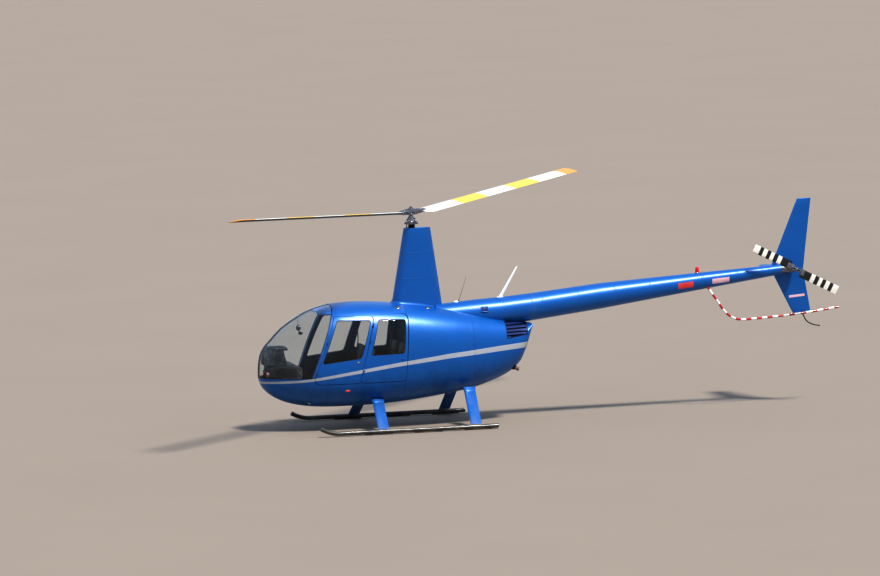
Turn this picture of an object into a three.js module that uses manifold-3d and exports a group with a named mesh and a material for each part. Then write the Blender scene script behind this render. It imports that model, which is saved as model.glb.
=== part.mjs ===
// A light four-seat helicopter on skids, in millimetres, +Z up.
// Pieces are laid out from the mast axis: +X to the nose, +Y to port, Z from the ground.
// The whole group is then moved forward so that the origin lies under the middle of its box.
import * as THREE from "three";
import { mergeVertices } from "three/addons/utils/BufferGeometryUtils.js";
import Module from "manifold-3d";

const wasm = await Module();
wasm.setup();

const MAST_X = 1578;

// Gaps between solids
const TOUCH_GAP = 0.3;
const SEAM_GAP = 6;
const HALF_GAP = TOUCH_GAP / 2;

// How far solids that are joined run into each other
const JOIN_LAP = 1;

// Walls, as depths under the outer skin
const HULL_WALL = 30;
const DOOR_WALL = 25;
const FRAME_WALL = [HULL_WALL + TOUCH_GAP, 58];
const WINDSHIELD_WALL = [0, 8];
const WINDOW_WALL = [6, 12];
const LOUVRE_WALL = [3, 24];
const SPINE_WALL = 14;
const BOOM_WALL = 8;

// The fuselage skin by stations. Sections are superellipses: columns are the station, the top and bottom
// heights, the half width, the height of the widest point, and the exponents above and below it.
const BODY_STATIONS = [
  { x: 2400, top: 860, bottom: 860, half: 0, wide: 860, up: 2.0, low: 2.0 },
  { x: 2365, top: 1150, bottom: 705, half: 145, wide: 880, up: 2.0, low: 2.0 },
  { x: 2300, top: 1272, bottom: 615, half: 235, wide: 890, up: 2.05, low: 2.05 },
  { x: 2200, top: 1380, bottom: 535, half: 325, wide: 900, up: 2.1, low: 2.1 },
  { x: 2050, top: 1530, bottom: 455, half: 425, wide: 920, up: 2.2, low: 2.2 },
  { x: 1860, top: 1660, bottom: 397, half: 515, wide: 940, up: 2.35, low: 2.3 },
  { x: 1660, top: 1768, bottom: 362, half: 585, wide: 960, up: 2.5, low: 2.4 },
  { x: 1430, top: 1842, bottom: 345, half: 625, wide: 985, up: 2.7, low: 2.5 },
  { x: 1200, top: 1876, bottom: 340, half: 640, wide: 1000, up: 2.8, low: 2.6 },
  { x: 900, top: 1887, bottom: 340, half: 641, wide: 1010, up: 2.8, low: 2.6 },
  { x: 500, top: 1865, bottom: 352, half: 641, wide: 1030, up: 2.8, low: 2.6 },
  { x: 200, top: 1830, bottom: 375, half: 638, wide: 1045, up: 2.8, low: 2.6 },
  { x: -100, top: 1790, bottom: 405, half: 628, wide: 1055, up: 2.75, low: 2.5 },
  { x: -400, top: 1740, bottom: 445, half: 600, wide: 1065, up: 2.7, low: 2.5 },
  { x: -800, top: 1660, bottom: 505, half: 525, wide: 1085, up: 2.6, low: 2.4 },
  { x: -1200, top: 1570, bottom: 620, half: 415, wide: 1130, up: 2.4, low: 2.3 },
  { x: -1450, top: 1520, bottom: 735, half: 335, wide: 1170, up: 2.3, low: 2.2 },
  { x: -1600, top: 1492, bottom: 860, half: 285, wide: 1210, up: 2.2, low: 2.1 },
  { x: -1700, top: 1470, bottom: 1060, half: 245, wide: 1290, up: 2.2, low: 2.0 },
  { x: -1790, top: 1450, bottom: 1400, half: 190, wide: 1425, up: 2.2, low: 2.0 },
];
const NOSE_ROWS = 6;
const SKIN_ANGLES = 32;

// Seams of the fuselage, seen from the side
const WINDSHIELD_SILL_Z = 820;
const DOOR_TOP_Z = 1720;
const DOOR_SILL_Z = 720;
const SILL_LIFT = 6;
const POST_TOP = { x: 1362, z: 1692 };
const POST_RAKE = 0.3796;
const POST_WIDTH = 30;
const FRAME_LAP = 38;
const FRAME_INNER_Y = 150;
const OPENING_LAP = 28;
const REBATE_DEPTH = 46;
const FILLER_Z = 1620;
const FILLER_FRONT_X = 1000;
const BOW_HALF_WIDTH = 20;
const BOW_WALL = [-3, 22];
const AFT_HULL_FRONT = { topX: 201, bottomX: 289 };
const COWL_FRONT_X = -810;
const LOUVRE = [[-1340, 1900], [-1345, 1250], [-1700, 1290], [-1735, 1900]];

// Heights and stations beyond the fuselage, where cutting outlines end
const HIGH = 2400;
const LOW = 100;
const AHEAD = 2700;
const BEHIND = -1840;
const WIDE = 4000;

// Doors: the x of their front and rear seams at the top and the sill, the lengths of edge that each corner
// rounds off, and the window corners, all from the front top corner by the rear to the front sill corner.
// The relief widens the rear seam at the top, where the panel moves rearward as it starts to open.
const DOORS = [
  {
    name: "front_door",
    front: { top: 1315, sill: 1695 },
    rear: { top: 710, sill: 985 },
    corners: [0, 90, 0, 150],
    relief: 8,
    window: [[1284, 1672], [768, 1652], [951, 1098], [1540, 1034]],
  },
  {
    name: "rear_door",
    front: { top: 710, sill: 985 },
    rear: { top: 187, sill: 275 },
    corners: [0, 90, 60, 90],
    relief: 14,
    window: [[660, 1660], [238, 1642], [289, 1142], [799, 1134]],
  },
];
const WINDOW_CORNERS = [45, 45, 45, 45];
const CORNER_STEPS = 5;

// Hinges: two to a door, set back from its front seam and proud of the skin, so that the door clears the
// sill and its neighbours as it swings
const HINGE_HEIGHTS = [900, 1350];
const HINGE = {
  proud: 13,
  setback: 10,
  radius: 8,
  length: 22,
  footFront: 3,
  leafRear: -22,
  leafThick: 5,
  armRear: -8,
  armFront: 7,
  armRoot: 4,
  notch: 90,
  running: 5.3,
};

// Cabin fittings
const FLOOR = { bottom: 400, top: 420, rear: 172, front: 2120 };
const SEAT_BOXES = [
  { rear: 770, front: 1160, top: 700, half: 500 },
  { rear: 235, front: 630, top: 740, half: 500 },
];
const FIREWALL = { front: 135, thick: 12 };
const BEARER = { y: 200, width: 50, top: 700, depth: 60, rear: -950 };
const ENGINE = { rear: -950, front: -200, half: 290, height: 480 };
const SEATS = [
  { name: "front_seat", x: 960, base: 700 },
  { name: "rear_seat", x: 440, base: 740 },
];
const SEAT = { y: 275, width: 440, depth: 380, pad: 90, backThick: 80, backHeight: 540, recline: 8 };
const CONSOLE = { rear: 1990, front: 2330, half: 240, bottom: 1010, top: 1275 };
const PEDESTAL = { rear: 1830, front: 2150, half: 160, top: 1020 };
const NOSE_DECK = { rear: 1830, front: 2270, bottom: 812, top: 985 };
const CYCLIC = { x: 1400, radius: 14, height: 900, bar: 420, barRadius: 11 };
const GRIP = { inset: 12, radius: 15, low: 5, high: 100 };

// Mast fairing: teardrop sections
const MAST_FAIRING = [
  { z: 1640, front: 350, rear: -450, half: 150 },
  { z: 1842, front: 326, rear: -434, half: 130 },
  { z: 2960, front: 119, rear: -288, half: 95 },
];

const TEARDROP_STEPS = 8;
const TEARDROP_TAPER = [0.3, 0.6, 0.85];

// Tailcone: columns are the station, the height of its axis and its radius
const TAIL_FAIRING = [
  { x: -330, z: 1600, r: 190 },
  { x: -870, z: 1622, r: 209 },
  { x: -1340, z: 1645, r: 209 },
  { x: -1800, z: 1683, r: 206 },
];
const TAIL_FAIRING_LOW = 1500;
const TAILCONE = [
  { x: -1800.3, z: 1683, r: 206 },
  { x: -2900, z: 1800, r: 193 },
  { x: -4460, z: 1951, r: 129 },
  { x: -5730, z: 2070, r: 75 },
];

// Tail surfaces lie against the starboard side of the boom
const FIN_Y = -97;
const UPPER_FIN = [
  { z: 2052, lead: -5590, trail: -6112, thick: 34 },
  { z: 2149, lead: -5622, trail: -6126, thick: 34 },
  { z: 2376, lead: -5719, trail: -6153, thick: 32 },
  { z: 3134, lead: -6038, trail: -6254, thick: 22 },
];
const LOWER_FIN = [
  { z: 2051.7, lead: -5610, trail: -6112, thick: 34 },
  { z: 1946, lead: -5662, trail: -6128, thick: 32 },
  { z: 1388, lead: -5935, trail: -6220, thick: 22 },
];
const FIN_HALF = UPPER_FIN[0].thick / 2;
const STABILIZER = { z: 2052, lead: -5640, chord: 340, tipChord: 300, thick: 34, tipThick: 26, span: 990 };
const GEARBOX = {
  x: -5890,
  lift: 8,
  radius: 68,
  neckRadius: 62,
  caseRadius: 60,
  caseEnd: 98,
  shaftRadius: 30,
  port: 215,
};
const TAIL_ROTOR = { x: -5890, y: 280, z: 2088, radius: 737, chord: 130, thick: 0.12, rest: 26.76 };
const TAIL_HUB = { half: 95, width: 16, height: 22, capRadius: 15, cap: 34 };
const TAIL_SKID = [[-6080, 1395], [-6150, 1260], [-6250, 1198], [-6352, 1175]];
const TAIL_SKID_RADIUS = 9;
const GUARD = [
  [-4540, 60, 1900],
  [-4600, 90, 1790],
  [-4700, 105, 1640],
  [-4825, 95, 1465],
  [-5010, 60, 1352],
  [-5300, 0, 1338],
  [-5720, -65.6, 1354],
  [-6150, -65.6, 1388],
  [-6655, -65.6, 1450],
];
const GUARD_RADIUS = 14;

// Main rotor
const ROTOR = {
  radius: 5030,
  chord: 255,
  thick: 30,
  rootChord: 150,
  rootLength: 90,
  rootGap: 1.45,
  hubZ: 3200,
  rest: 48.0,
  coning: 3.25,
  teeter: 0.36,
  pitch: 9,
};
const ROTOR_HUB = { length: 540, width: 110, height: 84, capHeight: 40, capRadius: 34, capTopRadius: 26 };
const SHAFT = { radius: 30, bottom: 2960.3 };
const SWASHPLATE = { z: 3035, radius: 105, bore: 40, thick: 36, posts: 3, postRadius: 8, postCircle: 70 };

// Landing gear
const SKID = {
  y: 1090,
  radius: 32,
  z: 45,
  rear: -1010,
  bend: 1400,
  tipX: 1690,
  tipZ: 130,
  sides: 16,
  straightSteps: 4,
  bendSteps: 5,
};
const SHOE = { width: 44, length: 420, xs: [-700, 60, 820], depth: 30 };
const LEGS = [
  { name: "front_leg", topX: 685, topZ: 470, footX: 738 },
  { name: "rear_leg", topX: -722, topZ: 575, footX: -672 },
];
const LEG = { topY: 440, footZ: 50, chord: 172, thick: 52 };

// Small things on the boom and the belly
const BEACON = { x: -4417, radius: 30, topRadius: 24, sink: 20, height: 95 };
const COMM_ANTENNA = { x: -1308, footZ: 1800, tipX: -1614, tipZ: 2310, chord: 60, tipChord: 30, thick: 14 };
const WHIP = { x: -690, footZ: 1780, tipX: -822, tipZ: 2180, radius: 3 };
const EXHAUST = { from: [-1300, 130, 900], to: [-1570, 130, 765], radius: 30 };

const BLUE = new THREE.MeshStandardMaterial({ color: 0x0058a8, roughness: 0.3, metalness: 0.5 });
const GLASS = new THREE.MeshStandardMaterial({ color: 0x9fb4bd, roughness: 0.05, opacity: 0.35 });
const DARK = new THREE.MeshStandardMaterial({ color: 0x22262c, roughness: 0.6 });
const STEEL = new THREE.MeshStandardMaterial({ color: 0x7d7f82, roughness: 0.4, metalness: 0.9 });
const WHITE = new THREE.MeshStandardMaterial({ color: 0xe8e8e6, roughness: 0.4 });
const RED = new THREE.MeshStandardMaterial({ color: 0xc01818, roughness: 0.3 });
const CLOTH = new THREE.MeshStandardMaterial({ color: 0x4a4744, roughness: 0.9 });

const RAD = Math.PI / 180;

// Solids and meshes

/** Makes a geometry into a closed solid, turning it the right way round if need be. */
function solid(geometry) {
  const bare = geometry.index ? geometry.toNonIndexed() : geometry.clone();
  bare.deleteAttribute("normal");
  bare.deleteAttribute("uv");
  const merged = mergeVertices(bare, 1e-3);
  const p = merged.attributes.position.array;
  const faces = [];
  let volume = 0;
  for (let i = 0; i < merged.index.count; i += 3) {
    const [a, b, c] = [0, 1, 2].map((k) => merged.index.getX(i + k));
    if (a === b || b === c || a === c) continue;
    faces.push([a, b, c]);
    const [u, v, w] = [a, b, c].map((k) => new THREE.Vector3().fromArray(p, 3 * k));
    volume += u.dot(v.cross(w));
  }
  const triVerts = new Uint32Array(faces.flatMap((f) => (volume < 0 ? [f[0], f[2], f[1]] : f)));
  return new wasm.Manifold(new wasm.Mesh({ numProp: 3, vertProperties: p, triVerts }));
}

/** Makes a solid back into a geometry. */
function geometryOf(made) {
  const mesh = made.getMesh();
  const geometry = new THREE.BufferGeometry();
  const position = new THREE.BufferAttribute(mesh.vertProperties, 3);
  geometry.setAttribute("position", position);
  geometry.setIndex(new THREE.BufferAttribute(mesh.triVerts, 1));
  geometry.computeVertexNormals();
  return geometry;
}

/** Adds a named mesh to a group; side is 1 for port and -1 for its mirror image. */
function add(group, name, shape, material, side = 1) {
  const mesh = new THREE.Mesh(shape.isBufferGeometry ? shape : geometryOf(shape), material.clone());
  mesh.name = name;
  mesh.scale.y = side;
  group.add(mesh);
  return mesh;
}

/**
 * A skin through rings of points, closed by flat ends; a ring of one point is a pole.
 * The starboard half takes the other diagonal where the section is mirrored about Y.
 */
function loft(rings, mirrored = false) {
  const points = rings.flat();
  const starts = [];
  rings.reduce((n, ring) => (starts.push(n), n + ring.length), 0);
  const index = [];
  const fan = (start, count) => {
    for (let k = 1; k + 1 < count; k++) index.push(start, start + k, start + k + 1);
  };
  for (let i = 0; i + 1 < rings.length; i++) {
    const count = Math.max(rings[i].length, rings[i + 1].length);
    for (let k = 0; k < count; k++) {
      const next = (k + 1) % count;
      const [a, b] = [k, next].map((n) => starts[i] + Math.min(n, rings[i].length - 1));
      const [c, d] = [k, next].map((n) => starts[i + 1] + Math.min(n, rings[i + 1].length - 1));
      const starboard = mirrored && k >= count / 4 && k < (3 * count) / 4;
      if (starboard && a !== b && c !== d) index.push(a, c, d, a, d, b);
      else {
        if (a !== b) index.push(a, c, b);
        if (c !== d) index.push(b, c, d);
      }
    }
  }
  const firstFan = index.length;
  fan(starts[0], rings[0].length);
  for (let i = firstFan; i < index.length; i += 3) [index[i], index[i + 1]] = [index[i + 1], index[i]];
  fan(starts.at(-1), rings.at(-1).length);
  for (let i = firstFan; i < index.length; i += 3) [index[i], index[i + 1]] = [index[i + 1], index[i]];
  const geometry = new THREE.BufferGeometry().setFromPoints(points);
  geometry.setIndex(index);
  return geometry;
}

/** A box between two corners, in the frame given by a matrix. */
function box(low, high, frame = new THREE.Matrix4()) {
  const size = high.map((v, i) => v - low[i]);
  const middle = high.map((v, i) => (v + low[i]) / 2);
  return solid(new THREE.BoxGeometry(...size).translate(...middle).applyMatrix4(frame));
}

/** A round bar between two points. */
function bar(from, to, radius, sides = 16, endRadius = radius) {
  const a = new THREE.Vector3(...from);
  const b = new THREE.Vector3(...to);
  const geometry = new THREE.CylinderGeometry(endRadius, radius, a.distanceTo(b), sides);
  const along = b.clone().sub(a).normalize();
  geometry.applyQuaternion(new THREE.Quaternion().setFromUnitVectors(new THREE.Vector3(0, 1, 0), along));
  return solid(geometry.translate(...a.add(b).multiplyScalar(0.5)));
}

/** A round tube's outer solid along a smooth curve through points. */
function tube(points, radius, sides, steps) {
  const curve = new THREE.CatmullRomCurve3(points.map((p) => new THREE.Vector3(...p)));
  const section = new THREE.Shape().absarc(0, 0, radius, 0, 2 * Math.PI);
  const options = { steps, extrudePath: curve, curveSegments: sides / 2 };
  return solid(new THREE.ExtrudeGeometry(section, options));
}

/** The outline of [x, z] points extruded across Y. */
function prism(outline, fromY = -WIDE, toY = WIDE) {
  const shape = new THREE.Shape(outline.map((p) => new THREE.Vector2(...p)));
  const geometry = new THREE.ExtrudeGeometry(shape, { depth: toY - fromY, bevelEnabled: false });
  return solid(geometry.rotateX(Math.PI / 2).translate(0, toY, 0));
}

/** A simple outline grown outwards by d on every side, or shrunk where d is negative. */
function grown(outline, d) {
  const area = outline.reduce((sum, p, i) => {
    const q = outline[(i + 1) % outline.length];
    return sum + p[0] * q[1] - q[0] * p[1];
  }, 0);
  const side = Math.sign(area);
  const unit = (p, q) => new THREE.Vector2(q[0] - p[0], q[1] - p[1]).normalize();
  return outline.map((p, i) => {
    const before = unit(outline.at(i - 1), p);
    const after = unit(p, outline[(i + 1) % outline.length]);
    const normal = new THREE.Vector2(before.y + after.y, -before.x - after.x).multiplyScalar(side);
    normal.normalize();
    const reach = d / (normal.x * side * before.y - normal.y * side * before.x);
    return [p[0] + normal.x * reach, p[1] + normal.y * reach];
  });
}

/** The outline with its corners rounded, each over its own length of edge. */
function rounded(outline, lengths) {
  return outline.flatMap((p, i) => {
    if (!lengths[i]) return [p];
    const corner = new THREE.Vector2(...p);
    const [from, to] = [outline.at(i - 1), outline[(i + 1) % outline.length]].map((q) =>
      new THREE.Vector2(...q).sub(corner).setLength(lengths[i]).add(corner));
    const curve = new THREE.QuadraticBezierCurve(from, corner, to);
    return curve.getPoints(CORNER_STEPS).map((q) => [q.x, q.y]);
  });
}

/** An aerofoil outline of [chordwise, thickness] points, from the leading edge at 0 back to -chord. */
function aerofoil(chord, thick, count = 7) {
  const half = (u) =>
    5 * thick * (0.2969 * Math.sqrt(u) - 0.126 * u - 0.3516 * u ** 2 + 0.2843 * u ** 3 - 0.1036 * u ** 4);
  const at = Array.from({ length: count + 1 }, (_, i) => (1 - Math.cos((Math.PI * i) / count)) / 2);
  const upper = at.map((u) => [-u * chord, half(u)]);
  const lower = at.slice(1, -1).reverse();
  return [...upper, ...lower.map((u) => [-u * chord, -half(u)])];
}

// Fuselage skin

const NOSE_X = BODY_STATIONS[0].x;
const TAIL_X = BODY_STATIONS.at(-1).x;

/** Stations are read against the root of their distance from the nose, which rounds the nose. */
const reachOf = (x) => Math.sqrt(Math.max(0, NOSE_X - x));
const REACHES = BODY_STATIONS.map((row) => reachOf(row.x));

/** One column of the station table at a reach, by a monotone cubic through the rows. */
function column(key, reach) {
  const v = BODY_STATIONS.map((row) => row[key]);
  const last = v.length - 1;
  const slope = (i) => (v[i + 1] - v[i]) / (REACHES[i + 1] - REACHES[i]);
  const tangent = (i) => {
    if (i === 0) return slope(0);
    if (i === last) return slope(last - 1);
    const [a, b] = [slope(i - 1), slope(i)];
    return a * b > 0 ? (2 * a * b) / (a + b) : 0;
  };
  const i = Math.min(last - 1, Math.max(0, REACHES.findIndex((r) => r > reach) - 1));
  const k = reach >= REACHES[last] ? last - 1 : i;
  const h = REACHES[k + 1] - REACHES[k];
  const u = Math.min(1, (reach - REACHES[k]) / h);
  const [m0, m1] = [tangent(k) * h, tangent(k + 1) * h];
  return (
    v[k] * (1 + 2 * u) * (1 - u) ** 2 +
    m0 * u * (1 - u) ** 2 +
    v[k + 1] * u * u * (3 - 2 * u) +
    m1 * u * u * (u - 1)
  );
}

/** A point on the skin at a reach and an angle round the section, from port over the top. */
function skinPoint(reach, angle) {
  const [c, s] = [Math.cos(angle), Math.sin(angle)];
  const power = 2 / column(s > 0 ? "up" : "low", reach);
  const wide = column("wide", reach);
  const height = s > 0 ? column("top", reach) - wide : wide - column("bottom", reach);
  return new THREE.Vector3(
    NOSE_X - reach * reach,
    column("half", reach) * Math.sign(c) * Math.abs(c) ** power,
    wide + height * Math.sign(s) * Math.abs(s) ** power,
  );
}

/** The half width of the skin at a station and a height. */
function skinY(x, z) {
  const reach = reachOf(x);
  const wide = column("wide", reach);
  const above = z > wide;
  const height = above ? column("top", reach) - wide : wide - column("bottom", reach);
  const power = column(above ? "up" : "low", reach);
  return column("half", reach) * (1 - Math.abs((z - wide) / height) ** power) ** (1 / power);
}

/** The solid inside the skin at a depth under it. */
function fuselage(depth) {
  const step = 0.01;
  const rings = [[new THREE.Vector3(NOSE_X - depth, 0, BODY_STATIONS[0].wide)]];
  const tailReach = reachOf(TAIL_X + Math.max(0, depth));
  const reaches = REACHES.slice(1).flatMap((r, i) => (i < NOSE_ROWS ? [(r + REACHES[i]) / 2, r] : [r]));
  for (const wanted of reaches) {
    const reach = Math.min(tailReach, wanted);
    const ring = [];
    for (let k = 0; k < SKIN_ANGLES; k++) {
      const angle = (2 * Math.PI * k) / SKIN_ANGLES;
      const along = skinPoint(reach + step, angle).sub(skinPoint(reach - step, angle));
      const round = skinPoint(reach, angle + step).sub(skinPoint(reach, angle - step));
      const normal = round.cross(along).normalize();
      ring.push(skinPoint(reach, angle).addScaledVector(normal, depth));
    }
    rings.push(ring);
  }
  return solid(loft(rings, true));
}

const shellCache = new Map();

/** The wall between two depths under the skin. */
function wall([from, to]) {
  const key = from + "," + to;
  if (!shellCache.has(key)) shellCache.set(key, fuselage(from).subtract(fuselage(to)));
  return shellCache.get(key);
}

/** The x of the windshield's rear edge at a height. */
const postX = (z) => POST_TOP.x + (POST_TOP.z - z) * POST_RAKE;

/** The x of a door's seam at a height. */
const seamX = (seam, z) => {
  const share = (z - DOOR_SILL_Z) / (DOOR_TOP_Z - DOOR_SILL_Z);
  return seam.sill + share * (seam.top - seam.sill);
};

/** A door's seam outline from the side, down to a sill, with its rear top corner drawn forward. */
const doorOutline = (door, sill = DOOR_SILL_Z, relief = 0) => rounded([
  [door.front.top, DOOR_TOP_Z],
  [door.rear.top + relief, DOOR_TOP_Z],
  [seamX(door.rear, sill), sill],
  [seamX(door.front, sill), sill],
], door.corners);
const [FRONT_DOOR, REAR_DOOR] = DOORS;
const CABIN_SIDE = [
  [FRONT_DOOR.front.top, DOOR_TOP_Z],
  [REAR_DOOR.rear.top, DOOR_TOP_Z],
  [REAR_DOOR.rear.sill, DOOR_SILL_Z],
  [FRONT_DOOR.front.sill, DOOR_SILL_Z],
];
const sideOpening = DOORS.map((door) => prism(grown(doorOutline(door), SEAM_GAP / 2)))
  .reduce((all, one) => all.add(one));

const SIDES = [["left", 1], ["right", -1]];

const root = new THREE.Group();
root.position.x = MAST_X;
const inside = fuselage(HULL_WALL + TOUCH_GAP);

/** The x of the aft hull's front edge beside the rear door. */
function aftFrontX(z) {
  const { topX, bottomX } = AFT_HULL_FRONT;
  return bottomX + ((z - WINDSHIELD_SILL_Z) * (topX - bottomX)) / (DOOR_TOP_Z - WINDSHIELD_SILL_Z);
}

/** The belly, the roof and the hull between the cabin and the cowls. */
function hull() {
  const skin = wall([0, HULL_WALL]);
  const { topX, bottomX } = AFT_HULL_FRONT;
  const lower = [[bottomX, LOW], [AHEAD, LOW], [AHEAD, WINDSHIELD_SILL_Z], [bottomX, WINDSHIELD_SILL_Z]];
  const lowerHull = skin.intersect(prism(grown(lower, -HALF_GAP))).subtract(sideOpening);
  add(root, "lower_hull", lowerHull, BLUE);
  const eaves = DOOR_TOP_Z + SEAM_GAP / 2;
  const roof = [[aftFrontX(FILLER_Z), FILLER_Z], [FILLER_FRONT_X, FILLER_Z], [FILLER_FRONT_X, eaves],
    [postX(eaves), eaves], [postX(HIGH), HIGH], [topX, HIGH], [topX, DOOR_TOP_Z]];
  add(root, "roof_panel", skin.intersect(prism(grown(roof, -HALF_GAP))).subtract(sideOpening), BLUE);
  const aft = [[topX, HIGH], [topX, DOOR_TOP_Z], [bottomX, WINDSHIELD_SILL_Z], [bottomX, LOW],
    [COWL_FRONT_X, LOW], [COWL_FRONT_X, HIGH]];
  add(root, "aft_hull", skin.intersect(prism(grown(aft, -HALF_GAP))).subtract(sideOpening), BLUE);
}

/** The two panes of the windshield and the bow between them. */
function windshield() {
  const outline = grown([[postX(WINDSHIELD_SILL_Z), WINDSHIELD_SILL_Z], [AHEAD, WINDSHIELD_SILL_Z],
    [AHEAD, HIGH], [postX(HIGH), HIGH]], -HALF_GAP);
  const pane = wall(WINDSHIELD_WALL).intersect(prism(outline, BOW_HALF_WIDTH + TOUCH_GAP, WIDE));
  add(root, "windshield_left", pane, GLASS);
  add(root, "windshield_right", pane, GLASS, -1);
  const bow = wall(BOW_WALL).intersect(prism(outline, -BOW_HALF_WIDTH, BOW_HALF_WIDTH));
  add(root, "windshield_bow", bow, BLUE);
}

/** The two points of a door's hinge line, at the hinge heights. */
function hingePoints(door) {
  return HINGE_HEIGHTS.map((z) => {
    const x = seamX(door.front, z) - HINGE.setback;
    return new THREE.Vector3(x, skinY(x, z) + HINGE.proud, z);
  });
}

/**
 * The hinge pieces of a door: the knuckles and arms that stay, those that swing, and the arms' notches.
 * Each is laid out along the hinge line, with X forward, Y outward and Z up the line.
 */
function hinges(door) {
  const h = HINGE;
  const points = hingePoints(door);
  const line = points[1].clone().sub(points[0]).normalize();
  const out = new THREE.Vector3(0, 1, 0).projectOnPlane(line).normalize();
  const forward = out.clone().cross(line);
  const skin = -h.proud;
  const pieces = { fixed: [], swinging: [], notches: [] };
  for (const point of points) {
    const frame = new THREE.Matrix4().makeBasis(forward, out, line).setPosition(point);
    const knuckle = (from, to) => {
      const ends = [from, to].map((z) => new THREE.Vector3(0, 0, z).applyMatrix4(frame).toArray());
      return bar(...ends, h.radius, 12);
    };
    const low = -HALF_GAP - h.length;
    const start = HALF_GAP + h.running;
    const arm = box([h.armRear, skin - FRAME_WALL[1] + h.armRoot, low], [h.armFront, 0, -start], frame);
    pieces.fixed.push(knuckle(low, -HALF_GAP).add(arm));
    const high = HALF_GAP + h.length;
    const root = skin - DOOR_WALL / 2;
    const foot = box([h.armRear, root, start], [h.footFront, 0, high], frame);
    const leaf = box([h.leafRear, root, start], [0, skin + h.leafThick, high], frame);
    pieces.swinging.push(knuckle(HALF_GAP, high).add(foot).add(leaf));
    pieces.notches.push(box(
      [h.armRear - h.running, -h.notch, low - SEAM_GAP],
      [h.armFront + h.notch, h.notch, 0],
      frame,
    ));
  }
  return pieces;
}

/** The doors with their windows and hinges, and the frames and front posts that they close on. */
function doorsAndFrames() {
  let frame = wall(FRAME_WALL).intersect(prism(grown(CABIN_SIDE, FRAME_LAP), FRAME_INNER_Y, WIDE));
  for (const door of DOORS) {
    const rebate = wall([0, REBATE_DEPTH]).intersect(prism(grown(doorOutline(door), SEAM_GAP / 2)));
    frame = frame.subtract(prism(grown(doorOutline(door), -OPENING_LAP))).subtract(rebate);
  }
  const eaves = DOOR_TOP_Z + SEAM_GAP / 2 - TOUCH_GAP;
  const sill = WINDSHIELD_SILL_Z + TOUCH_GAP;
  const strip = [[postX(sill), sill], [postX(eaves), eaves], [postX(eaves) - POST_WIDTH, eaves],
    [postX(sill) - POST_WIDTH, sill]];
  frame = frame.add(wall([0, FRAME_WALL[1]]).intersect(prism(grown(strip, -HALF_GAP), 0, WIDE)));
  for (const door of DOORS) {
    const { fixed, swinging, notches } = hinges(door);
    for (const piece of fixed) frame = frame.add(piece);
    const outline = grown(doorOutline(door, DOOR_SILL_Z + SILL_LIFT, door.relief), -SEAM_GAP / 2);
    const paneHole = prism(rounded(door.window, WINDOW_CORNERS), 0, WIDE);
    let panel = wall([0, DOOR_WALL]).intersect(prism(outline, 0, WIDE)).subtract(paneHole);
    for (const notch of notches) panel = panel.subtract(notch);
    for (const piece of swinging) panel = panel.add(piece);
    const pane = prism(rounded(grown(door.window, -TOUCH_GAP), WINDOW_CORNERS), 0, WIDE);
    const glass = wall(WINDOW_WALL).intersect(pane);
    for (const [sideName, side] of SIDES) {
      add(root, door.name + "_" + sideName, panel, BLUE, side);
      add(root, door.name + "_window_" + sideName, glass, GLASS, side);
    }
  }
  for (const [sideName, side] of SIDES) add(root, "cabin_frame_" + sideName, frame, BLUE, side);
}

/** The engine cowls, their louvres and the exhaust pipe that leaves the port cowl. */
function cowls() {
  const region = [[COWL_FRONT_X, LOW], [COWL_FRONT_X, HIGH], [BEHIND, HIGH], [BEHIND, LOW]];
  const skin = wall([0, HULL_WALL]).intersect(prism(grown(region, -HALF_GAP), HALF_GAP, WIDE));
  const exhaust = bar(EXHAUST.from, EXHAUST.to, EXHAUST.radius + TOUCH_GAP);
  const plain = skin.subtract(prism(LOUVRE, 0, WIDE));
  const bored = plain.subtract(exhaust);
  const louvre = wall(LOUVRE_WALL).intersect(prism(grown(LOUVRE, -TOUCH_GAP), HALF_GAP, WIDE));
  for (const [sideName, side] of SIDES) {
    add(root, "engine_cowl_" + sideName, side > 0 ? bored : plain, BLUE, side);
    add(root, "louvre_" + sideName, louvre, DARK, side);
  }
  add(root, "exhaust_pipe", bar(EXHAUST.from, EXHAUST.to, EXHAUST.radius), STEEL);
}

/** A round section's ring of points at a station. */
function roundRing({ x, z, r }, grow = 0, sides = 28) {
  return Array.from({ length: sides }, (_, k) => {
    const angle = (2 * Math.PI * k) / sides;
    return new THREE.Vector3(x, (r + grow) * Math.cos(angle), z + (r + grow) * Math.sin(angle));
  });
}

/** A teardrop ring, round in front and pointed behind, at a height. */
function teardropRing({ z, front, rear, half }, grow = 0) {
  const nose = front - half;
  const reach = half + grow;
  const round = Array.from({ length: TEARDROP_STEPS + 1 }, (_, k) => {
    const angle = -Math.PI / 2 + (Math.PI * k) / TEARDROP_STEPS;
    return new THREE.Vector3(nose + reach * Math.cos(angle), reach * Math.sin(angle), z);
  });
  const taper = TEARDROP_TAPER.map((u) => [nose + (rear - nose) * u, reach * (1 - u ** 2)]);
  const port = taper.map(([x, y]) => new THREE.Vector3(x, y, z));
  const starboard = taper.map(([x, y]) => new THREE.Vector3(x, -y, z)).reverse();
  return [...round, ...port, new THREE.Vector3(rear - grow, 0, z), ...starboard];
}

/** The round solid through a table of sections, grown by a distance. */
const roundLoft = (rows, grow = 0) => solid(loft(rows.map((row) => roundRing(row, grow))));

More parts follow.
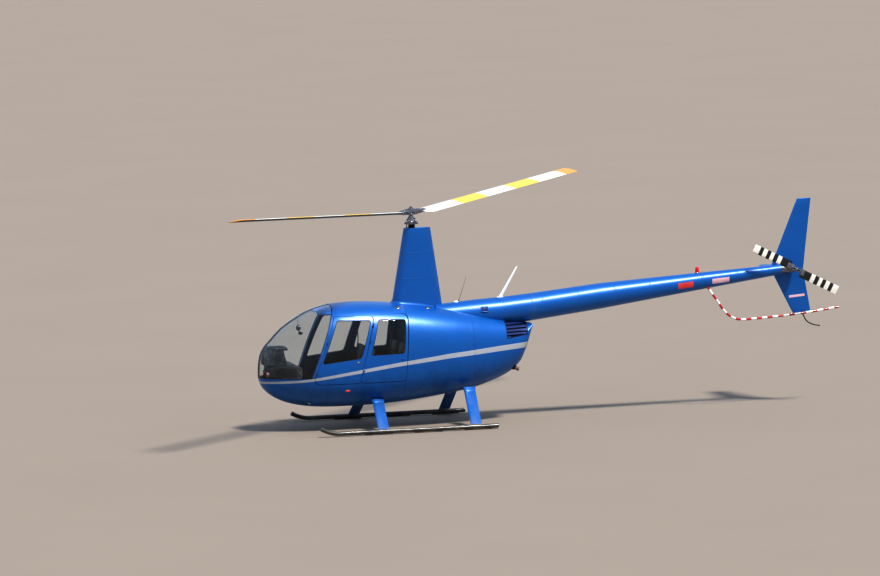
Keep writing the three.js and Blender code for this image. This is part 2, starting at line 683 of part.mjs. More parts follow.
/** The mast fairing, the fairing in front of the tailcone, and the tailcone. */
function mastAndSpine() {
  const body = fuselage(-TOUCH_GAP);
  const mast = solid(loft(MAST_FAIRING.map((row) => teardropRing(row))));
  const mastGrown = solid(loft(MAST_FAIRING.map((row) => teardropRing(row, TOUCH_GAP))));
  const spine = roundLoft(TAIL_FAIRING).subtract(roundLoft(TAIL_FAIRING, -SPINE_WALL));
  const above = box([-WIDE, -WIDE, TAIL_FAIRING_LOW], [WIDE, WIDE, WIDE]);
  add(root, "mast_fairing", mast.subtract(body), BLUE);
  add(root, "tailcone_fairing", spine.subtract(body).subtract(mastGrown).intersect(above), BLUE);
  const bore = roundLoft(TAILCONE.slice(0, -1), -BOOM_WALL);
  add(root, "tailcone", roundLoft(TAILCONE).subtract(bore), BLUE);
}

/** A fin or wing of aerofoil sections standing up, one for each row. */
function upright(rows, y) {
  return solid(loft(rows.map(({ z, lead, trail, thick }) =>
    aerofoil(lead - trail, thick / (lead - trail)).map(([u, t]) =>
      new THREE.Vector3(lead + u, y + t * (lead - trail), z)))));
}

/** The fins, the stabilizer, the gearbox, the tail skid and the tail rotor's guard. */
function tail() {
  const boom = roundLoft(TAILCONE, TOUCH_GAP);
  add(root, "upper_fin", upright(UPPER_FIN, FIN_Y).subtract(boom), BLUE);
  add(root, "lower_fin", upright(LOWER_FIN, FIN_Y).subtract(boom), BLUE);
  const s = STABILIZER;
  const section = (y, chord, thick) => aerofoil(chord, thick / chord).map(([u, t]) =>
    new THREE.Vector3(s.lead - (s.chord - chord) / 2 + u, y, s.z + t * chord));
  const inner = section(FIN_Y - FIN_HALF - TOUCH_GAP, s.chord, s.thick);
  const outer = section(FIN_Y - s.span, s.tipChord, s.tipThick);
  add(root, "horizontal_stabilizer", solid(loft([inner, outer])), BLUE);
  const end = TAILCONE.at(-1);
  const g = GEARBOX;
  const finFace = upright(UPPER_FIN, FIN_Y + TOUCH_GAP).add(upright(LOWER_FIN, FIN_Y + TOUCH_GAP));
  const axisZ = end.z + g.lift;
  const neck = bar([end.x - TOUCH_GAP, 0, axisZ], [g.x, 0, axisZ], g.neckRadius, 24, g.radius);
  const housing = neck
    .add(bar([g.x, FIN_Y, TAIL_ROTOR.z], [g.x, g.caseEnd, TAIL_ROTOR.z], g.caseRadius, 24))
    .add(bar([g.x, 0, TAIL_ROTOR.z], [g.x, g.port, TAIL_ROTOR.z], g.shaftRadius, 20))
    .subtract(finFace);
  add(root, "tail_gearbox", housing, DARK);
  const skid = tube(TAIL_SKID.map(([x, z]) => [x, FIN_Y, z]), TAIL_SKID_RADIUS, 10, 16);
  add(root, "tail_skid", skid.subtract(upright(LOWER_FIN, FIN_Y)), DARK);
  add(root, "tail_guard", tube(GUARD, GUARD_RADIUS, 8, 30).subtract(boom), RED);
}

/** The tail rotor's hub and its two blades, turned to rest about the shaft. */
function tailRotor() {
  const t = TAIL_ROTOR;
  const h = TAIL_HUB;
  const group = new THREE.Group();
  group.position.set(t.x, t.y, t.z);
  group.rotation.y = -t.rest * RAD;
  root.add(group);
  const hub = bar([0, GEARBOX.port + TOUCH_GAP - t.y, 0], [0, h.cap, 0], h.capRadius)
    .add(box([-h.half, -h.width, -h.height], [h.half, h.width, h.height]));
  add(group, "tail_rotor_hub", hub, STEEL);
  for (const [number, turn] of [[1, 0], [2, Math.PI]]) {
    const arm = new THREE.Group();
    arm.rotation.y = turn;
    group.add(arm);
    const section = (x) => aerofoil(t.chord, t.thick).map(([u, v]) =>
      new THREE.Vector3(x, v * t.chord, -u - t.chord / 3));
    const blade = solid(loft([section(h.half + TOUCH_GAP), section(t.radius)]));
    add(arm, "tail_rotor_blade_" + number, blade, WHITE);
  }
}

/** The swashplate on the fairing, and the main rotor's shaft, hub and two blades. */
function mainRotor() {
  const r = ROTOR;
  const fixed = SWASHPLATE;
  const top = MAST_FAIRING.at(-1).z;
  const [z, thick] = [fixed.z, fixed.thick];
  const disc = bar([0, 0, z - thick / 2], [0, 0, z + thick / 2], fixed.radius, 32);
  let ring = disc.subtract(bar([0, 0, z - thick], [0, 0, z + thick], fixed.bore, 32));
  for (let k = 0; k < fixed.posts; k++) {
    const angle = (2 * Math.PI * k) / fixed.posts;
    const [x, y] = [fixed.postCircle * Math.cos(angle), fixed.postCircle * Math.sin(angle)];
    ring = ring.add(bar([x, y, top + TOUCH_GAP], [x, y, z], fixed.postRadius, 10));
  }
  add(root, "swashplate", ring, STEEL);
  const group = new THREE.Group();
  group.rotation.z = r.rest * RAD;
  group.position.z = r.hubZ;
  root.add(group);
  const hub = ROTOR_HUB;
  const [hubLength, hubWidth, hubHeight] = [hub.length / 2, hub.width / 2, hub.height / 2];
  const shaftTop = -hubHeight - TOUCH_GAP - SHAFT.radius * Math.sin(r.teeter * RAD);
  const shaft = bar([0, 0, SHAFT.bottom - r.hubZ], [0, 0, shaftTop], SHAFT.radius, 24);
  add(group, "rotor_shaft", shaft, STEEL);
  const head = new THREE.Group();
  head.rotation.y = -r.teeter * RAD;
  group.add(head);
  const cap = bar([0, 0, 0], [0, 0, hubHeight + hub.capHeight], hub.capRadius, 20, hub.capTopRadius);
  const yoke = box([-hubLength, -hubWidth, -hubHeight], [hubLength, hubWidth, hubHeight]);
  add(head, "rotor_hub", yoke.add(cap), STEEL);
  for (const [number, turn] of [[1, 0], [2, Math.PI]]) {
    const arm = new THREE.Group();
    arm.rotation.z = turn;
    head.add(arm);
    const blade = new THREE.Group();
    blade.rotation.set(0, -r.coning * RAD, 0);
    blade.position.x = hubLength + r.rootGap;
    arm.add(blade);
    const cos = Math.cos(r.pitch * RAD);
    const sin = Math.sin(r.pitch * RAD);
    const section = (x, chord) => aerofoil(chord, r.thick / r.chord).map(([u, h]) => {
      const [y, z] = [u + chord / 4, h * chord];
      return new THREE.Vector3(x, y * cos - z * sin, y * sin + z * cos);
    });
    const root = section(0, r.rootChord);
    const shoulder = section(r.rootLength, r.chord);
    const tip = section(r.radius - blade.position.x, r.chord);
    add(blade, "rotor_blade_" + number, solid(loft([root, shoulder, tip])), WHITE);
  }
}

/** The two skids with their wear shoes, and the four faired legs. */
function landingGear() {
  const k = SKID;
  const rear = new THREE.Vector3(k.rear, 0, k.z);
  const start = new THREE.Vector3(k.bend, 0, k.z);
  const middle = new THREE.Vector3((k.bend + k.tipX) / 2, 0, k.z);
  const tip = new THREE.Vector3(k.tipX, 0, k.tipZ);
  const straight = new THREE.LineCurve3(rear, start);
  const bend = new THREE.QuadraticBezierCurve3(start, middle, tip);
  const points = [...straight.getPoints(k.straightSteps), ...bend.getPoints(k.bendSteps).slice(1)];
  const skidRings = points.map((p, i) => {
    const before = points[Math.max(0, i - 1)];
    const after = points[Math.min(points.length - 1, i + 1)];
    const along = after.clone().sub(before).normalize();
    const up = new THREE.Vector3(-along.z, 0, along.x);
    return Array.from({ length: k.sides }, (_, n) => {
      const angle = (2 * Math.PI * n) / k.sides;
      return p.clone().addScaledVector(up, k.radius * Math.sin(angle))
        .add(new THREE.Vector3(0, k.radius * Math.cos(angle), 0));
    });
  });
  let skid = solid(loft(skidRings));
  const [shoeLength, shoeWidth] = [SHOE.length / 2, SHOE.width / 2];
  for (const x of SHOE.xs) {
    skid = skid.add(box([x - shoeLength, -shoeWidth, 0], [x + shoeLength, shoeWidth, SHOE.depth]));
  }
  const shifted = solid(geometryOf(skid).translate(0, k.y, 0));
  for (const [sideName, side] of SIDES) add(root, "skid_" + sideName, shifted, DARK, side);
  const tubeGrown = bar([k.rear, k.y, k.z], [k.bend, k.y, k.z], k.radius + 2 * TOUCH_GAP, 48);
  const hullGrown = fuselage(-TOUCH_GAP);
  for (const leg of LEGS) {
    const section = (x, y, z) => aerofoil(LEG.chord, LEG.thick / LEG.chord).map(([u, h]) =>
      new THREE.Vector3(x + LEG.chord / 2 + u, y + h * LEG.chord, z));
    const shape = solid(loft([section(leg.footX, k.y, LEG.footZ), section(leg.topX, LEG.topY, leg.topZ)]))
      .subtract(tubeGrown)
      .subtract(hullGrown);
    const outer = shape.decompose().sort((a, b) => b.volume() - a.volume())[0];
    for (const [sideName, side] of SIDES) add(root, leg.name + "_" + sideName, outer, BLUE, side);
  }
}

/** The floor with its seat boxes, the firewall, the engine, the seats, the console and the stick. */
function cabin() {
  const f = FLOOR;
  let floor = box([f.rear, -WIDE, f.bottom], [f.front, WIDE, f.top]);
  for (const seat of SEAT_BOXES) {
    floor = floor.add(box([seat.rear, -seat.half, f.bottom], [seat.front, seat.half, seat.top]));
  }
  add(root, "cabin_floor", floor.intersect(inside), DARK);
  const w = FIREWALL;
  let wallPlate = box([w.front - w.thick, -WIDE, LOW], [w.front, WIDE, HIGH]);
  for (const side of [1, -1]) {
    const middle = side * BEARER.y;
    const [port, starboard] = [middle + BEARER.width / 2, middle - BEARER.width / 2];
    const bottom = BEARER.top - BEARER.depth;
    const bearer = box([BEARER.rear, starboard, bottom], [w.front - JOIN_LAP, port, BEARER.top]);
    wallPlate = wallPlate.add(bearer);
  }
  add(root, "firewall", wallPlate.intersect(inside), DARK);
  const e = ENGINE;
  const low = BEARER.top + TOUCH_GAP;
  add(root, "engine_block", box([e.rear, -e.half, low], [e.front, e.half, low + e.height]), STEEL);
  for (const seat of SEATS) {
    const s = SEAT;
    const halfWidth = s.width / 2;
    const base = seat.base + TOUCH_GAP;
    const rear = seat.x - s.depth / 2;
    const pad = box([rear, -halfWidth, base], [rear + s.depth, halfWidth, base + s.pad]);
    const lean = Math.tan(s.recline * RAD) * s.backHeight;
    const outline = [[rear, base + JOIN_LAP], [rear + s.backThick, base + JOIN_LAP],
      [rear + s.backThick - lean, base + s.backHeight], [rear - lean, base + s.backHeight]];
    const back = prism(outline, -halfWidth, halfWidth);
    const whole = geometryOf(pad.add(back));
    for (const [sideName, side] of SIDES) {
      add(root, seat.name + "_" + sideName, solid(whole.clone().translate(0, s.y, 0)), CLOTH, side);
    }
  }
  const c = CONSOLE;
  const p = PEDESTAL;
  const d = NOSE_DECK;
  const console = box([c.rear, -c.half, c.bottom], [c.front, c.half, c.top])
    .add(box([p.rear, -p.half, f.top + TOUCH_GAP], [p.front, p.half, p.top]))
    .add(box([d.rear, -WIDE, d.bottom], [d.front, WIDE, d.top]))
    .intersect(inside);
  add(root, "instrument_console", console, DARK);
  const y = CYCLIC;
  let stick = bar([y.x, 0, f.top + TOUCH_GAP], [y.x, 0, y.height], y.radius, 12)
    .add(bar([y.x, -y.bar, y.height], [y.x, y.bar, y.height], y.barRadius, 10));
  for (const side of [1, -1]) {
    const at = side * (y.bar - GRIP.inset);
    const grip = bar([y.x, at, y.height - GRIP.low], [y.x, at, y.height + GRIP.high], GRIP.radius, 10);
    stick = stick.add(grip);
  }
  add(root, "cyclic_stick", stick, DARK);
}

/** The beacon on the boom and the two antennas on its fairing. */
function smallThings() {
  const boomAt = (x) => {
    const i = TAILCONE.findIndex((row) => row.x <= x);
    const [a, b] = [TAILCONE[i - 1], TAILCONE[i]];
    const u = (a.x - x) / (a.x - b.x);
    return { z: a.z + (b.z - a.z) * u, r: a.r + (b.r - a.r) * u };
  };
  const b = BEACON;
  const at = boomAt(b.x);
  const top = at.z + at.r;
  const lamp = bar([b.x, 0, top - b.sink], [b.x, 0, top + b.height], b.radius, 20, b.topRadius);
  add(root, "beacon", lamp.subtract(roundLoft(TAILCONE, TOUCH_GAP)), RED);
  const spine = roundLoft(TAIL_FAIRING, TOUCH_GAP);
  const c = COMM_ANTENNA;
  const section = (x, z, chord) => aerofoil(chord, c.thick / chord).map(([u, h]) =>
    new THREE.Vector3(x + chord / 2 + u, h * chord, z));
  const blade = solid(loft([section(c.x, c.footZ, c.chord), section(c.tipX, c.tipZ, c.tipChord)]));
  add(root, "comm_antenna", blade.subtract(spine), WHITE);
  const whip = bar([WHIP.x, 0, WHIP.footZ], [WHIP.tipX, 0, WHIP.tipZ], WHIP.radius, 8);
  add(root, "whip_antenna", whip.subtract(spine), DARK);
}

hull();
windshield();
doorsAndFrames();
cowls();
mastAndSpine();
tail();
tailRotor();
mainRotor();
landingGear();
cabin();
smallThings();

export default root;
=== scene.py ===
"""A light four-seat helicopter on skids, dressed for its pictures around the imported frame.

Lengths are in metres. Sizes are laid out from the mast axis, with +X to the nose and +Y to port, and every
finished mesh is moved forward by MAST_X into the frame's own axes.
"""

import logging
import math
import random
from dataclasses import dataclass, field
from enum import Enum
from typing import Callable, Iterable, NamedTuple, Sequence

import bmesh
import bpy
from mathutils import Matrix, Vector


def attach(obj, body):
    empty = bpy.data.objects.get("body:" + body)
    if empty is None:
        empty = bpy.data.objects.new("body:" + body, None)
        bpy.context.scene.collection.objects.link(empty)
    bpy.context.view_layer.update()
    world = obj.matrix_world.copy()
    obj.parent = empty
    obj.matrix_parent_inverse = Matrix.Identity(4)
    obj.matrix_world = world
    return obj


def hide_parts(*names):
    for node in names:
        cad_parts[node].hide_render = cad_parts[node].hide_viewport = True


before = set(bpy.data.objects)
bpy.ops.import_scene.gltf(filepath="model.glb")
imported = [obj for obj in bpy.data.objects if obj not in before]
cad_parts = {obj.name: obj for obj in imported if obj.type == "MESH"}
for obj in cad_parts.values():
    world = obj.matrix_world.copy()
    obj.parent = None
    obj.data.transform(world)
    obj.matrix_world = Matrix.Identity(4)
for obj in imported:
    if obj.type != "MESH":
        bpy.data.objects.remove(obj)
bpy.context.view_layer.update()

LOG = logging.getLogger("helicopter")

MAST_X = 1.578
FAR = 9.0
SPAN_MAP = "Span"
SMOOTH_LIMIT = math.radians(38)
# Points closer than TINY are one point, and HAIR parts a strip or a pane from the panel beside it
TINY = 1e-6
HAIR = 0.0004
UP = Vector((0, 0, 1))
AHEAD = Vector((1, 0, 0))

Point2 = tuple[float, float]
Point3 = tuple[float, float, float]
Outline = list[Point2]
Colour = tuple[float, float, float, float]


class Side(Enum):
    """The two sides of the aircraft, as the sign of Y."""

    LEFT = 1
    RIGHT = -1

    @property
    def label(self) -> str:
        """The side's word in a piece's name."""
        return self.name.lower()


class Keep(Enum):
    """Which part of a skin an outline leaves."""

    INSIDE = 1
    OUTSIDE = 2


def srgb(red: float, green: float, blue: float) -> Colour:
    """Turns screen values from 0 to 255 into a linear colour.

    Args:
        red: Red on a screen.
        green: Green on a screen.
        blue: Blue on a screen.

    Returns:
        The linear colour with an alpha of 1.
    """
    shares = [v / 255 for v in (red, green, blue)]
    return (*(v / 12.92 if v <= 0.04045 else ((v + 0.055) / 1.055) ** 2.4 for v in shares), 1.0)


def mixed(a: float, b: float, share: float) -> float:
    """The value at a share of the way from a to b."""
    return a + (b - a) * share


# Outlines seen from the side


def grown(outline: Outline, distance: float) -> Outline:
    """Moves every edge of an outline outwards.

    Args:
        outline: Corners as (x, z), in either direction round.
        distance: How far outwards; negative shrinks it.

    Returns:
        The moved corners.
    """
    count = len(outline)
    area = sum(p[0] * q[1] - q[0] * p[1] for p, q in zip(outline, outline[1:] + outline[:1]))
    turn = math.copysign(1, area)
    moved = []
    for i, point in enumerate(outline):
        before = (Vector(point) - Vector(outline[i - 1])).normalized()
        after = (Vector(outline[(i + 1) % count]) - Vector(point)).normalized()
        normal = Vector((before.y + after.y, -before.x - after.x)).normalized() * turn
        reach = distance / (turn * (normal.x * before.y - normal.y * before.x))
        moved.append((point[0] + normal.x * reach, point[1] + normal.y * reach))
    return moved


def rounded(outline: Outline, lengths: Sequence[float], steps: int = 6) -> Outline:
    """Rounds the corners of an outline.

    Args:
        outline: Corners as (x, z).
        lengths: The length of edge that each corner takes off, 0 for a sharp one.
        steps: Edges in each rounded corner.

    Returns:
        The corners of the rounded outline.
    """
    points: Outline = []
    for i, (x, z) in enumerate(outline):
        if not lengths[i]:
            points.append((x, z))
            continue
        corner = Vector((x, z))
        last = corner + (Vector(outline[i - 1]) - corner).normalized() * lengths[i]
        onward = corner + (Vector(outline[(i + 1) % len(outline)]) - corner).normalized() * lengths[i]
        for k in range(steps + 1):
            u = k / steps
            at = last * (1 - u) ** 2 + corner * (2 * u * (1 - u)) + onward * u**2
            points.append((at.x, at.y))
    return points


def holds(outline: Outline, x: float, z: float) -> bool:
    """Whether a point lies inside an outline."""
    inside = False
    for (ax, az), (bx, bz) in zip(outline, outline[1:] + outline[:1]):
        if (az > z) != (bz > z) and x < ax + (z - az) * (bx - ax) / (bz - az):
            inside = not inside
    return inside


def clip(bm: bmesh.types.BMesh, outline: Outline, keep: Keep) -> None:
    """Cuts a skin along an outline seen from the side, and drops what lies on the other side of it.

    Args:
        bm: The skin, changed in place.
        outline: The outline as (x, z).
        keep: Which part stays.
    """
    for (ax, az), (bx, bz) in zip(outline, outline[1:] + outline[:1]):
        low_x, high_x = min(ax, bx) - 1e-4, max(ax, bx) + 1e-4
        low_z, high_z = min(az, bz) - 1e-4, max(az, bz) + 1e-4
        near = []
        for face in bm.faces:
            xs = [v.co.x for v in face.verts]
            if max(xs) < low_x or min(xs) > high_x:
                continue
            zs = [v.co.z for v in face.verts]
            if max(zs) >= low_z and min(zs) <= high_z:
                near.append(face)
        if not near:
            continue
        edges = {e for face in near for e in face.edges}
        verts = {v for face in near for v in face.verts}
        bmesh.ops.bisect_plane(
            bm, geom=[*verts, *edges, *near], dist=TINY, plane_co=(ax, 0, az),
            plane_no=Vector((bz - az, 0, ax - bx)).normalized(),
        )
    gone = []
    for face in bm.faces:
        middle = face.calc_center_median()
        if holds(outline, middle.x, middle.z) != (keep is Keep.INSIDE):
            gone.append(face)
    bmesh.ops.delete(bm, geom=gone, context="FACES")


def slice_y(bm: bmesh.types.BMesh, low: float, high: float) -> None:
    """Keeps the part of a skin between two distances from the middle plane.

    Args:
        bm: The skin, changed in place.
        low: Lowest Y kept.
        high: Highest Y kept.
    """
    for at, normal in ((low, -1), (high, 1)):
        bmesh.ops.bisect_plane(
            bm, geom=[*bm.verts, *bm.edges, *bm.faces], dist=TINY, plane_co=(0, at, 0),
            plane_no=(0, normal, 0), clear_outer=True,
        )


# Shapes


def empty_mesh() -> bmesh.types.BMesh:
    """A bmesh with nothing in it."""
    return bmesh.new()


def merge(target: bmesh.types.BMesh, *sources: bmesh.types.BMesh) -> bmesh.types.BMesh:
    """Adds bmeshes to another and frees them.

    Args:
        target: What the others are added to.
        sources: The bmeshes to add.

    Returns:
        The target.
    """
    for source in sources:
        carrier = bpy.data.meshes.new("carrier")
        source.to_mesh(carrier)
        source.free()
        target.from_mesh(carrier)
        bpy.data.meshes.remove(carrier)
    return target


def mirrored(bm: bmesh.types.BMesh) -> bmesh.types.BMesh:
    """Turns a port shape into its starboard twin, facing outwards."""
    bmesh.ops.scale(bm, vec=(1, -1, 1), verts=bm.verts)
    bmesh.ops.reverse_faces(bm, faces=bm.faces)
    return bm


def put_at(bm: bmesh.types.BMesh, place: Matrix) -> None:
    """Moves a shape to its place and turn."""
    bmesh.ops.transform(bm, matrix=place, verts=bm.verts)


def on_side(bm: bmesh.types.BMesh, side: Side) -> bmesh.types.BMesh:
    """The port shape itself, or its twin for the starboard side."""
    return bm if side is Side.LEFT else mirrored(bm)


def loft(rings: Sequence[Sequence[Vector]], caps: bool = True, closed: bool = True) -> bmesh.types.BMesh:
    """Lays a grid through rings of points, with the span and the way round as its map.

    Args:
        rings: Rings of equally many points.
        caps: Whether the ends are filled.
        closed: Whether each ring closes on itself.

    Returns:
        The skin, facing outwards.
    """
    bm = empty_mesh()
    across, along = len(rings[0]), len(rings) - 1
    columns = across if closed else across - 1
    bmesh.ops.create_grid(bm, x_segments=columns, y_segments=along, size=1.0)
    uv = bm.loops.layers.uv.new(SPAN_MAP)
    place = {}
    for vert in bm.verts:
        k = round((vert.co.x + 1) / 2 * columns)
        i = round((vert.co.y + 1) / 2 * along)
        place[vert] = (k, i)
    spans = [0.0]
    for a, b in zip(rings, rings[1:]):
        middle_a = sum(a, Vector()) / across
        middle_b = sum(b, Vector()) / across
        spans.append(spans[-1] + (middle_b - middle_a).length)
    for face in bm.faces:
        for loop in face.loops:
            k, i = place[loop.vert]
            loop[uv].uv = (spans[i], k / columns)
    for vert, (k, i) in place.items():
        vert.co = rings[i][k % across]
    bmesh.ops.remove_doubles(bm, verts=bm.verts, dist=TINY)
    if caps:
        rim = [e for e in bm.edges if e.is_boundary]
        bmesh.ops.holes_fill(bm, edges=rim)
        for face in bm.faces:
            if len(face.verts) > 4:
                for loop in face.loops:
                    others = [other for other in loop.vert.link_loops if other.face is not face]
                    loop[uv].uv = others[0][uv].uv if others else (0, 0)
    bmesh.ops.recalc_face_normals(bm, faces=bm.faces)
    return bm


def ring(centre: Vector, radius: float, along: Vector, sides: int) -> list[Vector]:
    """Points of a circle square to a direction.

    Args:
        centre: Its centre.
        radius: Its radius.
        along: The direction.
        sides: Number of points.

    Returns:
        The points, in order.
    """
    turn = along.normalized().to_track_quat("Z", "Y")
    angles = [2 * math.pi * k / sides for k in range(sides)]
    return [centre + turn @ Vector((radius * math.cos(a), radius * math.sin(a), 0)) for a in angles]


def oval(centre: Vector, long: float, short: float, sides: int) -> list[Vector]:
    """Points of a level oval.

    Args:
        centre: Its centre.
        long: Its half width along X.
        short: Its half width along Y.
        sides: Number of points.

    Returns:
        The points, in order.
    """
    turns = [2 * math.pi * k / sides for k in range(sides)]
    return [centre + Vector((long * math.cos(a), short * math.sin(a), 0)) for a in turns]


def spindle(
    start: Vector, along: Vector, sizes: Iterable[Point2], sides: int = 28, caps: bool = True
) -> bmesh.types.BMesh:
    """A turned shape about a straight axis.

    Args:
        start: Where distances along the axis start.
        along: The axis's direction, of length 1.
        sizes: Distances along the axis, each with the radius there.
        sides: Faces round the axis.
        caps: Whether the ends are filled.

    Returns:
        The shape.
    """
    return loft([ring(start + along * reach, radius, along, sides) for reach, radius in sizes], caps)


def tube(points: Sequence[Vector], radius: float, sides: int = 14) -> bmesh.types.BMesh:
    """A round bar along points, its sections turned no more than the path turns.

    Args:
        points: The middle line.
        radius: The bar's radius.
        sides: Faces round it.

    Returns:
        The closed bar.
    """
    rings = []
    turn = None
    for i, point in enumerate(points):
        along = (points[min(i + 1, len(points) - 1)] - points[max(i - 1, 0)]).normalized()
        if turn is None:
            turn = along.to_track_quat("Z", "Y")
        else:
            turn = (turn @ UP).rotation_difference(along) @ turn
        rings.append([
            point + turn @ Vector((radius * math.cos(a), radius * math.sin(a), 0))
            for a in (2 * math.pi * k / sides for k in range(sides))
        ])
    return loft(rings)


def smooth_path(points: Sequence[Sequence[float]], per_span: int = 8) -> list[Vector]:
    """A smooth curve through points, evenly eased between them.

    Args:
        points: The points that it passes.
        per_span: Steps between two of them.

    Returns:
        The points of the curve.
    """
    p = [Vector(v) for v in points]
    curve = []
    for i in range(len(p) - 1):
        before = p[i - 1] if i else p[0] * 2 - p[1]
        after = p[i + 2] if i + 2 < len(p) else p[-1] * 2 - p[-2]
        for k in range(per_span):
            u = k / per_span
            curve.append(0.5 * (
                2 * p[i]
                + (p[i + 1] - before) * u
                + (2 * before - 5 * p[i] + 4 * p[i + 1] - after) * u**2
                + (3 * p[i] - before - 3 * p[i + 1] + after) * u**3
            ))
    return [*curve, p[-1]]


def soften(bm: bmesh.types.BMesh, width: float, segments: int = 2, limit: float = 30) -> None:
    """Rounds the sharp edges of a closed shape.

    Args:
        bm: The shape, changed in place.
        width: The width of the rounding.
        segments: Faces across it.
        limit: Edges that turn by more degrees than this are rounded.
    """
    sharp = [e for e in bm.edges if e.is_manifold and e.calc_face_angle(0) > math.radians(limit)]
    bmesh.ops.bevel(
        bm, geom=sharp, offset=width, affect="EDGES", segments=segments, profile=0.5, material=-1,
        clamp_overlap=True,
    )


def block(low: Sequence[float], high: Sequence[float], soft: float = 0.0) -> bmesh.types.BMesh:
    """A box between two corners, with its edges rounded by a width."""
    bm = empty_mesh()
    size = [b - a for a, b in zip(low, high)]
    middle = [(a + b) / 2 for a, b in zip(low, high)]
    bmesh.ops.create_cube(bm, size=1.0, matrix=Matrix.Translation(middle) @ Matrix.Diagonal((*size, 1)))
    if soft:
        soften(bm, soft)
    return bm


def rod(
    start: Sequence[float], end: Sequence[float], radius: float, sides: int = 20,
    far: float | None = None, soft: float = 0.0,
) -> bmesh.types.BMesh:
    """A round bar or cone between two points.

    Args:
        start: One end.
        end: The other end.
        radius: The radius at the start.
        sides: Faces round it.
        far: The radius at the end, if it differs.
        soft: The width that its edges are rounded by.

    Returns:
        The closed bar.
    """
    a, b = Vector(start), Vector(end)
    bm = empty_mesh()
    turn = (b - a).to_track_quat("Z", "Y").to_matrix().to_4x4()
    bmesh.ops.create_cone(
        bm,
        cap_ends=True,
        segments=sides,
        radius1=radius,
        radius2=radius if far is None else far,
        depth=(b - a).length,
        matrix=Matrix.Translation((a + b) / 2) @ turn,
    )
    if soft:
        soften(bm, soft, 2, 50)
    return bm


def ball(centre: Sequence[float], radius: float, squash: Sequence[float] = (1, 1, 1)) -> bmesh.types.BMesh:
    """A ball, stretched along the axes."""
    bm = empty_mesh()
    place = Matrix.Translation(centre) @ Matrix.Diagonal((*squash, 1))
    bmesh.ops.create_uvsphere(bm, u_segments=20, v_segments=12, radius=radius, matrix=place)
    return bm


def aerofoil(chord: float, thick: float, count: int = 14) -> list[Point2]:
    """The outline of a wing section.

    Args:
        chord: Its length.
        thick: Its greatest thickness as a share of the chord.
        count: Steps along each face.

    Returns:
        Points as (chordwise, thickness), from the leading edge over the top and back under it.
    """

    def half(u: float) -> float:
        """The half thickness at a share of the chord."""
        return 5 * thick * (0.2969 * math.sqrt(u) - 0.126 * u - 0.3516 * u**2 + 0.2843 * u**3 - 0.1036 * u**4)

    at = [(1 - math.cos(math.pi * i / count)) / 2 for i in range(count + 1)]
    upper = [(-u * chord, half(u) * chord) for u in at]
    lower = [(-u * chord, -half(u) * chord) for u in reversed(at[1:-1])]
    return upper + lower


# Finishes


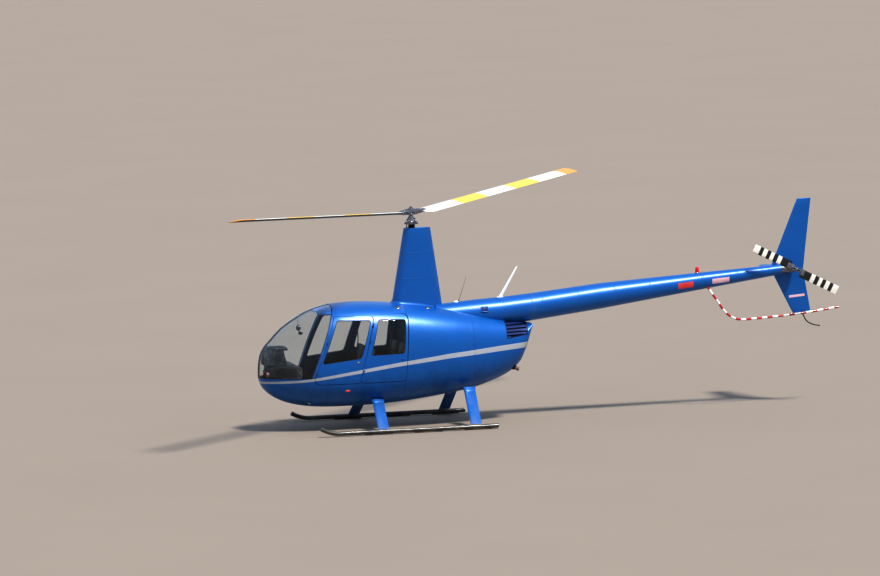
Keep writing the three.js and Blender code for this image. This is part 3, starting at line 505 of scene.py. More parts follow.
class Shader:
    """A node tree with short calls that place nodes and join them."""

    def __init__(self, tree: bpy.types.NodeTree) -> None:
        """Starts on an emptied tree.

        Args:
            tree: The node tree to fill.
        """
        self.tree = tree
        tree.nodes.clear()

    def node(self, kind: str, inputs: dict | None = None, **settings: object) -> bpy.types.Node:
        """Places a node.

        Args:
            kind: The node's type.
            inputs: Values or sockets by input name or number.
            settings: The node's own settings.

        Returns:
            The node.
        """
        made = self.tree.nodes.new(kind)
        for key, value in settings.items():
            setattr(made, key, value)
        for key, value in (inputs or {}).items():
            self.put(made.inputs[key], value)
        return made

    def put(self, socket: bpy.types.NodeSocket, value: object) -> None:
        """Joins a socket to another, or sets its value."""
        if isinstance(value, bpy.types.NodeSocket):
            self.tree.links.new(value, socket)
        else:
            socket.default_value = value

    def math(self, operation: str, *values: object, clamp: bool = False) -> bpy.types.NodeSocket:
        """A calculation on one, two or three values."""
        made = self.node("ShaderNodeMath", operation=operation, use_clamp=clamp)
        for socket, value in zip(made.inputs, values):
            self.put(socket, value)
        return made.outputs[0]

    def blend(self, share: object, a: object, b: object, kind: str = "MIX") -> bpy.types.NodeSocket:
        """A mix of two colours by a share."""
        made = self.node("ShaderNodeMix", data_type="RGBA", blend_type=kind)
        self.put(made.inputs[0], share)
        self.put(made.inputs[6], a)
        self.put(made.inputs[7], b)
        return made.outputs[2]

    def spread(
        self, value: object, low: float, high: float, to_low: float = 0, to_high: float = 1
    ) -> bpy.types.NodeSocket:
        """A value carried from one range to another, held at its ends."""
        made = self.node("ShaderNodeMapRange", {0: value, 1: low, 2: high, 3: to_low, 4: to_high}, clamp=True)
        return made.outputs[0]

    def noise(
        self, scale: float, detail: float = 3, vector: object = None, rough: float = 0.5
    ) -> bpy.types.NodeSocket:
        """Fractal noise from 0 to 1."""
        made = self.node("ShaderNodeTexNoise", {"Scale": scale, "Detail": detail, "Roughness": rough})
        self.put(made.inputs["Vector"], self.place() if vector is None else vector)
        return made.outputs[0]

    def place(self) -> bpy.types.NodeSocket:
        """The point on the piece, in the frame's axes."""
        return self.node("ShaderNodeTexCoord").outputs["Object"]

    def parts(self, vector: bpy.types.NodeSocket) -> Sequence[bpy.types.NodeSocket]:
        """The three parts of a vector."""
        return self.node("ShaderNodeSeparateXYZ", {0: vector}).outputs

    def span(self) -> Sequence[bpy.types.NodeSocket]:
        """The distance along a lofted piece in metres, and the share of the way round it."""
        return self.parts(self.node("ShaderNodeUVMap", uv_map=SPAN_MAP).outputs[0])

    def steps(self, value: object, stops: Sequence[tuple[float, Colour]]) -> bpy.types.NodeSocket:
        """Flat bands of colour: each holds from its stop to the next."""
        made = self.node("ShaderNodeValToRGB", {0: value})
        ramp = made.color_ramp
        ramp.interpolation = "CONSTANT"
        while len(ramp.elements) < len(stops):
            ramp.elements.new(1.0)
        for element, (at, colour) in zip(ramp.elements, stops):
            element.position = at
            element.color = colour
        return made.outputs[0]

    def effect(self, effect: "Effect", **inputs: object) -> bpy.types.NodeSocket:
        """Places a shared effect and gives its first output."""
        made = self.node("ShaderNodeGroup", node_tree=effect.group())
        for key, value in inputs.items():
            self.put(made.inputs[key.replace("_", " ")], value)
        return made.outputs[0]


class Effect(Enum):
    """Shared effects, each one node group that materials place with their own values."""

    FLAKE = "Flake"
    DUST = "Dust"
    EDGE_WEAR = "Edge wear"
    GRAIN = "Grain"
    WEAVE = "Weave"
    STREAKS = "Streaks"

    def group(self) -> bpy.types.NodeTree:
        """The effect's node group, made on its first use."""
        found = bpy.data.node_groups.get(self.value)
        if found:
            return found
        made = bpy.data.node_groups.new(self.value, "ShaderNodeTree")
        shader = Shader(made)
        output, values = EFFECTS[self](shader, made.interface)
        made.interface.new_socket(output, in_out="OUTPUT", socket_type="NodeSocketFloat")
        shader.node("NodeGroupOutput", {0: values})
        return made


def group_inputs(
    shader: Shader, interface: bpy.types.NodeTreeInterface, values: dict[str, float]
) -> Sequence:
    """Gives a group its named inputs.

    Args:
        shader: The group's shader.
        interface: The group's interface.
        values: Default values by input name.

    Returns:
        The sockets inside the group, in order.
    """
    for name, value in values.items():
        interface.new_socket(name, in_out="INPUT", socket_type="NodeSocketFloat").default_value = value
    return shader.node("NodeGroupInput").outputs


def flake_effect(shader: Shader, interface: bpy.types.NodeTreeInterface) -> tuple[str, object]:
    """Metal flake in paint: a value for each tiny cell, softened by a cloudy lay of the coat."""
    size, depth, *_ = group_inputs(shader, interface, {"Size": 900, "Depth": 0.3})
    cells = shader.node("ShaderNodeTexVoronoi", {"Vector": shader.place(), "Scale": size})
    grey = shader.parts(cells.outputs["Color"])[0]
    cloud = shader.spread(shader.noise(1.7, 2), 0.3, 0.7, 0.45, 0.65)
    value = shader.math("ADD", shader.math("MULTIPLY", shader.math("SUBTRACT", grey, 0.5), depth), cloud)
    return "Value", value


def dust_and_shade_effect(shader: Shader, interface: bpy.types.NodeTreeInterface) -> tuple[str, object]:
    """A film that gathers low down, broken up by noise: road film on most finishes, and painted shade on the
    body paint.
    """
    amount, low, high, scale, *_ = group_inputs(
        shader, interface, {"Amount": 0.3, "Low": 0.0, "High": 1.0, "Scale": 5}
    )
    height = shader.parts(shader.place())[2]
    span = {0: height, 1: low, 2: high, 3: 1.0, 4: 0.0}
    film = shader.node("ShaderNodeMapRange", span, clamp=True).outputs[0]
    cloud = shader.spread(shader.noise(scale, 5, rough=0.6), 0.35, 0.75)
    return "Mask", shader.math("MULTIPLY", shader.math("MULTIPLY", film, cloud), amount, clamp=True)


def wear_effect(shader: Shader, interface: bpy.types.NodeTreeInterface) -> tuple[str, object]:
    """Wear on outward edges, broken up by noise."""
    amount, scale, *_ = group_inputs(shader, interface, {"Amount": 0.5, "Scale": 30})
    edge = shader.spread(shader.node("ShaderNodeNewGeometry").outputs["Pointiness"], 0.52, 0.62)
    broken = shader.spread(shader.noise(scale, 4), 0.42, 0.62)
    return "Mask", shader.math("MULTIPLY", shader.math("MULTIPLY", edge, broken), amount, clamp=True)


def grain_effect(shader: Shader, interface: bpy.types.NodeTreeInterface) -> tuple[str, object]:
    """The pebbled grain of moulded plastic or hide."""
    scale, sharp, *_ = group_inputs(shader, interface, {"Scale": 250, "Sharpness": 0.5})
    cells = shader.node(
        "ShaderNodeTexVoronoi", {"Vector": shader.place(), "Scale": scale}, feature="SMOOTH_F1"
    )
    fine = shader.noise(scale, 2)
    return "Height", shader.math("MULTIPLY_ADD", cells.outputs["Distance"], sharp, fine)


def weave_effect(shader: Shader, interface: bpy.types.NodeTreeInterface) -> tuple[str, object]:
    """A plain weave of threads across and up the piece."""
    scale, *_ = group_inputs(shader, interface, {"Scale": 600})
    x, y, z = shader.parts(shader.place())[:3]
    waves = []
    for value in (x, shader.math("ADD", y, z)):
        waves.append(shader.math("SINE", shader.math("MULTIPLY", value, scale)))
    return "Height", shader.math("MULTIPLY", waves[0], waves[1])


def streak_effect(shader: Shader, interface: bpy.types.NodeTreeInterface) -> tuple[str, object]:
    """Fine streaks left along a piece by brushing, rain or air."""
    scale, stretch, *_ = group_inputs(shader, interface, {"Scale": 30, "Stretch": 12})
    x, y, z = shader.parts(shader.place())[:3]
    drawn = shader.node("ShaderNodeCombineXYZ", {0: shader.math("DIVIDE", x, stretch), 1: y, 2: z}).outputs[0]
    return "Value", shader.noise(scale, 4, drawn, 0.6)


EFFECTS: dict[Effect, Callable] = {
    Effect.FLAKE: flake_effect,
    Effect.DUST: dust_and_shade_effect,
    Effect.EDGE_WEAR: wear_effect,
    Effect.GRAIN: grain_effect,
    Effect.WEAVE: weave_effect,
    Effect.STREAKS: streak_effect,
}


@dataclass(frozen=True)
class Finish:
    """A procedural finish: its colours, its gloss, the marks that use leaves on it, and on the body a shade
    painted low down.
    """

    name: str
    colour: Colour
    shade: Colour
    roughness: float
    rough_shade: float = 0.08
    metallic: float = 0.0
    coat: float = 0.0
    coat_rough: float = 0.05
    mottle: float = 7.0
    grain: float = 0.0
    grain_scale: float = 250.0
    # The low film: road film on most finishes, painted shade on the body paint.
    dust: float = 0.0
    dust_and_shade_top: float = 1.0
    wear: float = 0.0
    sheen: float = 0.0
    specular: float = 0.5
    dust_and_shade_colour: Colour = srgb(150, 140, 122)
    bare: Colour = srgb(150, 150, 152)

    def base(self, shader: Shader) -> bpy.types.NodeSocket:
        """The colour before wear and before the film laid low down."""
        return shader.blend(shader.spread(shader.noise(self.mottle, 4), 0.3, 0.7), self.colour, self.shade)

    def height(self, shader: Shader) -> bpy.types.NodeSocket:
        """The fine relief of the surface."""
        return shader.effect(Effect.GRAIN, Scale=self.grain_scale, Sharpness=0.7)

    def material(self) -> bpy.types.Material:
        """The finish's material, made on its first use."""
        found = bpy.data.materials.get(self.name)
        if found:
            return found
        made = bpy.data.materials.new(self.name)
        made.use_nodes = True
        shader = Shader(made.node_tree)
        surface = shader.node(
            "ShaderNodeBsdfPrincipled", {"Metallic": self.metallic, "Coat Weight": self.coat}
        )
        surface.inputs["Coat Roughness"].default_value = self.coat_rough
        surface.inputs["Sheen Weight"].default_value = self.sheen
        surface.inputs["Specular IOR Level"].default_value = self.specular
        colour = self.base(shader)
        cloud = shader.noise(self.mottle * 2.3, 3)
        rough = shader.spread(cloud, 0.25, 0.75, self.roughness, self.roughness + self.rough_shade)
        if self.wear:
            mask = shader.effect(Effect.EDGE_WEAR, Amount=self.wear, Scale=45.0)
            colour = shader.blend(mask, colour, self.bare)
        # The low film: a tan road film on most finishes; on the body paint a near-black blue, painted shade
        # that darkens the fuselage towards its underside.
        if self.dust:
            mask = shader.effect(Effect.DUST, Amount=self.dust, Low=0.0, High=self.dust_and_shade_top, Scale=6.0)
            colour = shader.blend(mask, colour, self.dust_and_shade_colour)
            rough = shader.math("MULTIPLY_ADD", mask, 0.4, rough)
        shader.put(surface.inputs["Base Color"], colour)
        shader.put(surface.inputs["Roughness"], rough)
        if self.grain:
            bump = shader.node(
                "ShaderNodeBump", {"Height": self.height(shader), "Distance": self.grain, "Strength": 0.6}
            )
            shader.put(surface.inputs["Normal"], bump.outputs[0])
        shader.node("ShaderNodeOutputMaterial", {"Surface": surface.outputs[0]})
        return made


@dataclass(frozen=True)
class FlakePaint(Finish):
    """Metallic paint under a clear coat, with fine streaks, and a low film that is road film on most pieces
    and painted shade on the body.
    """

    flake: float = 0.12

    def base(self, shader: Shader) -> bpy.types.NodeSocket:
        """The flake's colour, darker where the flake lies away."""
        value = shader.effect(Effect.FLAKE, Size=700.0, Depth=self.flake)
        streak = shader.effect(Effect.STREAKS, Scale=14.0, Stretch=9.0)
        share = shader.math("MULTIPLY_ADD", shader.math("SUBTRACT", streak, 0.5), 0.3, value)
        return shader.blend(shader.spread(share, 0.0, 1.0), self.shade, self.colour)

    def height(self, shader: Shader) -> bpy.types.NodeSocket:
        """The faint unevenness of sheet under paint."""
        return shader.noise(3.2, 2)


@dataclass(frozen=True)
class StripedPaint(FlakePaint):
    """The fuselage's paint, with a silver band that rises from the nose to the tail of the cabin."""

    silver: Colour = srgb(178, 182, 190)
    points: tuple[Point3, ...] = ()

    def base(self, shader: Shader) -> bpy.types.NodeSocket:
        """The paint with the band over it."""
        paint = super().base(shader)
        x, _, z = shader.parts(shader.place())[:3]
        edges = []
        for lift in (-0.5, 0.5):
            edge: object = self.points[0][1] + lift * self.points[0][2]
            for (ax, az, aw), (bx, bz, bw) in zip(self.points, self.points[1:]):
                rise = (bz + lift * bw) - (az + lift * aw)
                step = shader.spread(x, MAST_X + ax, MAST_X + bx, 0.0, rise)
                edge = shader.math("ADD", edge, step)
            edges.append(edge)
        above = shader.math("GREATER_THAN", z, edges[0])
        below = shader.math("LESS_THAN", z, edges[1])
        return shader.blend(shader.math("MULTIPLY", above, below), paint, self.silver)


@dataclass(frozen=True)
class BandedPaint(Finish):
    """Gloss paint in flat bands along a lofted piece, read from its map."""

    bands: tuple[tuple[float, Colour], ...] = ()
    length: float = 1.0

    def base(self, shader: Shader) -> bpy.types.NodeSocket:
        """The bands, dulled a little in patches."""
        share = shader.math("DIVIDE", shader.span()[0], self.length)
        bands = shader.steps(share, [(at / self.length, colour) for at, colour in self.bands])
        patch = shader.spread(shader.noise(self.mottle, 4), 0.45, 0.8, 0.0, 0.25)
        return shader.blend(patch, bands, self.shade, "MULTIPLY")


@dataclass(frozen=True)
class WovenCloth(Finish):
    """Cloth or webbing with a plain weave."""

    def height(self, shader: Shader) -> bpy.types.NodeSocket:
        """The threads."""
        return shader.effect(Effect.WEAVE, Scale=self.grain_scale)


@dataclass(frozen=True)
class ClearPane:
    """Clear moulded pane that lets the lamps through."""

    name: str
    tint: Colour
    roughness: float = 0.01
    lets_through: float = 0.85

    def material(self) -> bpy.types.Material:
        """The pane's material, made on its first use."""
        found = bpy.data.materials.get(self.name)
        if found:
            return found
        made = bpy.data.materials.new(self.name)
        made.use_nodes = True
        shader = Shader(made.node_tree)
        surface = shader.node(
            "ShaderNodeBsdfPrincipled", {"Transmission Weight": 1.0, "Metallic": 0.0, "IOR": 1.35}
        )
        smear = shader.spread(shader.noise(4.0, 4), 0.55, 0.95, 0.0, 0.35)
        shader.put(surface.inputs["Base Color"], shader.blend(smear, self.tint, srgb(205, 210, 210)))
        shader.put(surface.inputs["Roughness"], shader.math("MULTIPLY_ADD", smear, 0.02, self.roughness))
        shadow = shader.node("ShaderNodeLightPath").outputs["Is Shadow Ray"]
        shader.put(surface.inputs["Alpha"], shader.math("MULTIPLY_ADD", shadow, -self.lets_through, 1.0))
        shader.node("ShaderNodeOutputMaterial", {"Surface": surface.outputs[0]})
        return made


@dataclass(frozen=True)
class Lamp(Finish):
    """A tinted lens."""

    def height(self, shader: Shader) -> bpy.types.NodeSocket:
        """The lens's ribs."""
        return shader.math("SINE", shader.math("MULTIPLY", shader.parts(shader.place())[2], 900.0))


@dataclass(frozen=True)
class RingedPaint(Finish):
    """Gloss paint in rings of equal length, in two colours, along a lofted bar."""

    other: Colour = srgb(232, 232, 228)
    pitch: float = 0.09

    def base(self, shader: Shader) -> bpy.types.NodeSocket:
        """The rings, from the bar's first end."""
        turn = shader.math("FLOORED_MODULO", shader.span()[0], 2 * self.pitch)
        first = shader.math("LESS_THAN", turn, self.pitch)
        return shader.blend(first, self.other, super().base(shader))


BLUE = (0.0, 0.130, 0.430, 1.0)
BLUE_SHADE = (0.0, 0.098, 0.340, 1.0)
STRIPE = (
    (2.40, 0.752, 0.034),
    (1.868, 0.780, 0.038),
    (1.583, 0.813, 0.042),
    (1.134, 0.877, 0.048),
    (0.370, 0.981, 0.058),
    (-0.406, 1.066, 0.070),
    (-1.222, 1.121, 0.080),
    (-1.790, 1.150, 0.084),
)
# Painted shade: a near-black blue that the body paint's low film blends in, darkening the fuselage's lower
# part.
BELLY_SHADE = srgb(3, 8, 24)
# The body paint's low film is painted shade: it darkens the fuselage more the lower it lies, up to 1.15 m.
BODY_PAINT = StripedPaint(
    "body_paint", BLUE, BLUE_SHADE, 0.42, metallic=0.30, coat=0.85, coat_rough=0.33, specular=0.1,
    grain=0.012, dust=0.75, dust_and_shade_top=1.15, dust_and_shade_colour=BELLY_SHADE, points=STRIPE
)
PLAIN_PAINT = FlakePaint(
    "plain_paint", BLUE, BLUE_SHADE, 0.42, metallic=0.30, coat=0.85, coat_rough=0.33, specular=0.1,
    grain=0.012, dust=0.35, dust_and_shade_top=0.7, wear=0.3
)
BOW_PAINT = FlakePaint(
    "bow_paint", srgb(10, 22, 52), srgb(6, 12, 30), 0.6, metallic=0.2, coat=0.1, grain=0.004
)
PANE = ClearPane("clear_pane", srgb(238, 244, 246))
SEAL_RUBBER = Finish(
    "seal_rubber", srgb(20, 20, 22), srgb(12, 12, 13), 0.7, grain=0.0004, grain_scale=700, dust=0.2
)
LINER = Finish(
    "cabin_liner", srgb(62, 66, 74), srgb(46, 49, 57), 0.78, grain=0.0006, grain_scale=420, mottle=4
)
CARPET = WovenCloth(
    "carpet", srgb(50, 52, 60), srgb(32, 34, 40), 0.95, grain=0.003, grain_scale=1400, sheen=0.25, dust=0.4
)
LEATHER = Finish(
    "seat_leather", srgb(104, 98, 92), srgb(78, 73, 69), 0.5, grain=0.0007, grain_scale=330, mottle=9
)
PIPING = Finish("seat_piping", srgb(38, 36, 36), srgb(26, 25, 25), 0.6, grain=0.0004, grain_scale=500)
WEBBING = WovenCloth(
    "belt_webbing", srgb(44, 46, 50), srgb(28, 30, 34), 0.85, grain=0.0008, grain_scale=2600, sheen=0.2
)
CONSOLE = Finish(
    "console_plastic", srgb(24, 26, 30), srgb(15, 16, 19), 0.6, grain=0.0005, grain_scale=520, wear=0.25
)
DIAL = Finish("dial_black", srgb(9, 9, 10), srgb(5, 5, 6), 0.25, coat=0.8, grain=0.0001, grain_scale=900)
DIAL_MARK = Finish("dial_mark", srgb(226, 226, 218), srgb(200, 200, 190), 0.5, grain=0.0001, grain_scale=900)
SCREEN = Finish("screen_grey", srgb(120, 132, 140), srgb(92, 104, 114), 0.12, coat=1.0, mottle=16)
ROTOR_METAL = Finish(
    "rotor_metal", srgb(126, 128, 134), srgb(84, 86, 92), 0.34, metallic=0.85, grain=0.0006,
    grain_scale=300, wear=0.4,
)
BRIGHT_METAL = Finish(
    "bright_metal", srgb(188, 190, 194), srgb(150, 152, 156), 0.24, metallic=1.0, grain=0.0002,
    grain_scale=600,
)
SKID_PAINT = Finish(
    "skid_paint", srgb(58, 56, 57), srgb(34, 33, 34), 0.36, metallic=0.3, coat=0.25, grain=0.0006,
    grain_scale=300, dust=0.5, dust_and_shade_top=0.2, wear=0.5,
)
SHOE_METAL = Finish(
    "shoe_steel", srgb(92, 90, 88), srgb(58, 54, 50), 0.5, metallic=0.8, grain=0.0008, grain_scale=160,
    dust=0.7, dust_and_shade_top=0.1,
)
ENGINE_CAST = Finish(
    "engine_casting", srgb(112, 112, 112), srgb(70, 68, 66), 0.62, metallic=0.6, grain=0.002,
    grain_scale=140, wear=0.4,
)
EXHAUST_STEEL = Finish(
    "exhaust_steel", srgb(104, 84, 70), srgb(52, 44, 42), 0.5, metallic=0.9, grain=0.0008,
    grain_scale=200, mottle=26,
)
LOUVRE_PAINT = FlakePaint(
    "louvre_paint", srgb(12, 52, 120), srgb(6, 28, 74), 0.4, metallic=0.3, coat=0.4, grain=0.003
)
# Painted shade: a near-black finish that stands for the shade inside the engine bay, on the inner faces of
# the cowls and the rear hull, the tray behind the grille and the collar round the exhaust.
BAY_SHADE = Finish("painted_bay_shade", srgb(12, 12, 14), srgb(6, 6, 7), 0.9, grain=0.001, mottle=15)
LAMP_RED = Lamp("lamp_red", srgb(196, 20, 20), srgb(150, 8, 8), 0.12, coat=1.0, grain=0.0006, mottle=30)
LAMP_AMBER = Lamp("lamp_amber", srgb(236, 96, 40), srgb(214, 70, 26), 0.15, coat=1.0, grain=0.0004, mottle=30)
LAMP_GREEN = Lamp("lamp_green", srgb(18, 150, 70), srgb(8, 110, 50), 0.12, coat=1.0, grain=0.0006, mottle=30)
ANTENNA_WHITE = Finish(
    "antenna_white", srgb(236, 236, 234), srgb(214, 214, 212), 0.3, coat=0.5, grain=0.0003, grain_scale=300
)
WHIP_BLACK = Finish("whip_black", srgb(26, 26, 28), srgb(16, 16, 18), 0.5, grain=0.0002, grain_scale=900)
LABEL_RED = Finish(
    "label_red", srgb(216, 70, 68), srgb(196, 54, 54), 0.3, coat=0.8, grain=0.0002, grain_scale=500
)
LABEL_PINK = Finish(
    "label_pink", srgb(226, 186, 196), srgb(208, 166, 178), 0.3, coat=0.8, grain=0.0002, grain_scale=500
)
GUARD_PAINT = RingedPaint(
    "guard_paint", srgb(196, 26, 26), srgb(160, 16, 18), 0.25, coat=0.9, grain=0.0003, grain_scale=400
)
BLADE_UNDER = Finish(
    "blade_underside", srgb(66, 68, 72), srgb(48, 50, 54), 0.45, grain=0.0004, grain_scale=300, mottle=3
)
WHITE_BAND = srgb(228, 226, 214)
YELLOW_BAND = srgb(236, 196, 52)
TIP_BAND = srgb(236, 158, 40)
BLACK_BAND = srgb(22, 22, 24)


# The picture: camera, floor and light


@dataclass
class Viewpoint:
    """The camera that saw the photograph, found from the aircraft's known sizes."""

    azimuth: float = 12.901
    elevation: float = 5.522
    roll: float = -1.467
    distance: float = 95.018
    target: Point3 = (-1.8, 0.0, 1.7)
    across: float = 1.355
    upward: float = -0.267
    focal_pixels: float = 6310.134
    picture_width: int = 880
    sensor: float = 36.0

    def build(self) -> None:
        """Places the camera and makes it the scene's own."""
        azimuth, elevation, roll = (math.radians(v) for v in (self.azimuth, self.elevation, self.roll))
        level = math.cos(elevation)
        back = Vector((math.sin(azimuth) * level, math.cos(azimuth) * level, math.sin(elevation)))
        right = UP.cross(back).normalized()
        turn = Matrix.Rotation(roll, 3, back)
        right = turn @ right
        upward = back.cross(right)
        place = Vector(self.target) - right * self.across - upward * self.upward + back * self.distance
        lens = bpy.data.cameras.new("photo_camera")
        lens.sensor_width = self.sensor
        lens.lens = self.focal_pixels * self.sensor / self.picture_width
        lens.clip_end = 1000
        camera = bpy.data.objects.new("photo_camera", lens)
        camera.matrix_world = Matrix((
            (right.x, upward.x, back.x, place.x + MAST_X),
            (right.y, upward.y, back.y, place.y),
            (right.z, upward.z, back.z, place.z),
            (0, 0, 0, 1),
        ))
        bpy.context.scene.collection.objects.link(camera)
        bpy.context.scene.camera = camera


@dataclass(frozen=True)
class PaleFloor:
    """A pale, faintly mottled studio floor."""

    name: str = "pale_floor"
    colour: Colour = (0.300, 0.249, 0.203, 1.0)
    shade: Colour = (0.283, 0.235, 0.192, 1.0)

    def material(self) -> bpy.types.Material:
        """The floor's material."""
        made = bpy.data.materials.new(self.name)
        made.use_nodes = True
        shader = Shader(made.node_tree)
        surface = shader.node("ShaderNodeBsdfPrincipled", {"Roughness": 0.9, "Specular IOR Level": 0.2})
        shader.put(surface.inputs["Base Color"], shader.blend(shader.noise(0.3, 3), self.colour, self.shade))
        shader.node("ShaderNodeOutputMaterial", {"Surface": surface.outputs[0]})
        return made


@dataclass
class Studio:
    """Soft light from a wide lamp overhead and from a pale dome, over a pale floor."""

    floor_size: float = 400.0
    exposure: float = 0.74
    contrast: float = 0.74
    dome_high: Colour = (0.34, 0.43, 0.58, 1.0)
    dome_low: Colour = (0.36, 0.41, 0.48, 1.0)
    dome_strength: float = 1.0
    lamp_strength: float = 3.0
    lamp_spread: float = 8.0
    lamp_from: Point3 = (-0.22, 0.48, 0.85)
    lamp_colour: Point3 = (1.0, 0.97, 0.92)
    horizon: Point2 = (0.05, 0.65)

    def build(self) -> None:
        """Makes the floor, the dome and the lamp."""
        scene = bpy.context.scene
        scene.view_settings.view_transform = "Standard"
        scene.view_settings.exposure = self.exposure
        scene.view_settings.gamma = self.contrast
        mesh = bpy.data.meshes.new("studio_floor")
        bm = empty_mesh()
        bmesh.ops.create_grid(bm, x_segments=8, y_segments=8, size=self.floor_size / 2)
        bm.to_mesh(mesh)
        bm.free()
        mesh.materials.append(PaleFloor().material())
        floor = bpy.data.objects.new("studio_floor", mesh)
        scene.collection.objects.link(floor)
        self.light_dome(scene)
        lamp = bpy.data.lights.new("soft_lamp", "SUN")
        lamp.angle = math.radians(self.lamp_spread)
        lamp.energy = self.lamp_strength
        lamp.color = self.lamp_colour
        holder = bpy.data.objects.new("soft_lamp", lamp)
        holder.matrix_world = Vector(self.lamp_from).to_track_quat("Z", "Y").to_matrix().to_4x4()
        scene.collection.objects.link(holder)

    def light_dome(self, scene: bpy.types.Scene) -> None:
        """Fills the world with a dome that is brighter near the horizon.

        Args:
            scene: The scene to light.
        """
        world = bpy.data.worlds.new("soft_dome")
        world.use_nodes = True
        shader = Shader(world.node_tree)
        height = shader.parts(shader.node("ShaderNodeTexCoord").outputs["Generated"])[2]
        share = shader.spread(height, *self.horizon)
        colour = shader.blend(share, self.dome_low, self.dome_high)
        backdrop = shader.node("ShaderNodeBackground", {"Color": colour, "Strength": self.dome_strength})
        shader.node("ShaderNodeOutputWorld", {"Surface": backdrop.outputs[0]})
        scene.world = world


# Pieces


def piece(
    name: str,
    bm: bmesh.types.BMesh,
    *finishes: object,
    body: str = "airframe",
    replaces: Iterable[str] = (),
    slot: str = "paint_blue",
    wall: float = 0.0,
    inner: int = 0,
    flat: bool = False,
) -> bpy.types.Object:
    """Makes a finished piece of the aircraft from a shape laid out from the mast axis.

    Args:
        name: The piece's name.
        bm: Its shape, which is freed.
        finishes: Its finishes, by material index.
        body: The body that it rides on.
        replaces: The nodes that it stands for.
        slot: A material slot's name; not used.
        wall: The thickness given to a sheet, under its face.
        inner: How many materials further on the sheet's inner face is.
        flat: Whether its faces stay flat.

    Returns:
        The object.
    """
    bmesh.ops.translate(bm, vec=(MAST_X, 0, 0), verts=bm.verts)
    for face in bm.faces:
        face.smooth = not flat
    for edge in bm.edges:
        edge.smooth = edge.is_manifold and edge.calc_face_angle(0) < SMOOTH_LIMIT
    mesh = bpy.data.meshes.new(name)
    bm.to_mesh(mesh)
    bm.free()
    for finish in finishes:
        mesh.materials.append(finish.material())
    made = bpy.data.objects.new(name, mesh)
    bpy.context.scene.collection.objects.link(made)
    if wall:
        shell = made.modifiers.new("Wall", "SOLIDIFY")
        shell.thickness = wall
        shell.offset = -1
        shell.use_even_offset = True
        shell.use_rim = True
        shell.material_offset = inner
    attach(made, body)
    nodes = list(replaces)
    if nodes:
        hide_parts(*nodes)
    LOG.info("%s: %d faces on %s", name, len(mesh.polygons), body)
    return made


def side_piece(
    side: Side, name: str, bm: bmesh.types.BMesh, *finishes: object,
    replaces: Iterable[str] = (), **settings: object,
) -> bpy.types.Object:
    """Makes the piece of one side from a port shape.

    Args:
        side: The side, whose word ends the piece's name and the nodes' names.
        name: The piece's name without it.
        bm: The port shape, which is freed.
        finishes: Its finishes, by material index.
        replaces: The nodes that it stands for, without the side's word.
        settings: The other settings of a piece.

    Returns:
        The object.
    """
    nodes = [f"{node}_{side.label}" for node in replaces]
    return piece(f"{name}_{side.label}", on_side(bm, side), *finishes, replaces=nodes, **settings)


# The fuselage's skin


class Station(NamedTuple):
    """A section of the skin: a superellipse with its own exponents above and below its widest point."""

    x: float
    top: float
    bottom: float
    half: float
    wide: float
    up: float
    low: float


STATIONS = [
    Station(2.400, 0.860, 0.860, 0.000, 0.860, 2.0, 2.0),
    Station(2.365, 1.150, 0.705, 0.145, 0.880, 2.0, 2.0),
    Station(2.300, 1.272, 0.615, 0.235, 0.890, 2.05, 2.05),
    Station(2.200, 1.380, 0.535, 0.325, 0.900, 2.1, 2.1),
    Station(2.050, 1.530, 0.455, 0.425, 0.920, 2.2, 2.2),
    Station(1.860, 1.660, 0.397, 0.515, 0.940, 2.35, 2.3),
    Station(1.660, 1.768, 0.362, 0.585, 0.960, 2.5, 2.4),
    Station(1.430, 1.842, 0.345, 0.625, 0.985, 2.7, 2.5),
    Station(1.200, 1.876, 0.340, 0.640, 1.000, 2.8, 2.6),
    Station(0.900, 1.887, 0.340, 0.641, 1.010, 2.8, 2.6),
    Station(0.500, 1.865, 0.352, 0.641, 1.030, 2.8, 2.6),
    Station(0.200, 1.830, 0.375, 0.638, 1.045, 2.8, 2.6),
    Station(-0.100, 1.790, 0.405, 0.628, 1.055, 2.75, 2.5),
    Station(-0.400, 1.740, 0.445, 0.600, 1.065, 2.7, 2.5),
    Station(-0.800, 1.660, 0.505, 0.525, 1.085, 2.6, 2.4),
    Station(-1.200, 1.570, 0.620, 0.415, 1.130, 2.4, 2.3),
    Station(-1.450, 1.520, 0.735, 0.335, 1.170, 2.3, 2.2),
    Station(-1.600, 1.492, 0.860, 0.285, 1.210, 2.2, 2.1),
    Station(-1.700, 1.470, 1.060, 0.245, 1.290, 2.2, 2.0),
    Station(-1.790, 1.450, 1.400, 0.190, 1.425, 2.2, 2.0),
]
NOSE_X = STATIONS[0].x
TAIL_X = STATIONS[-1].x


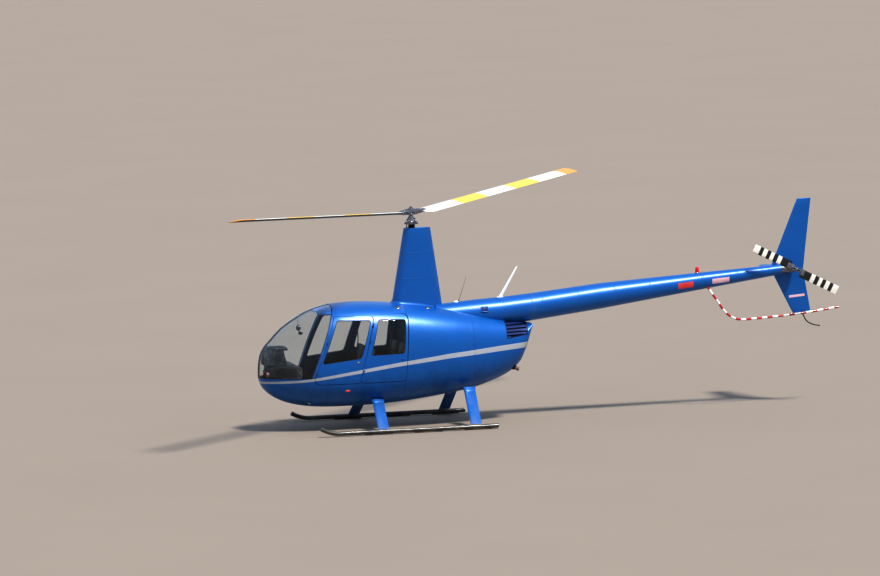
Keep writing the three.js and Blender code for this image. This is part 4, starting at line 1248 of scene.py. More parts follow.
@dataclass
class Skin:
    """The smooth skin through the stations, and the sheets that are cut from it.

    Stations are read against the root of their distance from the nose, which rounds the nose.
    """

    rows: int = 96
    columns: int = 112
    step: float = 0.004
    reaches: list[float] = field(default_factory=lambda: [math.sqrt(NOSE_X - s.x) for s in STATIONS])
    sheets: dict[float, bpy.types.Mesh] = field(default_factory=dict)
    sections: dict[float, Station] = field(default_factory=dict)

    def section(self, reach: float) -> Station:
        """The section at a reach, by a monotone cubic through the stations.

        Args:
            reach: The root of the distance from the nose.

        Returns:
            The section.
        """
        if reach in self.sections:
            return self.sections[reach]
        at = self.reaches
        last = len(at) - 1
        k = 0
        while k < last - 1 and at[k + 1] <= reach:
            k += 1
        h = at[k + 1] - at[k]
        u = min(1.0, (reach - at[k]) / h)
        values = []
        for column in zip(*STATIONS):
            slopes = [(b - a) / (q - p) for a, b, p, q in zip(column, column[1:], at, at[1:])]
            ends = []
            for i in (k, k + 1):
                a, b = slopes[max(i - 1, 0)], slopes[min(i, last - 1)]
                ends.append((2 * a * b / (a + b) if a * b > 0 else 0.0) * h)
            values.append(
                column[k] * (1 + 2 * u) * (1 - u) ** 2
                + ends[0] * u * (1 - u) ** 2
                + column[k + 1] * u * u * (3 - 2 * u)
                + ends[1] * u * u * (u - 1)
            )
        self.sections[reach] = Station(NOSE_X - reach * reach, *values[1:])
        return self.sections[reach]

    def point(self, reach: float, angle: float) -> Vector:
        """A point of the skin, by its reach and its angle from port over the top."""
        cut = self.section(reach)
        c, s = math.cos(angle), math.sin(angle)
        power = 2 / (cut.up if s > 0 else cut.low)
        height = cut.top - cut.wide if s > 0 else cut.wide - cut.bottom
        y = cut.half * math.copysign(abs(c) ** power, c)
        z = cut.wide + height * math.copysign(abs(s) ** power, s)
        return Vector((cut.x, y, z))

    def lifted(self, reach: float, angle: float, depth: float) -> Vector:
        """A point at a depth under the skin."""
        if reach < self.step:
            return Vector((NOSE_X - depth, 0, STATIONS[0].wide))
        along = self.point(reach + self.step, angle) - self.point(reach - self.step, angle)
        around = self.point(reach, angle + self.step) - self.point(reach, angle - self.step)
        return self.point(reach, angle) + around.cross(along).normalized() * depth

    def half_width(self, x: float, z: float) -> float:
        """How far the skin stands from the middle plane at a station and a height."""
        cut = self.section(math.sqrt(max(0.0, NOSE_X - x)))
        above = z > cut.wide
        height = cut.top - cut.wide if above else cut.wide - cut.bottom
        power = cut.up if above else cut.low
        share = min(1.0, abs((z - cut.wide) / height)) if height > 0 else 1.0
        return cut.half * (1 - share**power) ** (1 / power)

    def height(self, x: float, y: float, above: bool = True) -> float:
        """The height of the skin's top or underside at a station and a side distance."""
        cut = self.section(math.sqrt(max(0.0, NOSE_X - x)))
        power = cut.up if above else cut.low
        share = (1 - min(1.0, abs(y / cut.half)) ** power) ** (1 / power)
        return cut.wide + share * ((cut.top if above else cut.bottom) - cut.wide)

    def seat(self, x: float, z: float, lift: float = 0.0) -> Matrix:
        """Where something sits on the port side: Z outwards, X forward along the skin.

        Args:
            x: The station.
            z: The height.
            lift: How far outside the skin it is.

        Returns:
            Its place and turn.
        """
        e = self.step
        here = Vector((x, self.half_width(x, z), z))
        forward = Vector((x + e, self.half_width(x + e, z), z)) - here
        rise = Vector((x, self.half_width(x, z + e), z + e)) - here
        out = rise.cross(forward).normalized()
        if out.y < 0:
            out.negate()
        forward.normalize()
        rise = out.cross(forward)
        turn = Matrix((forward, rise, out)).transposed().to_4x4()
        return Matrix.Translation(here + out * lift) @ turn

    def sheet(self, depth: float = 0.0) -> bmesh.types.BMesh:
        """The whole skin at a depth, closed at both ends.

        Args:
            depth: How far under the skin it lies; negative is outside.

        Returns:
            A fresh copy of the sheet, facing outwards.
        """
        key = round(depth, 5)
        if key not in self.sheets:
            self.sheets[key] = self.laid(key)
        bm = empty_mesh()
        bm.from_mesh(self.sheets[key])
        return bm

    def laid(self, depth: float) -> bpy.types.Mesh:
        """Lays a grid over the skin at a depth."""
        bm = empty_mesh()
        bmesh.ops.create_grid(bm, x_segments=self.columns, y_segments=self.rows, size=1.0)
        far = math.sqrt(NOSE_X - TAIL_X - max(0.0, depth))
        for vert in bm.verts:
            angle = (vert.co.x + 1) * math.pi
            reach = (vert.co.y + 1) / 2 * far
            vert.co = self.lifted(reach, angle, depth)
        bmesh.ops.remove_doubles(bm, verts=bm.verts, dist=TINY)
        bmesh.ops.holes_fill(bm, edges=[e for e in bm.edges if e.is_boundary])
        bmesh.ops.recalc_face_normals(bm, faces=bm.faces)
        top = max(bm.faces, key=lambda f: f.calc_center_median().z)
        if top.normal.z < 0:
            bmesh.ops.reverse_faces(bm, faces=bm.faces)
        mesh = bpy.data.meshes.new("skin_sheet")
        bm.to_mesh(mesh)
        bm.free()
        return mesh

    def panel(
        self,
        keep: Outline,
        holes: Iterable[Outline] = (),
        depth: float = 0.0,
        low_y: float = -FAR,
        high_y: float = FAR,
    ) -> bmesh.types.BMesh:
        """Cuts a panel from the skin.

        Args:
            keep: The outline that it fills, seen from the side.
            holes: Outlines cut from it.
            depth: How far under the skin its face lies.
            low_y: The lowest Y that it reaches.
            high_y: The highest Y that it reaches.

        Returns:
            The panel, as an open sheet facing outwards.
        """
        bm = self.sheet(depth)
        if low_y > -FAR or high_y < FAR:
            slice_y(bm, low_y, high_y)
        xs, zs = [p[0] for p in keep], [p[1] for p in keep]
        for at, normal in (
            ((min(xs), 0, 0), (-1, 0, 0)),
            ((max(xs), 0, 0), (1, 0, 0)),
            ((0, 0, min(zs)), (0, 0, -1)),
            ((0, 0, max(zs)), (0, 0, 1)),
        ):
            bmesh.ops.bisect_plane(
                bm, geom=[
                    *bm.verts, *bm.edges, *bm.faces
                ], dist=TINY, plane_co=at, plane_no=normal, clear_outer=True
            )
        clip(bm, keep, Keep.INSIDE)
        for hole in holes:
            clip(bm, hole, Keep.OUTSIDE)
        loose = [v for v in bm.verts if not v.link_faces]
        bmesh.ops.delete(bm, geom=loose, context="VERTS")
        return bm

    def strip(
        self, outline: Outline, outer: float, inner: float, depth: float, low_y: float = 0.0
    ) -> bmesh.types.BMesh:
        """A strip of skin that follows an outline.

        Args:
            outline: The line that it follows.
            outer: How far outside the line it reaches.
            inner: How far inside the line it reaches.
            depth: How far under the skin its face lies.
            low_y: The lowest Y that it reaches.

        Returns:
            The strip, as an open sheet.
        """
        return self.panel(grown(outline, outer), [grown(outline, -inner)], depth, low_y)

    def studs(
        self, places: Iterable[Point2], radius: float, height: float, lift: float = 0.0
    ) -> bmesh.types.BMesh:
        """Low fasteners standing on the port side.

        Args:
            places: Where they stand, as (x, z).
            radius: Their radius.
            height: Their height.
            lift: How far outside the skin their foot is.

        Returns:
            The fasteners.
        """
        bm = empty_mesh()
        for x, z in places:
            seat = self.seat(x, z, lift + height / 2)
            bmesh.ops.create_cone(
                bm, cap_ends=True, segments=8, radius1=radius, radius2=radius * 0.7, depth=height, matrix=seat
            )
        return bm


def spaced(points: Outline, gap: float, closed: bool = False) -> Outline:
    """Points set out evenly along a line.

    Args:
        points: The line's corners.
        gap: The wanted distance between two.
        closed: Whether the line returns to its start.

    Returns:
        The points.
    """
    line = [*points, points[0]] if closed else list(points)
    lengths = [math.dist(a, b) for a, b in zip(line, line[1:])]
    total = sum(lengths)
    count = max(1, round(total / gap))
    found: Outline = []
    for k in range(count if closed else count + 1):
        left = total * k / count
        i = 0
        while i < len(lengths) - 1 and left > lengths[i]:
            left -= lengths[i]
            i += 1
        u = left / lengths[i]
        found.append((mixed(line[i][0], line[i + 1][0], u), mixed(line[i][1], line[i + 1][1], u)))
    return found


# The fuselage


@dataclass(frozen=True)
class DoorShape:
    """A cabin door's seams and window, seen from the side.

    Corners are given from the front top corner by the rear to the front sill corner, and the relief draws the
    rear seam forward at the top, where the panel moves rearward as it starts to open.
    """

    name: str
    front_top: float
    front_sill: float
    rear_top: float
    rear_sill: float
    corners: tuple[float, float, float, float]
    relief: float
    window: tuple[Point2, Point2, Point2, Point2]
    latch: Point2
    top_z: float = 1.720
    sill_z: float = 0.720
    window_corner: float = 0.045

    def seam(self, top: float, sill: float, z: float) -> float:
        """The x of a seam at a height."""
        return sill + (z - self.sill_z) * (top - sill) / (self.top_z - self.sill_z)

    def outline(self, lift: float = 0.0, relief: float = 0.0) -> Outline:
        """The door's outline, down to a height above its sill."""
        sill = self.sill_z + lift
        corners = [
            (self.front_top, self.top_z),
            (self.rear_top + relief, self.top_z),
            (self.seam(self.rear_top, self.rear_sill, sill), sill),
            (self.seam(self.front_top, self.front_sill, sill), sill),
        ]
        return rounded(corners, self.corners)

    def pane(self, growth: float = 0.0) -> Outline:
        """The window's outline, moved outwards."""
        return rounded(grown(list(self.window), growth), [self.window_corner] * 4)


FRONT_DOOR = DoorShape(
    "front_door", 1.315, 1.695, 0.710, 0.985, (0, 0.090, 0, 0.150), 0.008,
    ((1.284, 1.672), (0.768, 1.652), (0.951, 1.098), (1.540, 1.034)), (1.000, 1.040),
)
REAR_DOOR = DoorShape(
    "rear_door", 0.710, 0.985, 0.187, 0.275, (0, 0.090, 0.060, 0.090), 0.014,
    ((0.660, 1.660), (0.238, 1.642), (0.289, 1.142), (0.799, 1.134)), (0.330, 1.060),
)
DOORS = (FRONT_DOOR, REAR_DOOR)


@dataclass
class Seams:
    """The lines where the fuselage's panels meet, seen from the side."""

    windshield_sill: float = 0.820
    post_top: Point2 = (1.362, 1.692)
    post_rake: float = 0.3796
    post_width: float = 0.030
    eaves: float = 1.723
    filler_z: float = 1.620
    filler_front: float = 1.000
    aft_top: float = 0.201
    aft_bottom: float = 0.289
    cowl_front: float = -0.810
    high: float = 2.400
    low: float = 0.100
    ahead: float = 2.700
    behind: float = -1.900
    header: tuple[Point2, ...] = (
        (1.345, 1.756), (1.500, 1.756), (1.535, 1.775), (1.560, 1.810), (1.560, 1.950), (1.280, 1.950)
    )
    door_gap: float = 0.0014
    panel_gap: float = 0.0012
    louvre: tuple[Point2, ...] = ((-1.340, 1.900), (-1.345, 1.250), (-1.700, 1.290), (-1.735, 1.900))

    def post(self, z: float) -> float:
        """The x of the windshield's rear edge at a height."""
        return self.post_top[0] + (self.post_top[1] - z) * self.post_rake

    def aft(self, z: float) -> float:
        """The x of the edge behind the rear doors at a height."""
        share = (z - self.windshield_sill) / (FRONT_DOOR.top_z - self.windshield_sill)
        return mixed(self.aft_bottom, self.aft_top, share)

    def windshield(self) -> Outline:
        """The windshield's outline."""
        sill = self.windshield_sill
        return [
            (self.post(sill), sill), (self.ahead, sill), (self.ahead, self.high),
            (self.post(self.high), self.high),
        ]

    def belly(self) -> Outline:
        """The lower hull's outline."""
        sill = self.windshield_sill
        return [
            (self.aft_bottom, self.low), (self.ahead, self.low), (self.ahead, sill), (self.aft_bottom, sill)
        ]

    def roof(self) -> Outline:
        """The roof's outline."""
        return [
            (self.aft(self.filler_z), self.filler_z),
            (self.filler_front, self.filler_z),
            (self.filler_front, self.eaves),
            (self.post(self.eaves), self.eaves),
            (self.post(self.high), self.high),
            (self.aft_top, self.high),
            (self.aft_top, FRONT_DOOR.top_z),
        ]

    def rear_hull(self) -> Outline:
        """The outline of the hull between the cabin and the cowls."""
        return [
            (self.aft_top, self.high),
            (self.aft_top, FRONT_DOOR.top_z),
            (self.aft_bottom, self.windshield_sill),
            (self.aft_bottom, self.low),
            (self.cowl_front, self.low),
            (self.cowl_front, self.high),
        ]

    def cowl(self) -> Outline:
        """The engine cowls' outline."""
        return [
            (self.cowl_front, self.low),
            (self.cowl_front, self.high),
            (self.behind, self.high),
            (self.behind, self.low),
        ]

    def cabin_side(self) -> Outline:
        """The outline round both doors."""
        return [
            (FRONT_DOOR.front_top, FRONT_DOOR.top_z),
            (REAR_DOOR.rear_top, REAR_DOOR.top_z),
            (REAR_DOOR.rear_sill, REAR_DOOR.sill_z),
            (FRONT_DOOR.front_sill, FRONT_DOOR.sill_z),
        ]


@dataclass
class Fuselage:
    """The hull panels, the glazing, the frames that the doors close on, and the engine cowls."""

    skin: Skin
    seams: Seams
    hull_wall: float = 0.018
    bow_half: float = 0.020
    bow_wall: float = 0.025
    glass_wall: float = 0.005
    frame_depth: float = 0.0303
    frame_wall: float = 0.0277
    stop_depth: float = 0.046
    stop_wall: float = 0.012
    frame_lap: float = 0.038
    opening_lap: float = 0.028
    frame_inner_y: float = 0.150
    slat_pitch: float = 0.050
    slat_count: int = 5
    slat_low: float = 1.262
    slat_half: float = 0.007
    slat_front: float = -1.350
    slat_rear: float = -1.740
    seam_half: float = 0.0008
    stud_gap: float = 0.075

    def openings(self) -> list[Outline]:
        """The holes that the doors close."""
        return [grown(door.outline(), self.seams.door_gap) for door in DOORS]

    def build(self) -> None:
        """Makes every piece of the fuselage."""
        self.hull()
        self.glazing()
        for side in Side:
            self.frames(side)
            self.cowl(side)
            self.louvre(side)
            self.fasteners(side)

    def hull(self) -> None:
        """The belly, the roof and the hull behind the cabin."""
        s = self.seams
        # The rear hull's inner face is painted with the bay's shade.
        for name, outline, node, inside in (
            ("belly", s.belly(), "lower_hull", LINER),
            ("roof", s.roof(), "roof_panel", LINER),
            ("rear_hull", s.rear_hull(), "aft_hull", BAY_SHADE),
        ):
            sheet = self.skin.panel(grown(outline, -s.panel_gap), self.openings())
            piece(name, sheet, BODY_PAINT, inside, replaces=[node], wall=self.hull_wall, inner=1)

    def glazing(self) -> None:
        """The windshield's two panes, the bow between them and the seals round them."""
        s = self.seams
        outline = grown(s.windshield(), -s.panel_gap)
        bow = self.skin.panel(outline, depth=-0.003, low_y=-self.bow_half, high_y=self.bow_half)
        piece(
            "windshield_bow_cap", bow, BOW_PAINT, BOW_PAINT, replaces=["windshield_bow"], wall=self.bow_wall,
            inner=1,
        )
        header = self.skin.panel(list(s.header), depth=self.glass_wall + 0.0015)
        piece("roof_header", header, PLAIN_PAINT, LINER, wall=0.020, inner=1)
        for side in Side:
            low = self.bow_half + 0.0006
            side_piece(
                side, "windshield_pane", self.skin.panel(outline, low_y=low), PANE, replaces=["windshield"],
                slot="glass_clear", wall=self.glass_wall,
            )
            seal = self.skin.panel(
                grown(s.windshield(), 0.0015), [grown(s.windshield(), -0.006)], -0.0016, 0.0
            )
            side_piece(
                side, "windshield_seal", seal, SEAL_RUBBER, slot="cabin_trim", wall=0.004
            )

    def frames(self, side: Side) -> None:
        """The post behind the windshield, the frame round the doors and the stops that they close on.

        Args:
            side: The side of the aircraft.
        """
        s = self.seams
        sill, eaves = s.windshield_sill, s.eaves
        post = [
            (s.post(sill), sill), (s.post(eaves), eaves), (s.post(eaves) - s.post_width, eaves),
            (s.post(sill) - s.post_width, sill),
        ]
        strip = self.skin.panel(grown(post, -HAIR), low_y=0.0)
        made = side_piece(side, "front_post", strip, PLAIN_PAINT, BOW_PAINT, wall=0.014, inner=1)
        made.modifiers["Wall"].material_offset_rim = 1
        inside = self.skin.panel(grown(post, -HAIR), depth=0.0144, low_y=0.0)
        side_piece(side, "front_post_core", inside, BOW_PAINT, wall=0.030)
        surround = self.skin.panel(
            grown(s.cabin_side(), self.frame_lap), self.openings(), self.frame_depth, self.frame_inner_y
        )
        side_piece(
            side, "door_surround", surround, PLAIN_PAINT, LINER,
            replaces=["cabin_frame"], wall=self.frame_wall, inner=1,
        )
        stops, seals = empty_mesh(), empty_mesh()
        for door in DOORS:
            lap = grown(door.outline(), -self.opening_lap)
            edge = grown(door.outline(), s.door_gap)
            merge(stops, self.skin.panel(edge, [lap], self.stop_depth, self.frame_inner_y))
            merge(seals, self.skin.strip(door.outline(), -0.012, 0.024, 0.032, self.frame_inner_y))
        side_piece(side, "door_stops", stops, PLAIN_PAINT, LINER, wall=self.stop_wall, inner=1)
        side_piece(side, "door_seals", seals, SEAL_RUBBER, slot="cabin_trim", wall=0.012)

    def cowl(self, side: Side) -> None:
        """The engine cowl of one side.

        Args:
            side: The side of the aircraft.
        """
        s = self.seams
        sheet = self.skin.panel(grown(s.cowl(), -s.panel_gap), [list(s.louvre)], low_y=self.seam_half)
        # Its inner face is painted with the bay's shade.
        side_piece(
            side, "cowl", sheet, BODY_PAINT, BAY_SHADE, replaces=["engine_cowl"],
            wall=self.hull_wall, inner=1,
        )

    def louvre(self, side: Side) -> None:
        """The grille beside the engine: a tray painted as the shade behind it, a frame, and slats tipped down
        across it.

        Args:
            side: The side of the aircraft.
        """
        outline = grown(list(self.seams.louvre), -0.0006)
        tray = self.skin.panel(outline, depth=0.021, low_y=self.seam_half)
        rim = self.skin.panel(outline, [grown(outline, -0.014)], 0.002, self.seam_half)
        # The tray is painted shade: a near-black sheet where the engine bay would show through.
        side_piece(side, "grille_tray", tray, BAY_SHADE, slot="louvre_dark", wall=0.003)
        side_piece(
            side, "grille_rim", rim, LOUVRE_PAINT, replaces=["louvre"], slot="louvre_dark", wall=0.018,
        )
        slats = empty_mesh()
        for k in range(self.slat_count):
            z = self.slat_low + k * self.slat_pitch
            low, high = z - self.slat_half, z + self.slat_half
            band = [
                (self.slat_front, high), (self.slat_front, low), (self.slat_rear, low), (self.slat_rear, high)
            ]
            slat = self.skin.panel(band, depth=0.004, low_y=self.seam_half)
            clip(slat, grown(outline, -0.010), Keep.INSIDE)
            ridge = bmesh.ops.extrude_face_region(slat, geom=list(slat.faces))
            moved = [v for v in ridge["geom"] if isinstance(v, bmesh.types.BMVert)]
            bmesh.ops.translate(slat, vec=(0, -0.015, 0.016), verts=moved)
            bmesh.ops.recalc_face_normals(slat, faces=slat.faces)
            merge(slats, slat)
        side_piece(side, "grille_slats", slats, LOUVRE_PAINT, slot="louvre_dark")

    def fasteners(self, side: Side) -> None:
        """The rows of fasteners along the cowl's front edge, the roof's edge and the belly.

        Args:
            side: The side of the aircraft.
        """
        s = self.seams
        rows = [
            [(s.cowl_front - 0.018, 1.52), (s.cowl_front - 0.018, 0.62)],
            [(s.cowl_front + 0.018, 1.52), (s.cowl_front + 0.018, 0.62)],
            [(0.165, 1.60), (0.24, 0.90)],
            [(s.post(1.73) - 0.05, 1.742), (0.24, 1.742)],
            [(1.60, 0.690), (0.32, 0.690)],
        ]
        places = [place for row in rows for place in spaced(row, self.stud_gap)]
        studs = self.skin.studs(places, 0.0045, 0.0016, 0.0)
        side_piece(side, "hull_fasteners", studs, PLAIN_PAINT)


# Doors


@dataclass
class Hinges:
    """Two hinges to a door, set back from its front seam and proud of the skin.

    Each is laid out along the hinge line, with X forward, Y outward and Z up the line.
    """

    skin: Skin
    heights: Point2 = (0.900, 1.350)
    proud: float = 0.013
    setback: float = 0.010
    radius: float = 0.008
    length: float = 0.022
    half_gap: float = 0.00015
    running: float = 0.0053
    arm_rear: float = -0.008
    arm_front: float = 0.007
    arm_root: float = -0.067
    foot_front: float = 0.003
    leaf_rear: float = -0.022
    leaf_thick: float = 0.005
    leaf_root: float = -0.0255
    notch_below: float = 0.006
    notch_ahead: float = 0.090

    def frames(self, door: DoorShape) -> list[Matrix]:
        """Where a door's hinges are, from the lower one.

        Args:
            door: The door.

        Returns:
            The place and turn of each.
        """
        points = []
        for z in self.heights:
            x = door.seam(door.front_top, door.front_sill, z) - self.setback
            points.append(Vector((x, self.skin.half_width(x, z) + self.proud, z)))
        line = (points[1] - points[0]).normalized()
        out = Vector((0, 1, 0))
        out = (out - line * out.dot(line)).normalized()
        forward = out.cross(line)
        turn = Matrix((forward, out, line)).transposed().to_4x4()
        return [Matrix.Translation(point) @ turn for point in points]

    def fixed(self, door: DoorShape) -> bmesh.types.BMesh:
        """The halves that stay on the frame."""
        made = empty_mesh()
        low, high = -self.half_gap - self.length, -self.half_gap
        for place in self.frames(door):
            part = rod((0, 0, low), (0, 0, high), self.radius, 24, soft=0.0008)
            merge(part, rod((0, 0, low - 0.003), (0, 0, low + 0.001), 0.0055, 12, soft=0.0006))
            corner = (self.arm_front, 0.0, high - self.running + self.half_gap)
            merge(part, block((self.arm_rear, self.arm_root, low), corner, 0.0012))
            put_at(part, place)
            merge(made, part)
        return made

    def swinging(self, door: DoorShape) -> bmesh.types.BMesh:
        """The halves that ride on the door."""
        made = empty_mesh()
        low, high = self.half_gap, self.half_gap + self.length
        foot = low + self.running
        for place in self.frames(door):
            part = rod((0, 0, low), (0, 0, high), self.radius, 24, soft=0.0008)
            merge(part, rod((0, 0, high - 0.001), (0, 0, high + 0.003), 0.0055, 12, soft=0.0006))
            merge(part, block((self.arm_rear, self.leaf_root, foot), (self.foot_front, 0.0, high), 0.0008))
            face = -self.proud + self.leaf_thick
            merge(part, block((self.leaf_rear, self.leaf_root, foot), (0.0, face, high), 0.0012))
            put_at(part, place)
            merge(made, part)
        return made

    def notches(self, door: DoorShape) -> list[Outline]:
        """The cut-outs in the door for the fixed arms, seen from the side."""
        found = []
        low = -self.half_gap - self.length - self.notch_below
        for place in self.frames(door):
            corners = [
                (self.arm_rear - self.running, low), (self.notch_ahead, low), (self.notch_ahead, 0.0),
                (self.arm_rear - self.running, 0.0),
            ]
            points = [place @ Vector((x, -self.proud, z)) for x, z in corners]
            found.append([(p.x, p.z) for p in points])
        return found


@dataclass
class CabinDoors:
    """The four doors, each with its window, seals, hinges, latch and lining."""

    skin: Skin
    seams: Seams
    hinges: Hinges
    wall: float = 0.025
    sill_lift: float = 0.006
    glass_depth: float = 0.006
    glass_wall: float = 0.005

    def build(self) -> None:
        """Makes the doors of both sides."""
        for side in Side:
            for door in DOORS:
                self.door(door, side)
        for side in Side:
            fixed = merge(self.hinges.fixed(FRONT_DOOR), self.hinges.fixed(REAR_DOOR))
            side_piece(side, "hinge_arms", fixed, PLAIN_PAINT)

    def door(self, door: DoorShape, side: Side) -> None:
        """One door.

        Args:
            door: Its shape.
            side: The side of the aircraft.
        """
        body = f"{door.name}_{side.label}_leaf"
        outline = grown(door.outline(self.sill_lift, door.relief), -self.seams.door_gap)
        holes = [door.pane(), *self.hinges.notches(door)]
        panel = self.skin.panel(outline, holes, low_y=0.0)
        side_piece(
            side, f"{door.name}_skin", panel, BODY_PAINT, LINER, body=body, replaces=[door.name],
            wall=self.wall, inner=1,
        )
        pane = self.skin.panel(door.pane(-HAIR), depth=self.glass_depth, low_y=0.0)
        side_piece(
            side, f"{door.name}_pane", pane, PANE, body=body,
            replaces=[f"{door.name}_window"], slot="glass_clear", wall=self.glass_wall,
        )
        seal = self.skin.panel(grown(door.pane(), 0.0015), [grown(door.pane(), -0.006)], -0.0012, 0.0)
        side_piece(
            side, f"{door.name}_pane_seal", seal, SEAL_RUBBER, body=body, slot="cabin_trim", wall=0.007
        )
        hinge = self.hinges.swinging(door)
        side_piece(side, f"{door.name}_hinge_leaves", hinge, PLAIN_PAINT, body=body)
        metal = BRIGHT_METAL if door is FRONT_DOOR else PLAIN_PAINT
        side_piece(side, f"{door.name}_latch", self.latch(door), metal, body=body, slot="rotor_metal")
        side_piece(side, f"{door.name}_pull", self.pull(door), CONSOLE, body=body, slot="cabin_trim")

    def latch(self, door: DoorShape) -> bmesh.types.BMesh:
        """The outer latch: a round plate, a turned boss and a short lever."""
        seat = self.skin.seat(*door.latch)
        made = rod((0, 0, -0.002), (0, 0, 0.003), 0.017, 28, soft=0.001)
        merge(made, rod((0, 0, 0.002), (0, 0, 0.009), 0.009, 20, far=0.008, soft=0.001))
        lever = block((-0.028, -0.006, 0.005), (0.010, 0.006, 0.010), 0.002)
        merge(made, lever)
        put_at(made, seat)
        return made

    def pull(self, door: DoorShape) -> bmesh.types.BMesh:
        """The pull handle and the latch lever on the door's lining."""
        x, z = door.latch
        seat = self.skin.seat(x + 0.16, z - 0.10, -self.wall)
        bends = ((-0.075, 0.002), (-0.066, -0.026), (0.0, -0.034), (0.066, -0.026), (0.075, 0.002))
        made = tube(smooth_path([(reach, 0, h) for reach, h in bends], 5), 0.008, 12)
        for reach in (-0.090, 0.058):
            merge(made, block((reach, -0.014, -0.004), (reach + 0.032, 0.014, 0.002), 0.002))
        put_at(made, seat)
        return made


# Mast, boom and tail


class Round(NamedTuple):
    """A round section of the boom: its station, the height of its axis and its radius."""

    x: float
    z: float
    r: float


def along(rows: Sequence[NamedTuple], steps: int) -> list[NamedTuple]:
    """Adds evenly spaced rows between the rows of a table.

    Args:
        rows: The table.
        steps: Steps between two rows.

    Returns:
        The finer table.
    """
    fine = []
    for a, b in zip(rows, rows[1:]):
        for k in range(steps):
            fine.append(type(a)(*(mixed(p, q, k / steps) for p, q in zip(a, b))))
    return [*fine, rows[-1]]


class Teardrop(NamedTuple):
    """A section of the mast fairing: its height, its front and rear ends and its half width."""

    z: float
    front: float
    rear: float
    half: float

    def points(self, growth: float = 0.0, turns: int = 14, taper: int = 12) -> list[Point2]:
        """The outline as (x, y): round in front, pointed behind.

        Args:
            growth: How far it is moved outwards.
            turns: Steps round the front.
            taper: Steps along each side.

        Returns:
            The points, in order.
        """
        nose = self.front - self.half
        wide = self.half + growth
        angles = [-math.pi / 2 + math.pi * k / turns for k in range(turns + 1)]
        front = [(nose + wide * math.cos(a), wide * math.sin(a)) for a in angles]
        shares = [k / taper for k in range(1, taper)]
        port = [(mixed(nose, self.rear, u), wide * (1 - u**2)) for u in shares]
        starboard = [(x, -y) for x, y in reversed(port)]
        return [*front, *port, (self.rear - growth, 0.0), *starboard]


@dataclass
class MastFairing:
    """The tall teardrop fairing round the mast, with a skirt that follows the roof."""

    skin: Skin
    rows: tuple[Teardrop, ...] = (
        Teardrop(1.640, 0.350, -0.450, 0.150),
        Teardrop(1.842, 0.326, -0.434, 0.130),
        Teardrop(2.960, 0.119, -0.288, 0.095),
    )
    lip: float = 0.010

    def build(self) -> None:
        """Makes the fairing, its skirt and its seams."""
        fine = along(self.rows, 10)
        rings = [[Vector((x, y, row.z)) for x, y in row.points()] for row in fine[:-1]]
        last = fine[-1]
        for drop, growth in ((self.lip, 0.0), (0.003, -0.0012), (0.0, -0.005)):
            rings.append([Vector((x, y, last.z - drop)) for x, y in last.points(growth)])
        piece("mast_fairing_shell", loft(rings), PLAIN_PAINT, replaces=["mast_fairing"])
        self.skirt()
        self.joint()

    def skirt(self) -> None:
        """The skirt that closes the fairing on the roof."""
        row = self.rows[1]
        rings = []
        for growth, lift in (
            (0.034, -0.004), (0.034, 0.003), (0.020, 0.007), (0.006, 0.024), (0.0015, 0.040), (-0.004, 0.040)
        ):
            ring_points = []
            for x, y in row.points(growth):
                ring_points.append(Vector((x, y, self.skin.height(x, y) + lift)))
            rings.append(ring_points)
        piece("mast_skirt", loft(rings, caps=False), PLAIN_PAINT)
        studs = empty_mesh()
        for x, y in row.points(0.028, 8, 6):
            z = self.skin.height(x, y) + 0.0062
            merge(studs, rod((x, y, z - 0.002), (x, y, z + 0.0012), 0.0042, 8, far=0.003))
        piece("mast_skirt_fasteners", studs, BRIGHT_METAL, slot="rotor_metal")

    def joint(self) -> None:
        """The seam bands and the fasteners down the trailing edge."""
        bands = empty_mesh()
        for z in (2.20, 2.58):
            share = (z - self.rows[1].z) / (self.rows[2].z - self.rows[1].z)
            row = Teardrop(*(mixed(a, b, share) for a, b in zip(self.rows[1], self.rows[2])))
            rings = []
            for growth, rise in ((0.0002, -0.014), (0.0010, -0.012), (0.0010, 0.012), (0.0002, 0.014)):
                rings.append([Vector((x, y, z + rise)) for x, y in row.points(growth)])
            merge(bands, loft(rings, caps=False))
        piece("mast_seam_bands", bands, PLAIN_PAINT)
        studs = empty_mesh()
        for k in range(15):
            share = (k + 0.5) / 15
            row = Teardrop(*(mixed(a, b, share) for a, b in zip(self.rows[1], self.rows[2])))
            for side in Side:
                x = mixed(row.front - row.half, row.rear, 0.86)
                y = side.value * row.half * (1 - 0.86**2)
                root, head = y - side.value * 0.002, y + side.value * 0.0014
                merge(studs, rod((x, root, row.z), (x, head, row.z), 0.0042, 8, far=0.003))
        piece("mast_rear_fasteners", studs, BRIGHT_METAL, slot="rotor_metal")


